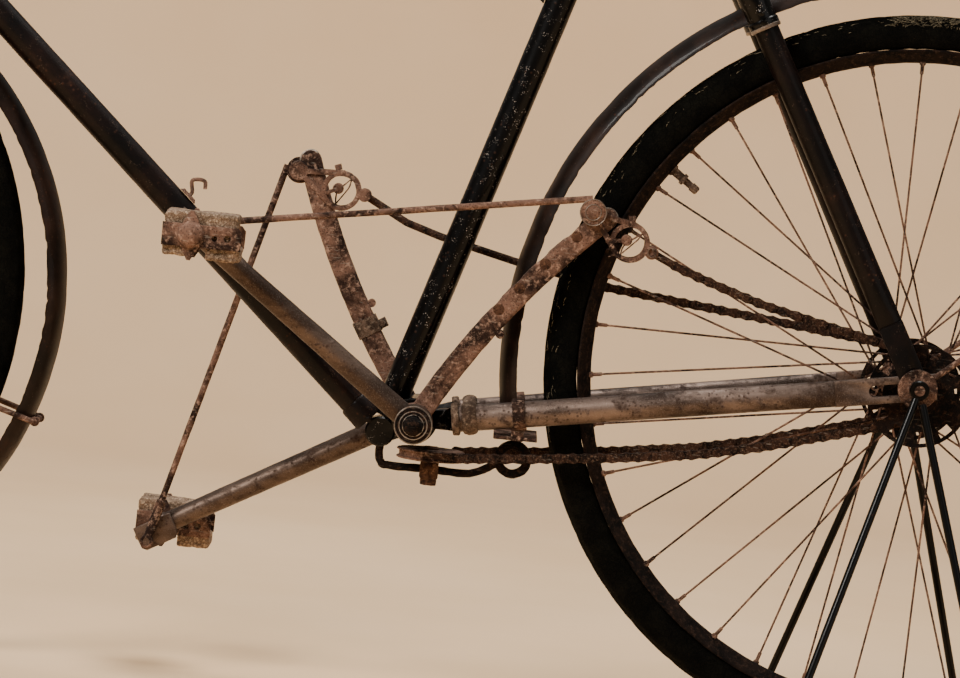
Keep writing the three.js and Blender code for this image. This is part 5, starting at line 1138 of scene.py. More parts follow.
# %% Socket ring and ball of a chain stay
def add_stay_collar(name, way):
    bm = bmesh.new()
    start, end = on_chainstay(0.0366, way), on_chainstay(0.2, way)
    turned(bm, start, end,
           [(0.0, 0.0127), (0.0, 0.0150), (0.0014, 0.0158), (0.0054, 0.0158), (0.0068, 0.0150),
            (0.0068, 0.0127)], 32)
    ball = [(0.0100 + 0.0070 * (1 - math.cos(math.pi * i / 10)),
             0.0127 + 0.0036 * math.sin(math.pi * i / 10))
            for i in range(11)]
    turned(bm, start, end, ball, 32)
    roughen(bm, 0.0003, 0.004)
    return piece(name, bm, RUST_PALE, "frame")


add_stay_collar("stay_collar_left", -1)
add_stay_collar("stay_collar_right", 1)

# %% [markdown]
# ## Seat stays and crown
# The two stays rise from the axle's ends to a crown over the mudguard. Each foot is pressed flat and
# pierced, each top goes into a collar with a bright rim.

# %% Seat stays
SEATSTAY_ANGLE = 118.6
SEATSTAY_INNER = 0.0623
GUARD_TO_AXLE = 0.398


def on_seatstay(distance, way):
    share = distance / GUARD_TO_AXLE
    end = SEATSTAY_INNER + 0.0035
    return at(polar(REAR_HUB, SEATSTAY_ANGLE, distance), way * (end + (0.045 - end) * share))


def add_seatstay(name, way):
    bm = bmesh.new()
    distances = [0.052, 0.060, 0.072, 0.086, 0.105, 0.15, 0.20, 0.25, 0.30, 0.345, 0.384]
    flats = [0.28, 0.32, 0.5, 0.78, 0.96] + [1.0] * 6
    sweep(bm, [on_seatstay(d, way) for d in distances], [0.0120] * 11, 32, flats, (0, 1, 0))
    inner, outer = sorted((way * SEATSTAY_INNER, way * (SEATSTAY_INNER + 0.007)))
    foot = arc(REAR_HUB, 0.0121, SEATSTAY_ANGLE + 90, SEATSTAY_ANGLE + 270, 16)
    neck = polar(REAR_HUB, SEATSTAY_ANGLE, 0.066)
    shoulder = [polar(neck, SEATSTAY_ANGLE - 90, 0.0119), polar(neck, SEATSTAY_ANGLE + 90, 0.0119)]
    plate(bm, foot + shoulder, inner, outer, 0.0010, [disc(REAR_HUB, 0.0054, 24)])
    roughen(bm, 0.00022, 0.010, way * 2)
    return piece(name, bm, BROWN_ENAMEL, "frame", [name])


add_seatstay("seatstay_left", -1)
add_seatstay("seatstay_right", 1)


# %% Crown over the mudguard
def seat_cluster():
    """Where the line of the seat stays meets the line of the seat tube."""
    rise = math.radians(SEATSTAY_ANGLE)
    seat = math.radians(SEAT_ANGLE)
    across = (JUNCTION[0] - REAR_HUB[0]) * math.sin(seat) - (JUNCTION[1] - REAR_HUB[1]) * math.cos(seat)
    distance = across / (math.cos(rise) * math.sin(seat) - math.sin(rise) * math.cos(seat))
    return polar(REAR_HUB, SEATSTAY_ANGLE, distance)


def add_seatstay_crown():
    bm = bmesh.new()
    for way in (-1, 1):
        low, high = on_seatstay(0.3725, way), on_seatstay(0.4215, way)
        length = (high - low).length
        turned(bm, low, high,
               [(0, 0.0124), (0, 0.0143), (0.0012, 0.0150), (0.006, 0.0150), (0.0072, 0.0140),
                (0.02, 0.0142),
                (0.024, 0.0150), (length - 0.006, 0.0150), (length - 0.0015, 0.0132), (length, 0.0100),
                (length, 0)], 32)
    base = polar(REAR_HUB, SEATSTAY_ANGLE, 0.3995)
    top = polar(REAR_HUB, SEATSTAY_ANGLE, 0.4212)
    middle = at(polar(REAR_HUB, SEATSTAY_ANGLE, 0.4105))
    arch = [middle + Vector((0, y, 0)) + (at(top) - at(base)) * lift for y, lift in (
        (-0.045, -0.1), (-0.030, 0.02), (-0.015, 0.06), (0, 0.08), (0.015, 0.06), (0.030, 0.02),
        (0.045, -0.1))]
    sweep(bm, smooth_path(arch, 4), 0.0098, 20, 1.15, (0, 1, 0))
    joint = seat_cluster()
    rod(bm, at(polar(REAR_HUB, SEATSTAY_ANGLE, 0.408)), at(toward(joint, REAR_HUB, 0.0165)), 0.0112,
        sides=28, stations=12)
    turned(bm, at(toward(joint, REAR_HUB, 0.0168)), at(REAR_HUB),
           [(0, 0.0112), (0, 0.0122), (0.030, 0.0120), (0.031, 0.0112)], 28)
    roughen(bm, 0.0002, 0.012)
    bump_at = on_seatstay(0.3870, -1) + Vector((0.001, -0.0148, 0))
    turned(bm, bump_at, bump_at + Vector((0, -1, 0)),
           [(-0.002, 0.0034), (0.0006, 0.0034), (0.0016, 0.002), (0.0018, 0)], 12)
    return piece("seatstay_crown", bm, BLACK_ENAMEL, "frame", ["seatstay_crown"])


add_seatstay_crown()


# %% Rusted rims of the stay sockets
def add_socket_rim(name, way):
    bm = bmesh.new()
    turned(bm, on_seatstay(0.3695, way), on_seatstay(0.4, way),
           [(0, 0.0123), (0, 0.0146), (0.001, 0.0151), (0.0032, 0.0151), (0.0040, 0.0143),
            (0.0040, 0.0123)], 32)
    roughen(bm, 0.0003, 0.003)
    return piece(name, bm, WEAR_AND_HIGHLIGHT, "frame")


add_socket_rim("socket_rim_left", -1)
add_socket_rim("socket_rim_right", 1)

# %% [markdown]
# ## Levers
# Each side has one bell crank: an arm up to the chain and a crank to the pedal, joined in a V at the
# boss. They are drawn from the angle of the crank, so the left lever, high, and the right lever,
# low, come from the same few lines. Four hollows along the arm's edge let the link be hooked
# nearer or farther from the axle, which changed the gearing.

# %% Lever sizes
CHAIN_Y = 0.0383
ARM_INNER, ARM_OUTER = 0.0293, 0.0473
CRANK_LENGTH = 0.275
ARM_BEND_RADIUS = 0.8
ARM_LENGTH = 0.270
PIN_ANGLE, PIN_DISTANCE = -88.6, 0.264
LEVERS = {
    "left": {"way": -1, "angle": 144.0, "link": -29.0},
    "right": {"way": 1, "angle": 209.7, "link": -14.8},
}


ARM_HOLLOWS = (0.136, 0.165, 0.198, 0.234)
LINK_LENGTH = 0.068
ROD_END = (0.292, 0.007)


def lever_point(angle, along, across):
    turn = math.radians(angle)
    return (
        PIVOT[0] + along * math.cos(turn) - across * math.sin(turn),
        PIVOT[1] + along * math.sin(turn) + across * math.cos(turn),
    )


def arm_pin(lever):
    return polar(PIVOT, lever["angle"] + PIN_ANGLE, PIN_DISTANCE)


def chain_end(lever):
    return polar(arm_pin(lever), lever["link"], LINK_LENGTH)


def arm_line(angle, steps=24):
    bend = math.degrees(ARM_LENGTH / ARM_BEND_RADIUS)
    centre = polar(PIVOT, angle - 91.7 + bend / 2 - 90, ARM_BEND_RADIUS)
    start = angle - 91.7 + bend / 2 + 90
    return arc(centre, ARM_BEND_RADIUS, start, start - bend, steps)


def arm_outline(angle, spots):
    """The arm's side view: a bent strip with a round tip and a shallow hollow at each spot."""
    line = arm_line(angle, 48)
    upper, lower = [], []
    for i, p in enumerate(line):
        heading = angle_of(line[max(i - 1, 0)], line[min(i + 1, len(line) - 1)])
        along = ARM_LENGTH * i / (len(line) - 1)
        hollow = max(((1 - ((along - spot) / 0.0068) ** 2) for spot in spots), default=0)
        half = 0.0104 - 0.0013 * math.sqrt(hollow) if hollow > 0 else 0.0104
        upper.append(polar(p, heading + 90, half))
        lower.append(polar(p, heading - 90, 0.0104))
    tip = line[-1]
    heading = angle_of(line[-2], tip)
    cap = arc(tip, 0.0104, heading + 75, heading - 75, 10)
    return upper + cap + lower[::-1]


def add_lever_arm(name, lever):
    way, angle = lever["way"], lever["angle"]
    inner, outer = sorted((way * ARM_INNER, way * ARM_OUTER))
    pin = arm_pin(lever)
    bm = bmesh.new()
    plate(bm, arm_outline(angle, ARM_HOLLOWS if way < 0 else ()), inner + 0.0002, outer - 0.0002, 0.0026)
    turned(bm, at(PIVOT, way * 0.0293), at(PIVOT, way * ARM_OUTER),
           [(0, 0.0083), (0, 0.0168), (0.001, 0.0182), (0.0168, 0.0182), (0.018, 0.0170),
            (0.018, 0.0083)], 40)
    turned(bm, at(pin, way * ARM_INNER), at(pin, way * ARM_OUTER),
           [(0, 0.0064), (0, 0.0092), (0.0008, 0.0099), (0.0172, 0.0099), (0.018, 0.0092),
            (0.018, 0.0064)], 28)
    knob = lever_arm_spot(angle, 0.118, -0.0128)
    turned(bm, at(knob, way * 0.034), at(knob, way * 0.0475),
           [(0, 0), (0, 0.0042), (0.0125, 0.0042), (0.0132, 0.0030), (0.0135, 0)], 16)
    roughen(bm, 0.00035, 0.008, way * 3)
    return piece(name, bm, RUST_BROWN, "frame", [name], sharp=48)


def lever_arm_spot(angle, along, out):
    line = arm_line(angle, 48)
    i = round(48 * along / ARM_LENGTH)
    heading = angle_of(line[i - 1], line[min(i + 1, 48)])
    return polar(line[i], heading + 90, out)


for side_name, lever in LEVERS.items():
    add_lever_arm(f"lever_arm_{side_name}", lever)


# %% [markdown]
# ## Hollows, tips and clamps
# The hollows are darkened with painted shade: a disc of darker rust lies on the arm's face over each
# one. The arm's tip has a painted highlight, a bright band round its end. These are thin rounded patches
# let into the face of the arm.


# %% Painted shade in the hollows and painted highlight on the tips
def add_arm_hollow_shade(name, lever):
    way, angle = lever["way"], lever["angle"]
    bm = bmesh.new()
    for along in ARM_HOLLOWS:
        # Each disc is darker rust laid over a hollow: painted shade.
        spot = lever_arm_spot(angle, along, 0.0042)
        turned(bm, at(spot, way * 0.0455), at(spot, way * 0.06),
               [(0, 0), (0, 0.0056), (0.0016, 0.0054), (0.0020, 0.0046), (0.0019, 0)], 24)
    return piece(name, bm, RUST_AND_SHADE, "frame")


def add_lever_tip_highlight(name, lever):
    way, angle = lever["way"], lever["angle"]
    tip = arm_line(angle, 48)[-1]
    heading = angle_of(arm_line(angle, 48)[-2], tip)
    # A bright steel band round the arm's end: a painted highlight.
    band = arc(tip, 0.0105, heading + 88, heading - 60, 14) + arc(tip, 0.0086, heading - 60,
        heading + 88, 14)
    bm = bmesh.new()
    inner, outer = sorted((way * (ARM_INNER + 0.001), way * (ARM_OUTER - 0.001)))
    plate(bm, band, inner, outer, 0.0006)
    roughen(bm, 0.0003, 0.004)
    return piece(name, bm, WEAR_AND_HIGHLIGHT, "frame")


def add_arm_clamp(name, lever, along):
    """A pressed band round the arm with the ends of its bolt."""
    way, angle = lever["way"], lever["angle"]
    centre = lever_arm_spot(angle, along, 0)
    before, after = lever_arm_spot(angle, along - 0.008, 0), lever_arm_spot(angle, along + 0.008, 0)
    inner, outer = sorted((way * (ARM_INNER - 0.0012), way * (ARM_OUTER + 0.0014)))
    bm = bmesh.new()
    plate(bm, strip([before, after], 0.0120), inner, outer, 0.0018)
    heading = angle_of(before, after)
    ear = polar(centre, heading - 90, 0.0150)
    plate(bm, strip([polar(ear, heading, -0.0045), polar(ear, heading, 0.0045)], 0.0042), inner + 0.004,
          outer - 0.004, 0.001)
    turned(bm, at(ear, inner), at(ear, outer), [(0, 0), (0, 0.003), (outer - inner, 0.003),
        (outer - inner, 0)], 12)
    roughen(bm, 0.0003, 0.005)
    return piece(name, bm, RUST_PALE, "frame")


for side_name, lever in LEVERS.items():
    add_arm_hollow_shade(f"arm_hollow_shade_{side_name}", lever)
    add_lever_tip_highlight(f"lever_tip_highlight_{side_name}", lever)
add_arm_clamp("arm_clamp_right", LEVERS["right"], 0.098)

# %% [markdown]
# ## Cranks and their boss
# The crank is a tapered tube brazed into the boss. Round the axle lie three concentric washers, each
# edge marked by a thin bright ring of painted highlight, under a domed nut that has been knocked a
# little out of true.


# %% Cranks
def add_crank(name, lever):
    way, angle = lever["way"], lever["angle"]
    pedal = lever_point(angle, CRANK_LENGTH, 0)
    bm = bmesh.new()
    start, end = at(PIVOT, way * 0.064), at(pedal, way * 0.076)
    shares = [i / 24 for i in range(25)]
    sweep(bm, [start.lerp(end, t) for t in shares], [0.0114 - 0.0017 * t for t in shares], 32)
    turned(bm, at(PIVOT, way * 0.0477), at(PIVOT, way * 0.082),
           [(0, 0.0083), (0, 0.0172), (0.0012, 0.0182), (0.031, 0.0182), (0.0335, 0.0172),
            (0.0343, 0.0158), (0.0343, 0.0083)], 44)
    turned(bm, at(pedal, way * 0.0596), at(pedal, way * 0.089),
           [(0, 0), (0, 0.0108), (0.0012, 0.0119), (0.0275, 0.0119), (0.0289, 0.0108), (0.0294, 0.0050),
            (0.106, 0.0049), (0.1065, 0.004), (0.1065, 0)], 32)
    roughen(bm, 0.00022, 0.012, way)
    back = lever_point(angle, CRANK_LENGTH - 0.014, -0.009)
    far = lever_point(angle, 0.300, -0.009)
    outline = [
        back, far, lever_point(angle, 0.300, 0.012), lever_point(angle, 0.296, 0.016),
        lever_point(angle, CRANK_LENGTH - 0.010, 0.016), lever_point(angle, CRANK_LENGTH - 0.014, 0.010),
    ]
    y0, y1 = sorted((way * 0.0589, way * 0.0635))
    plate(bm, outline, y0, y1, 0.0010)
    rod_end = lever_point(angle, *ROD_END)
    turned(bm, at(rod_end, way * 0.0483), at(rod_end, way * 0.0668),
           [(0, 0), (0, 0.0034), (0.0153, 0.0034), (0.0156, 0.0056), (0.0180, 0.0056), (0.0185, 0.0048),
            (0.0185, 0)], 16)
    return piece(name, bm, CRANK_STEEL, "frame", [name], sharp=45)


for side_name, lever in LEVERS.items():
    add_crank(f"lever_crank_{side_name}", lever)


# %% Washers and domed nuts on the lever axle
def add_lever_axle():
    bm = bmesh.new()
    rod(bm, at(PIVOT, -0.0815), at(PIVOT, 0.0815), 0.008, sides=24)
    for way in (-1, 1):
        outside = way * 0.0822
        turned(bm, at(PIVOT, outside), at(PIVOT, way * 0.2),
               [(0, 0), (0, 0.0160), (0.0006, 0.0170), (0.0014, 0.0166), (0.0016, 0.0134),
                (0.0022, 0.0130),
                (0.0030, 0.0124), (0.0032, 0.0104), (0.0040, 0.0100), (0.0042, 0)], 40)
        lean = Vector((0.22, way, 0.30)).normalized()
        foot = at(PIVOT, outside + way * 0.0030)
        turned(bm, foot, foot + lean,
               [(-0.001, 0), (-0.001, 0.0092), (0.0012, 0.0094), (0.003, 0.0088), (0.0055, 0.0066),
                (0.0072, 0.0042), (0.0080, 0.0018), (0.0082, 0)], 24)
    roughen(bm, 0.00025, 0.004)
    return piece("lever_axle", bm, RUST_DARK, "frame", ["lever_axle"])


def add_boss_rim_highlights():
    bm = bmesh.new()
    # Thin bright rings on the washer edges: painted highlights.
    for way in (-1, 1):
        for radius, y, thick in ((0.0176, 0.0818, 0.0008), (0.0132, 0.0841, 0.0006),
                                 (0.0098, 0.0856, 0.0006)):
            ring(bm, at(PIVOT, way * y), (0, 1, 0), radius, thick, 44, 8)
    roughen(bm, 0.0002, 0.003)
    return piece("boss_rim_highlights", bm, WEAR_AND_HIGHLIGHT, "frame")


add_lever_axle()
add_boss_rim_highlights()

# %% [markdown]
# ## Tie rods
# A thin rod from the crank's end to the arm's pin closes the triangle, so the lever can't open.


# %% Tie rods
def add_tie_rod(name, lever):
    way, angle = lever["way"], lever["angle"]
    pin = arm_pin(lever)
    rod_end = lever_point(angle, *ROD_END)
    heading = angle_of(rod_end, pin)
    over, under = polar(pin, heading + 90, 0.013), polar(pin, heading - 90, 0.013)
    lift = max(over, under, key=lambda p: math.dist(p, PIVOT))
    bm = bmesh.new()
    start, end = at(rod_end, way * 0.0532), at(lift, way * 0.0542)
    rod(bm, start, end, 0.00318, sides=16, stations=30)
    sleeve = [(0.004, 0.0031), (0.005, 0.0046), (0.038, 0.0049), (0.042, 0.0046), (0.043, 0.0031)]
    turned(bm, start, end, sleeve, 20)
    turned(bm, at(rod_end, way * 0.0482), at(rod_end, way * 0.0582),
           [(0, 0.0038), (0, 0.0058), (0.0008, 0.0064), (0.0092, 0.0064), (0.01, 0.0058),
            (0.01, 0.0038)], 24)
    turned(bm, at(pin, way * 0.0510), at(pin, way * 0.0574),
           [(0, 0.0063), (0, 0.0120), (0.0008, 0.0129), (0.0056, 0.0129), (0.0064, 0.0118),
            (0.0064, 0.0063)], 32)
    roughen(bm, 0.0003, 0.006, way)
    return piece(name, bm, RUST_BROWN, "frame", [name])


for side_name, lever in LEVERS.items():
    add_tie_rod(f"tie_rod_{side_name}", lever)

# %% [markdown]
# ## Chain links on the arms
# Two pierced plates straddle the arm and carry the end of the chain. Seen from the side they make a
# ring with two bars back to the pin. Two thin curved wires and a brown knob sit inside the ring,
# and short spikes and a tab stand on its rim.


# %% Link plates
def add_chain_link(name, lever):
    way, link = lever["way"], lever["link"]
    pin = arm_pin(lever)
    hub = polar(pin, link - 5, 0.0455)
    chain_pin = chain_end(lever)
    knob = polar(pin, link - 5, 0.0415)
    bm = bmesh.new()
    for low, high in ((0.0476, 0.0502), (0.0263, 0.0289)):
        y0, y1 = sorted((way * low, way * high))
        eye_ring(bm, hub, y0, y1, 0.0192, 0.0146, 44)
        for turn in (100, -100):
            goal = polar(hub, link + turn, 0.0172)
            plate(bm, strip([toward(pin, goal, 0.004), goal], 0.0026), y0, y1, 0.0006)
        eye_ring(bm, pin, y0, y1, 0.0092, 0.0058, 28)
        eye_ring(bm, chain_pin, y0, y1, 0.0064, 0.0030, 24)
        knob_arm = polar(hub, link - 150, 0.0172)
        plate(bm, strip([knob, knob_arm], 0.0017), y0, y1, 0.0005)
    for turn, long in ((-110, 0.006), (-128, 0.005), (-146, 0.0045)):
        root = polar(hub, link + turn, 0.0186)
        tip = polar(root, link + turn - 12, long)
        sweep(bm, [at(root, way * 0.049), at(polar(root, link + turn, long * 0.6), way * 0.049),
                   at(tip, way * 0.049)],
              [0.0013, 0.0009, 0.0004], 8)
    tab = polar(hub, link + 118, 0.0196)
    plate(bm, strip([tab, polar(tab, link + 124, 0.006)], 0.0034), *sorted((way * 0.0478, way * 0.0500)),
          0.0006)
    for bend, y in ((0.006, 0.0490), (-0.004, 0.0482)):
        first, last = polar(hub, link + 70, 0.0150), polar(hub, link - 95, 0.0150)
        middle = (hub[0] + bend, hub[1] + bend * 0.4)
        sweep(bm, smooth_path([at(first, way * y), at(middle, way * (y + 0.0006)), at(last, way * y)],
                              6), 0.0007, 8)
    roughen(bm, 0.0003, 0.004, way)
    turned(bm, at(pin, way * 0.026), at(pin, way * 0.0600),
           [(0, 0), (0, 0.0056), (0.0004, 0.0060), (0.0300, 0.0059), (0.0300, 0.0076), (0.0320, 0.0076),
            (0.0325, 0.0052),
            (0.0336, 0.0050), (0.0340, 0.0036), (0.0340, 0)], 28)
    turned(bm, at(knob, way * 0.0470), at(knob, way * 0.0560),
           [(0, 0), (0, 0.0044), (0.0034, 0.0054), (0.0056, 0.0054), (0.0068, 0.0044), (0.0072, 0)], 22)
    turned(bm, at(chain_pin, way * 0.0262), at(chain_pin, way * 0.0530),
           [(0, 0), (0, 0.0034), (0.0246, 0.0034), (0.0250, 0.0046), (0.0262, 0.0044), (0.0268, 0.0030),
            (0.0268, 0)], 18)
    return piece(name, bm, RUST_BROWN, "frame", [name], sharp=45)


def add_pin_rim_highlights(name, lever):
    way = lever["way"]
    pin = arm_pin(lever)
    bm = bmesh.new()
    # Thin bright rings on the pin head's edges: painted highlights.
    for radius, y in ((0.0124, 0.0573), (0.0074, 0.0583)):
        ring(bm, at(pin, way * y), (0, 1, 0), radius, 0.0005, 32, 8)
    return piece(name, bm, WEAR_AND_HIGHLIGHT, "frame")


for side_name, lever in LEVERS.items():
    add_chain_link(f"chain_link_{side_name}", lever)
    add_pin_rim_highlights(f"pin_rim_highlights_{side_name}", lever)


# %% Wire twisted round the near chain pin
def add_pin_wire():
    lever = LEVERS["left"]
    chain_pin = chain_end(lever)
    bm = bmesh.new()
    turns = []
    for i in range(64):
        angle = i * 30
        turns.append(at(polar(chain_pin, angle, 0.0042 + 0.0004 * math.sin(i)), -0.0506 - 0.00009 * i))
    for i in range(1, 9):
        turns.append(at((chain_pin[0] + 0.0018 * i,
                         chain_pin[1] - 0.0009 * i + 0.001 * math.sin(i * 1.9)), -0.0562 - 0.0002 * i))
    sweep(bm, turns, 0.00055, 6)
    return piece("pin_wire", bm, RUST_PALE, "frame", smooth_all=True)


add_pin_wire()
print("lever pieces ready", len(made))

# %% [markdown]
# ## Chains
# These are block chains: solid blocks on the pitch of the drum's teeth, joined by pairs of side plates
# with two rivets each. The CAD keeps each chain as one solid. Here its middle line is
# walked in equal steps, and a block and a pair of plates are set along it, so a taut run reads as
# separate links. The line has the same points as the CAD's.

# %% Chain lines
DRUM_PITCH = 0.031
PULLEY_CENTRE = (PIVOT[0] + 0.0186, 0.246)
UPPER_RUNS = {
    "left": [(-0.235, 0.4505), (-0.195, 0.437), (-0.152, 0.424), (-0.0775, 0.4078), (-0.0325, 0.399)],
    "right": [(-0.500, 0.465), (-0.4667, 0.455), (-0.3865, 0.437), (-0.2987, 0.4218), (-0.120, 0.4045)],
}
LOWER_RUN = [
    (-0.0386, 0.3167), (-0.0637, 0.3093), (-0.1028, 0.2986), (-0.142, 0.2878), (-0.1983, 0.2753),
    (-0.280, 0.2635), (-0.3497, 0.2556), (-0.420, 0.2485),
]


def touch(point, way):
    lean = math.degrees(math.acos(DRUM_PITCH / math.dist(REAR_HUB, point)))
    return angle_of(REAR_HUB, point) - way * lean


def chain_line(side_name):
    upper = UPPER_RUNS[side_name]
    round_drum = arc(REAR_HUB, DRUM_PITCH, touch(upper[-1], 1), touch(LOWER_RUN[0], -1), 16)
    return [chain_end(LEVERS[side_name]), *upper, *round_drum, *LOWER_RUN, PULLEY_CENTRE]


def walk(line, pitch):
    """Points at equal steps along a line of straight pieces."""
    points = [line[0]]
    left_over = pitch
    for a, b in zip(line, line[1:]):
        long = math.dist(a, b)
        spent = 0.0
        while long - spent >= left_over:
            spent += left_over
            points.append(toward(a, b, spent))
            left_over = pitch
        left_over -= long - spent
    return points


CHAIN_PITCH = 0.0254
BLOCK_SHARE = 0.44
CHAIN_HALF = 0.0048


def link_outline(a, b, half, waist):
    """A link's side plate: two round ends with a narrower waist."""
    heading = angle_of(a, b)
    middle = ((a[0] + b[0]) / 2, (a[1] + b[1]) / 2)
    return (
        arc(b, half, heading - 90, heading + 90, 8)
        + [polar(middle, heading + 90, waist)]
        + arc(a, half, heading + 90, heading + 270, 8)
        + [polar(middle, heading - 90, waist)]
    )


def block_chain(line, way, skip):
    bm = bmesh.new()
    for a, b, c in walk_pairs(line, CHAIN_PITCH, BLOCK_SHARE)[skip:]:
        y0, y1 = sorted((way * (CHAIN_Y - 0.0030), way * (CHAIN_Y + 0.0030)))
        plate(bm, link_outline(a, b, CHAIN_HALF * 0.94, CHAIN_HALF * 0.78), y0, y1, 0.0005)
        for low in (-0.0048, 0.0032):
            y0, y1 = sorted((way * (CHAIN_Y + low), way * (CHAIN_Y + low + 0.0016)))
            plate(bm, link_outline(b, c, CHAIN_HALF, CHAIN_HALF * 0.72), y0, y1, 0.0003)
        for p in (b, c):
            turned(bm, at(p, way * (CHAIN_Y - 0.0049)), at(p, way * (CHAIN_Y + 0.02)),
                   [(0, 0), (0, 0.0019), (0.0098, 0.0019), (0.0100, 0.0012), (0.0100, 0)], 8)
    roughen(bm, 0.0003, 0.005, way)
    return bm


def walk_pairs(line, pitch, share):
    """The three joints of each block and the plates behind it, along a line."""
    fine = walk(line, pitch * 0.02)
    count = int((len(fine) - 1) / 50)
    at_block_end = round(50 * share)
    return [(fine[50 * i], fine[50 * i + at_block_end], fine[50 * i + 50]) for i in range(count)]


def add_chain(name, side_name, skip):
    way = LEVERS[side_name]["way"]
    line = chain_line(side_name)
    bm = block_chain(line, way, skip)
    fine = walk(line, 0.001)
    lead = fine[: 2 + skip * 25]
    sweep(bm, [at(p, way * CHAIN_Y) for p in lead[::4]], 0.0037, 16)
    turned(bm, at(lead[0], way * 0.0335), at(lead[0], way * 0.0431),
           [(0, 0.0037), (0, 0.0058), (0.0006, 0.0063), (0.009, 0.0063), (0.0096, 0.0058),
            (0.0096, 0.0037)], 20)
    return piece(name, bm, CHAIN_RUST, "frame", [name], sharp=45)


add_chain("chain_left", "left", 1)
add_chain("chain_right", "right", 9)
print("chain faces", made["chain_left"])

# %% [markdown]
# ## Rear axle, drums and their covers
# Outside each drum sits a dark pressed disc with a ring of square holes. It is a flat ring spun in
# 64 steps: of each six sectors of its outer band three are left out, which gives the holes without
# any cutting.

# %% Drum covers
COVER_CENTRE = (REAR_HUB[0] + 0.004, REAR_HUB[1] - 0.008)
COVER_INNER_Y = 0.044


def add_drum_cover(name, way):
    bm = bmesh.new()
    steps = 64
    radii = [0.0062, 0.0180, 0.0196, 0.0320, 0.0345, 0.0460, 0.0478, 0.0497]
    lifts = [0.0010, 0.0010, 0.0, 0.0, -0.0003, -0.0003, 0.0, 0.0004]
    verts = [
        bm.verts.new(at((COVER_CENTRE[0] + r, COVER_CENTRE[1]), way * (COVER_INNER_Y + 0.0012 + lift)))
        for r, lift in zip(radii, lifts)
    ]
    edges = [bm.edges.new(pair) for pair in zip(verts, verts[1:])]
    bmesh.ops.spin(
        bm, geom=[*verts, *edges], cent=at(COVER_CENTRE), axis=(0, 1, 0), angle=math.tau, steps=steps,
        use_merge=True, use_duplicate=False,
    )
    holes = []
    for face in bm.faces:
        middle = face.calc_center_median()
        flat = (middle.x - REAR_HUB_X, middle.z)
        reach = math.dist(flat, COVER_CENTRE)
        sector = int(((angle_of(COVER_CENTRE, flat) + 360) % 360) / 360 * steps)
        if 0.0345 < reach < 0.0460 and sector % 6 < 3 and sector < 60:
            holes.append(face)
    bmesh.ops.delete(bm, geom=holes, context="FACES")
    bmesh.ops.recalc_face_normals(bm, faces=bm.faces)
    roughen(bm, 0.0004, 0.012, way)
    bmesh.ops.solidify(bm, geom=list(bm.faces), thickness=0.0014)
    rivet_ring = arc(COVER_CENTRE, 0.0270, 20, 340, 8)
    for p in rivet_ring:
        turned(bm, at(p, way * (COVER_INNER_Y + 0.0004)), at(p, way * 0.2),
               [(0, 0), (0, 0.0026), (0.0020, 0.0024), (0.0026, 0.0012), (0.0026, 0)], 12)
    return piece(name, bm, RUST_DARK, "frame", sharp=30)


def add_drum(name, way):
    bm = bmesh.new()
    turned(bm, at(REAR_HUB, way * 0.0314), at(REAR_HUB, way * 0.0536),
           [(0, 0.0054), (0, 0.0164), (0.001, 0.0240), (0.0016, 0.0254), (0.0118, 0.0254),
            (0.0126, 0.0244),
            (0.0128, 0.0170), (0.0212, 0.0168), (0.0222, 0.0156), (0.0222, 0.0054)], 48)
    for i in range(8):
        tooth = polar(REAR_HUB, 45 * i + 12, 0.0262)
        heading = 45 * i + 12
        y0, y1 = sorted((way * 0.0352, way * 0.0412))
        outline = [
            polar(polar(tooth, heading, -0.003), heading + 90, 0.0062),
            polar(polar(tooth, heading, -0.003), heading - 90, 0.0062),
            polar(polar(tooth, heading, 0.0032), heading - 90, 0.0030),
            polar(polar(tooth, heading, 0.0032), heading + 90, 0.0030),
        ]
        plate(bm, outline, y0, y1, 0.0006)
    roughen(bm, 0.0003, 0.006, way)
    return piece(name, bm, RUST_BROWN, "frame", [name], sharp=40)


for side_name, way in (("left", -1), ("right", 1)):
    add_drum(f"drum_{side_name}", way)
    add_drum_cover(f"drum_cover_{side_name}", way)


# %% Axle, washers and nuts
def add_rear_axle():
    bm = bmesh.new()
    rod(bm, at(REAR_HUB, -0.0968), at(REAR_HUB, 0.0968), 0.0049, sides=20)
    for i in range(12):
        for way in (-1, 1):
            ring(bm, at(REAR_HUB, way * (0.0846 + 0.001 * i)), (0, 1, 0), 0.0047, 0.0003, 20, 6)
    for way in (-1, 1):
        turned(bm, at(REAR_HUB, way * 0.0724), at(REAR_HUB, way * 0.2),
               [(0, 0), (0, 0.0182), (0.0008, 0.0189), (0.0022, 0.0189), (0.0030, 0.0180), (0.0030, 0)],
               44)
        inner, outer = at(REAR_HUB, way * 0.0753), at(REAR_HUB, way * 0.0829)
        hex_nut(bm, inner, outer, 0.0098)
        turned(bm, at(REAR_HUB, way * 0.0808), at(REAR_HUB, way * 0.2),
               [(0, 0), (0, 0.0084), (0.0014, 0.0082), (0.0022, 0.0066), (0.0022, 0)], 24)
    roughen(bm, 0.0003, 0.005)
    return piece("rear_axle", bm, RUST_BROWN, "frame", ["rear_axle"], sharp=35)


def add_front_axle():
    bm = bmesh.new()
    rod(bm, at(FRONT_HUB, -0.0684), at(FRONT_HUB, 0.0684), 0.0049, sides=20)
    for way in (-1, 1):
        hex_nut(bm, at(FRONT_HUB, way * 0.0566), at(FRONT_HUB, way * 0.0646), 0.0099)
    roughen(bm, 0.0002, 0.005)
    return piece("front_axle", bm, RUST_BROWN, "steering", ["front_axle"], sharp=35)


add_rear_axle()
add_front_axle()

# %% [markdown]
# ## Return pulley and what holds it
# Both lower runs end at one flat pulley that lies under the lever axle. It hangs on a bent rod
# whose rear end is a thick eye, and the eye hangs under a plate strapped to the chain stays.


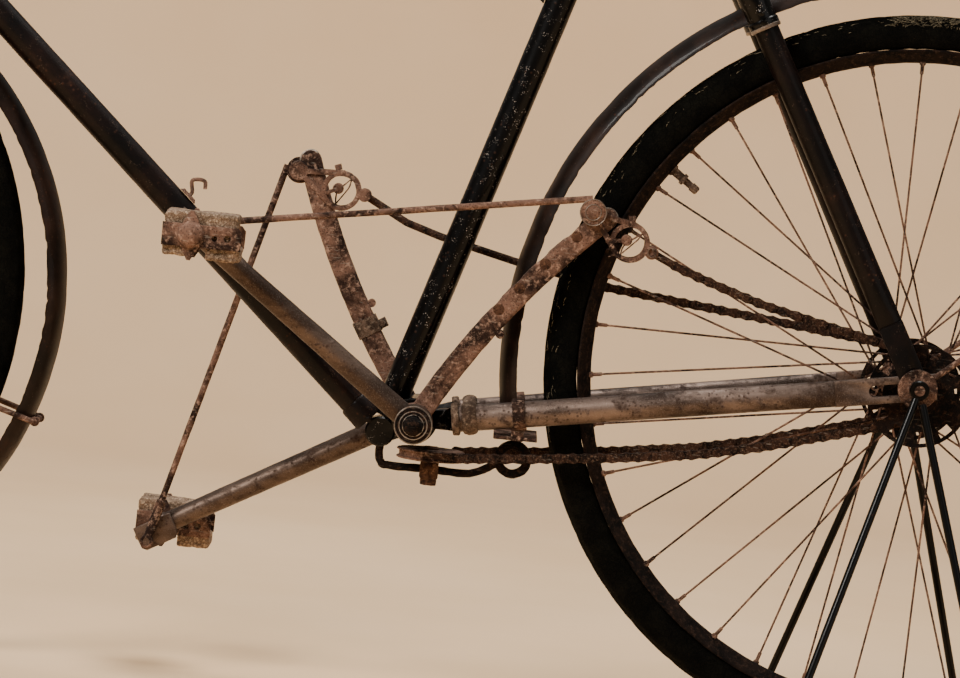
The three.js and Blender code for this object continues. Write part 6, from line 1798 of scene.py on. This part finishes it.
# %% Pulley, rod and block
def add_pulley():
    bm = bmesh.new()
    centre = at(PULLEY_CENTRE)
    turned(bm, centre - Vector((0, 0, 0.005)), centre,
           [(0, 0.0054), (0, 0.0316), (0.0008, 0.0328), (0.0018, 0.0328), (0.0030, 0.0306),
            (0.0070, 0.0306),
            (0.0082, 0.0328), (0.0092, 0.0328), (0.0100, 0.0316), (0.0100, 0.0054)], 56)
    roughen(bm, 0.0003, 0.006)
    return piece("return_pulley", bm, RUST_BROWN, "frame", ["return_pulley"], sharp=40)


ROD_TOP = (JUNCTION[0] + 0.001, JUNCTION[1] - 0.0149)
ROD_LOW = ROD_TOP[1] - 0.018
EYE = (PIVOT[0] + 0.098, 0.2493)


def add_pulley_rod():
    bm = bmesh.new()
    route = [
        ROD_TOP, (ROD_TOP[0], ROD_LOW + 0.009), (ROD_TOP[0] + 0.0027, ROD_LOW + 0.0027),
        (ROD_TOP[0] + 0.009, ROD_LOW),
        (PULLEY_CENTRE[0], ROD_LOW), (PULLEY_CENTRE[0] + 0.039, ROD_LOW),
        (EYE[0] - 0.0155, EYE[1] - 0.006),
    ]
    sweep(bm, smooth_path([at(p) for p in route], 6), 0.0039, 16)
    rim = [(0.0, 0.0104), (0.0, 0.0170), (0.0012, 0.0183), (0.0068, 0.0183), (0.0080, 0.0170),
           (0.0080, 0.0104), (0.0072, 0.0100),
           (0.0008, 0.0100), (0.0, 0.0104)]
    turned(bm, at(EYE, -0.004), at(EYE, 0.004), rim, 40)
    roughen(bm, 0.0006, 0.006)
    for v in bm.verts:
        v.co.y = max(-0.0043, min(0.0043, v.co.y))
    return piece("pulley_rod", bm, RUST_DARK, "frame", ["pulley_rod"], sharp=50)


def add_pulley_block():
    bm = bmesh.new()
    centre = at(PULLEY_CENTRE)
    block(bm, centre + Vector((0, 0, -0.0146)), (0.0178, 0.0178, 0.0178), bevel=0.0022)
    low = centre + Vector((0, 0, -0.0240))
    hex_nut(bm, low, low - Vector((0, 0, 0.0058)), 0.0079)
    rod(bm, centre - Vector((0, 0, 0.006)), centre + Vector((0, 0, 0.0078)), 0.0049, sides=18)
    turned(bm, centre + Vector((0, 0, 0.0052)), centre + Vector((0, 0, 1)),
           [(0, 0), (0, 0.0078), (0.0010, 0.0080), (0.0026, 0.0062), (0.0028, 0)], 20)
    roughen(bm, 0.0005, 0.004)
    return piece("pulley_block", bm, RUST_AND_SHADE, "frame", ["pulley_block"], sharp=50)


def add_pulley_hanger():
    bm = bmesh.new()
    block(bm, at((EYE[0], 0.2733)), (0.042, 0.097, 0.0038), bevel=0.0009)
    block(bm, at((EYE[0], 0.2702)), (0.0118, 0.0078, 0.0044), bevel=0.0008)
    for way in (-1, 1):
        front, back = on_chainstay(0.095, way), on_chainstay(0.107, way)
        profile = [(0, 0.0130), (0, 0.0150), (0.0008, 0.0156), (0.0112, 0.0156), (0.0120, 0.0150),
                   (0.0120, 0.0130), (0, 0.0130)]
        turned(bm, front, back, profile, 36)
        middle = front.lerp(back, 0.5)
        block(bm, Vector((middle.x, middle.y, (0.2745 + middle.z - 0.0136) / 2 - 0.0004)),
              (0.0118, 0.0118, middle.z - 0.0136 - 0.2745 + 0.006), bevel=0.0008)
        bolt = middle + Vector((0, way * 0.0148, -0.002))
        turned(bm, bolt, bolt + Vector((0, way, 0)),
               [(0, 0), (0, 0.0038), (0.0012, 0.0036), (0.0016, 0)], 6)
    roughen(bm, 0.0004, 0.005)
    return piece("pulley_hanger", bm, RUST_BROWN, "frame", ["pulley_hanger"], sharp=45)


add_pulley()
add_pulley_rod()
add_pulley_block()
add_pulley_hanger()

# %% [markdown]
# ## Small things on the tubes
# A wire hook stands on the down tube's upper side and a wedge braces the seat tube.


# %% Hook and gusset
def add_tube_hook():
    up = angle_of(JUNCTION, down_top)
    foot = polar(polar(JUNCTION, up, 0.292), up - 90, TUBE_RADIUS + 0.0003)

    def lift(along, out):
        return polar(polar(foot, up, along), up - 90, out)

    bm = bmesh.new()
    plate(bm, [lift(-0.0098, 0.0001), lift(0.0098, 0.0001), lift(0.0072, 0.0028), lift(-0.0072, 0.0028)],
          -0.0048, 0.0048, 0.0009)
    route = [lift(0, 0.001), lift(0, 0.006), lift(0.008, 0.014), lift(0, 0.022), lift(-0.0064, 0.0172)]
    sweep(bm, smooth_path([at(p) for p in route], 7), 0.0019, 12)
    for along in (-0.0062, 0.0062):
        turned(bm, at(lift(along, 0.0016)), at(lift(along, 0.1)),
               [(0, 0), (0, 0.0019), (0.0012, 0.0016), (0.0016, 0)], 10)
    roughen(bm, 0.0002, 0.004)
    return piece("tube_hook", bm, RUST_BROWN, "frame", ["tube_hook"])


def add_gusset():
    along = angle_of(JUNCTION, seat_top)

    def edge(distance, out):
        return polar(polar(JUNCTION, along, distance), along + 90, TUBE_RADIUS + 0.0003 + out)

    bm = bmesh.new()
    outline = [edge(0.440, 0), edge(0.442, 0.005), edge(0.452, 0.014), edge(0.470, 0.0235),
               edge(0.4795, 0.0235), edge(0.486, 0.010), edge(0.4935, 0)]
    plate(bm, outline, -0.0039, 0.0039, 0.0012)
    roughen(bm, 0.0002, 0.006)
    return piece("seat_tube_gusset", bm, BLACK_ENAMEL, "frame", ["seat_tube_gusset"])


add_tube_hook()
add_gusset()

# %% [markdown]
# ## Pedals
# A block pedal has two pierced end plates with a point above and below, a barrel on the spindle
# under a domed cap, and rubber blocks between the plates. These blocks have perished into a
# granular crust, so they are boxes with rounded edges, subdivided and pushed about by noise.


# %% Pedals
def add_pedal_metal(name, centre, way, body):
    bm = bmesh.new()

    def here(x, z):
        return (centre[0] + x, centre[1] + z)

    outline = [
        here(-0.0266, -0.0108), here(-0.0085, -0.0108), here(-0.0016, -0.0232), here(0.0016, -0.0232),
        here(0.0085, -0.0108),
        here(0.0474, -0.0108), here(0.0478, 0.0060), here(0.0440, 0.0106), here(0.0085, 0.0108),
        here(0.0016, 0.0232),
        here(-0.0016, 0.0232), here(-0.0085, 0.0108), here(-0.0266, 0.0108),
    ]
    holes = [disc(here(0.0345, 0.0), 0.0032, 18), disc(here(0.0225, -0.0010), 0.0026, 18)]
    for low, high in ((0.0961, 0.0989), (0.1591, 0.1619)):
        y0, y1 = sorted((way * low, way * high))
        plate(bm, outline, y0, y1, 0.0007, holes)
    turned(bm, at(centre, way * 0.0985), at(centre, way * 0.1595),
           [(0, 0.0053), (0, 0.0080), (0.002, 0.0088), (0.030, 0.0076), (0.059, 0.0088), (0.061, 0.0080),
            (0.061, 0.0053)], 28)
    turned(bm, at(centre, way * 0.1617), at(centre, way * 0.3),
           [(0, 0.0054), (0, 0.0132), (0.0010, 0.0134), (0.0022, 0.0122), (0.0030, 0.0118),
            (0.0050, 0.0106), (0.0072, 0.0076),
            (0.0086, 0.0040), (0.0090, 0.0)], 36)
    for x in (-0.018, 0.041):
        rod(bm, at(here(x, 0), way * 0.0965), at(here(x, 0), way * 0.1615), 0.0028, sides=12)
    roughen(bm, 0.00025, 0.006, way)
    return piece(name, bm, RUST_BROWN, body, [name], sharp=40)


def add_pads(name, centre, way, body):
    bm = bmesh.new()
    y_middle = way * 0.129
    pads = [
        ((0.0084, 0.0148), (0.0686, 0.0145)),
        ((-0.0135, -0.0140), (0.0255, 0.0118)),
        ((0.0310, -0.0150), (0.0320, 0.0140)),
        ((0.0085, 0.0), (0.0560, 0.0140)),
    ]
    for (x, z), (long, high) in pads:
        block(bm, at((centre[0] + x, centre[1] + z), y_middle), (long, 0.0575, high), bevel=0.0026)
    bmesh.ops.subdivide_edges(bm, edges=[e for e in bm.edges if e.calc_length() > 0.004], cuts=9,
                              use_grid_fill=True)
    bmesh.ops.triangulate(bm, faces=[f for f in bm.faces if len(f.verts) > 4])
    bm.normal_update()
    for v in bm.verts:
        crust = noise.fractal(v.co / 0.006, 0.8, 2.2, 4) * 0.0013
        bite = min(0.0, noise.fractal(v.co / 0.014 + Vector((3, 1, 7)), 0.9, 2.0, 3) + 0.15) * 0.004
        v.co += v.normal * (min(crust, 0.0002) + bite)
    lo_y, hi_y = sorted((way * 0.0992, way * 0.1588))
    for v in bm.verts:
        v.co.y = max(lo_y, min(hi_y, v.co.y))
    return piece(name, bm, PEDAL_PAD, body, smooth_all=True)


for side_name, lever in LEVERS.items():
    pedal = lever_point(lever["angle"], CRANK_LENGTH, 0)
    add_pedal_metal(f"pedal_{side_name}", pedal, lever["way"], f"{side_name}_pedal")
    add_pads(f"pedal_pads_{side_name}", pedal, lever["way"], f"{side_name}_pedal")
print("pads", made["pedal_pads_left"])

# %% [markdown]
# ## Fork and front end
# The photograph cuts off the steering. What is built here follows the type: a flat-topped crown,
# two blades that curve forward to the axle, a stem clamped by a hexagon collar, and a handlebar
# that sweeps back to turned grips. The blades are sweeps with an oval section.


# %% Steering coordinates
STEER_UP = (at(on_steering(1)) - at(on_steering(0))).normalized()
STEER_BACK = Vector((STEER_UP.z, 0, -STEER_UP.x))
RAKE = 0.045


def steer(back, y, up):
    return at(STEERING_FOOT) + STEER_BACK * back + STEER_UP * up + Vector((0, y, 0))


# %% Fork
def add_fork():
    bm = bmesh.new()
    for way in (-1, 1):
        path, radii, flats = [], [], []
        for i in range(25):
            down = i / 24
            path.append(steer(-RAKE * down**3, way * (0.038 + 0.012 * down),
                              0.386 * (1 - down) + 0.006 * down))
            radii.append(0.0116 - 0.0043 * down)
            flats.append(0.80 - 0.04 * down)
        sweep(bm, path, radii, 24, flats, (0, 1, 0))
        y0, y1 = sorted((way * 0.0466, way * 0.0534))
        eye_ring(bm, FRONT_HUB, y0, y1, 0.0118, 0.0054, 28)
        roof = steer(0, way * 0.038, 0.374)
        turned(bm, roof, roof + STEER_UP,
               [(0, 0.0098), (0, 0.0122), (0.0012, 0.0129), (0.0230, 0.0129), (0.0262, 0.0118),
                (0.0272, 0.0090), (0.0272, 0)], 28)
    arch = [steer(0, y, up) for y, up in ((-0.038, 0.3895), (-0.019, 0.3915), (0, 0.3930),
        (0.019, 0.3915), (0.038, 0.3895))]
    sweep(bm, smooth_path(arch, 5), 0.0082, 20, 1.35, (0, 1, 0))
    turned(bm, steer(0, 0, 0.384), steer(0, 0, 1),
           [(0, 0), (0, 0.0130), (0.010, 0.0128), (0.0172, 0.0150), (0.0174, 0.0120), (0.222, 0.0120),
            (0.222, 0.0)], 32)
    roughen(bm, 0.0002, 0.012)
    return piece("fork", bm, BLACK_ENAMEL, "steering", ["fork"], sharp=45)


add_fork()

# %% Handlebar and grips
STEM_TOP = 0.668
BAR_HALF = 0.255
LEAN = math.radians(90 - HEAD_ANGLE)


def backward(y, back, drop=0.0):
    """A place on the bar: back is level with the floor, drop is down from the bar's middle."""
    return steer(
        back * math.cos(LEAN) + drop * math.sin(LEAN), y,
        STEM_TOP + back * math.sin(LEAN) - drop * math.cos(LEAN),
    )


def bar_route():
    right = [
        backward(0.070, 0), backward(BAR_HALF - 0.075, 0.012, 0.002),
        backward(BAR_HALF - 0.020, 0.062, 0.006),
        backward(BAR_HALF, 0.150, 0.012),
    ]
    left = [Vector((p.x, -p.y, p.z)) for p in reversed(right)]
    return smooth_path([*left, backward(0, 0), *right], 12)


def add_handlebar():
    bm = bmesh.new()
    sweep(bm, bar_route(), 0.0108, 24)
    collar = steer(0, 0, 0.6045)
    hex_nut(bm, collar, steer(0, 0, 0.6178), 0.0158, 0.0012)
    turned(bm, steer(0, 0, 0.6170), steer(0, 0, 1),
           [(0, 0), (0, 0.0124), (0.002, 0.0128), (0.004, 0.0112), (0.042, 0.0110), (0.050, 0.0128),
            (0.058, 0.0)], 28)
    turned(bm, backward(-0.018, 0), backward(0.018, 0),
           [(0, 0.0110), (0, 0.0136), (0.0014, 0.0148), (0.0346, 0.0148), (0.0360, 0.0136),
            (0.0360, 0.0110)], 32)
    roughen(bm, 0.00022, 0.010)
    return piece("handlebar", bm, CRANK_STEEL, "steering", ["handlebar"])


def add_grip(name, way):
    route = bar_route() if way > 0 else bar_route()[::-1]
    long = 0.0
    tail = [route[-1]]
    for a, b in zip(route[::-1], route[-2::-1]):
        long += (a - b).length
        if long > 0.104:
            break
        tail.append(b)
    tail = smooth_path(tail, 5)
    swell = [0.0124 + 0.0024 * math.sin(math.pi * min(1.0,
        0.12 + 0.8 * i / (len(tail) - 1))) for i in range(len(tail))]
    for i in range(3, len(swell), 6):
        swell[i] -= 0.0011
    swell[0] = 0.0102
    bm = bmesh.new()
    sweep(bm, tail, swell, 28)
    roughen(bm, 0.0003, 0.006, way)
    return piece(name, bm, GRIP, "steering", [name], sharp=60)


add_handlebar()
add_grip("grip_left", -1)
add_grip("grip_right", 1)

# %% [markdown]
# ## Saddle
# A leather top is stretched over a wire frame with two coil springs. The leather starts as a grid,
# is pulled into the saddle's outline, dips in the middle and turns down at its sides.

# %% Saddle sizes from the frame
SEAT_LOW, SEAT_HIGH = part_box("saddle_leather")
POST_HEAD = on_seat_tube(0.970)
CLIP_X = POST_HEAD[0] + 0.025
SPRING_BASE = 0.9853
SPRING_TOP = SPRING_BASE + 0.045
REAR_X = CLIP_X + 0.265 * 0.4
NOSE_X = CLIP_X - 0.265 * 0.58


def saddle_half_width(share):
    """Half the leather's width at a share of its length from the nose."""
    stops = [(0.0, 0.010), (0.04, 0.0185), (0.2, 0.0245), (0.42, 0.034), (0.6, 0.060), (0.75, 0.090),
             (0.9, 0.1035), (0.97, 0.096), (1.0, 0.080)]
    for (s0, w0), (s1, w1) in zip(stops, stops[1:]):
        if share <= s1:
            t = (share - s0) / (s1 - s0)
            return w0 + (w1 - w0) * t * t * (3 - 2 * t)
    return stops[-1][1]


def add_saddle_leather():
    bm = bmesh.new()
    bmesh.ops.create_grid(bm, x_segments=60, y_segments=36, size=0.5)
    long = SEAT_HIGH.x - SEAT_LOW.x - 0.002
    for v in bm.verts:
        share = v.co.x + 0.5
        across = v.co.y * 2
        half = saddle_half_width(share)
        dip = 0.0022 * math.sin(math.pi * share) * (1 - across * across)
        rise = 0.0052 * max(0.0, (share - 0.80) / 0.20) ** 2
        skirt = 0.0072 * max(0.0, (abs(across) - 0.72) / 0.28) ** 2
        nose = 0.007 * max(0.0, (0.06 - share) / 0.06)
        top = SEAT_HIGH.z - 0.0062
        v.co = Vector((SEAT_LOW.x + 0.001 + long * share, across * half,
                       top - dip + rise - skirt - nose))
    bmesh.ops.solidify(bm, geom=list(bm.faces), thickness=0.0036)
    for v in bm.verts:
        v.co.z = max(SEAT_LOW.z + 0.0002, min(SEAT_HIGH.z - 0.0003, v.co.z))
    roughen(bm, 0.0003, 0.02)
    for share in (0.80, 0.88, 0.95):
        for way in (-1, 1):
            spot = Vector((SEAT_LOW.x + long * (share * 0.12 + 0.87),
                           way * (0.088 - 0.028 * (share - 0.8) / 0.15), SEAT_HIGH.z - 0.0062))
            turned(bm, spot, spot + Vector((0, 0, 1)),
                   [(0, 0), (0, 0.0042), (0.0014, 0.0038), (0.0024, 0.0016), (0.0026, 0)], 16)
    return piece("saddle_leather", bm, LEATHER, "frame", ["saddle_leather"], sharp=60)


def add_saddle_frame():
    bm = bmesh.new()
    wire = 0.0038
    block(bm, at((CLIP_X, 0.9735)), (0.0275, 0.037, 0.0315), bevel=0.003)
    for way in (-1, 1):
        heel = at((REAR_X - 0.022, SPRING_BASE), way * 0.062)
        waist = at((CLIP_X, SPRING_BASE), way * 0.014)
        nose = at((NOSE_X + 0.024, SPRING_TOP - 0.012), way * 0.003)
        sweep(bm, smooth_path([heel, heel.lerp(waist, 0.5), waist,
                               waist.lerp(nose, 0.5) - Vector((0, 0, 0.003)), nose], 8), wire, 14)
        coil = []
        for i in range(5 * 20 + 1):
            turn = math.tau * i / 20
            squeeze = 0.0113 + 0.0010 * math.cos(math.pi * i / 50)
            coil.append(heel + Vector((squeeze * math.cos(turn), squeeze * math.sin(turn),
                                       -0.001 + 0.0425 * i / 100)))
        sweep(bm, coil, 0.0024, 12)
        nut = at((CLIP_X, 0.9715), way * 0.0180)
        hex_nut(bm, nut, nut + Vector((0, way * 0.001, 0)), 0.0078, 0.0003)
    back_left, back_right = (at((REAR_X - 0.022, SPRING_TOP - 0.004), way * 0.062) for way in (-1, 1))
    rod(bm, back_left, back_right, wire, sides=14, stations=10)
    roughen(bm, 0.00025, 0.006)
    return piece("saddle_frame", bm, RUST_BROWN, "frame", ["saddle_frame"], sharp=45)


def add_seat_post():
    bm = bmesh.new()
    rod(bm, at(on_seat_tube(0.866)), at(on_seat_tube(0.969)), 0.0108, sides=28, stations=10)
    rod(bm, at((POST_HEAD[0] - 0.0698, 0.970)), at((POST_HEAD[0] + 0.0598, 0.970)), 0.0107, sides=28,
        stations=12)
    turned(bm, at(on_seat_tube(0.952)), at(on_seat_tube(0.972)),
           [(0, 0.0108), (0.002, 0.0109), (0.012, 0.0109), (0.016, 0.0108)], 28)
    roughen(bm, 0.0002, 0.010)
    return piece("seat_post", bm, CRANK_STEEL, "frame", ["seat_post"])


add_saddle_leather()
add_saddle_frame()
add_seat_post()

# %% [markdown]
# ## Display stand
# The black stand is bent rod. Each side is one socket on the axle's end with two splayed legs, and the
# legs stand on a flat frame.


# %% Stand
def add_stand_leg(name, way, ahead):
    bm = bmesh.new()
    top = at(REAR_HUB, way * 0.08915)
    foot = at((ahead * 0.107, 0.0), way * 0.185)
    heading = (foot - top).normalized()
    end = top + heading * ((top.z - 0.0066) / -heading.z)
    if ahead < 0:
        start = top + heading * 0.0085
        turned(bm, at(REAR_HUB, way * 0.0834), at(REAR_HUB, way * 0.0948),
               [(0, 0.0054), (0, 0.0084), (0.0012, 0.0094), (0.0102, 0.0094), (0.0114, 0.0084),
                (0.0114, 0.0054)], 32)
    else:
        start = top + heading * 0.0140
    rod(bm, start, end, 0.0039, sides=20, stations=24)
    bead = start + heading * 0.002
    turned(bm, bead, bead + heading, [(0, 0.0030), (0, 0.0040), (0.008, 0.0040), (0.011, 0.0039)], 20)
    return piece(name, bm, STAND_ENAMEL, "frame", [name])


def add_stand_base():
    bm = bmesh.new()
    low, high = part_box("stand_base")
    bar = 0.030
    outer = [(low.x, low.y), (high.x, low.y), (high.x, high.y), (low.x, high.y)]
    inner = [(low.x + bar, low.y + bar), (high.x - bar, low.y + bar), (high.x - bar, high.y - bar),
             (low.x + bar, high.y - bar)]
    edges = []
    for loop in (outer, inner):
        verts = [bm.verts.new((x, y, low.z)) for x, y in loop]
        edges += [bm.edges.new(pair) for pair in zip(verts, verts[1:] + verts[:1])]
    filled = bmesh.ops.triangle_fill(bm, edges=edges, use_beauty=True, use_dissolve=True)["geom"]
    faces = [g for g in filled if isinstance(g, bmesh.types.BMFace)]
    grown = bmesh.ops.extrude_face_region(bm, geom=faces)["geom"]
    bmesh.ops.translate(bm, vec=(0, 0, high.z - low.z),
                        verts=[g for g in grown if isinstance(g, bmesh.types.BMVert)])
    bmesh.ops.recalc_face_normals(bm, faces=bm.faces)
    sharp = [e for e in bm.edges if e.calc_face_angle(0) > 0.8]
    bmesh.ops.bevel(bm, geom=sharp, offset=0.0012, segments=3, profile=0.5, affect="EDGES", material=-1)
    for x in (low.x + bar / 2, high.x - bar / 2):
        for y in (low.y + bar / 2, high.y - bar / 2):
            spot = Vector((x, y * 0.985, high.z - 0.0012))
            turned(bm, spot, spot + Vector((0, 0, 1)),
                   [(0, 0), (0, 0.0010), (0.0011, 0.0010), (0.0011, 0)], 12)
    return piece("stand_base", bm, STAND_ENAMEL, "frame", ["stand_base"], sharp=50)


for side_name, way in (("left", -1), ("right", 1)):
    add_stand_leg(f"stand_leg_front_{side_name}", way, -1)
    add_stand_leg(f"stand_leg_rear_{side_name}", way, 1)
add_stand_base()

# %% Sizes and the end
print("pieces", len(made), "faces", sum(made.values()))
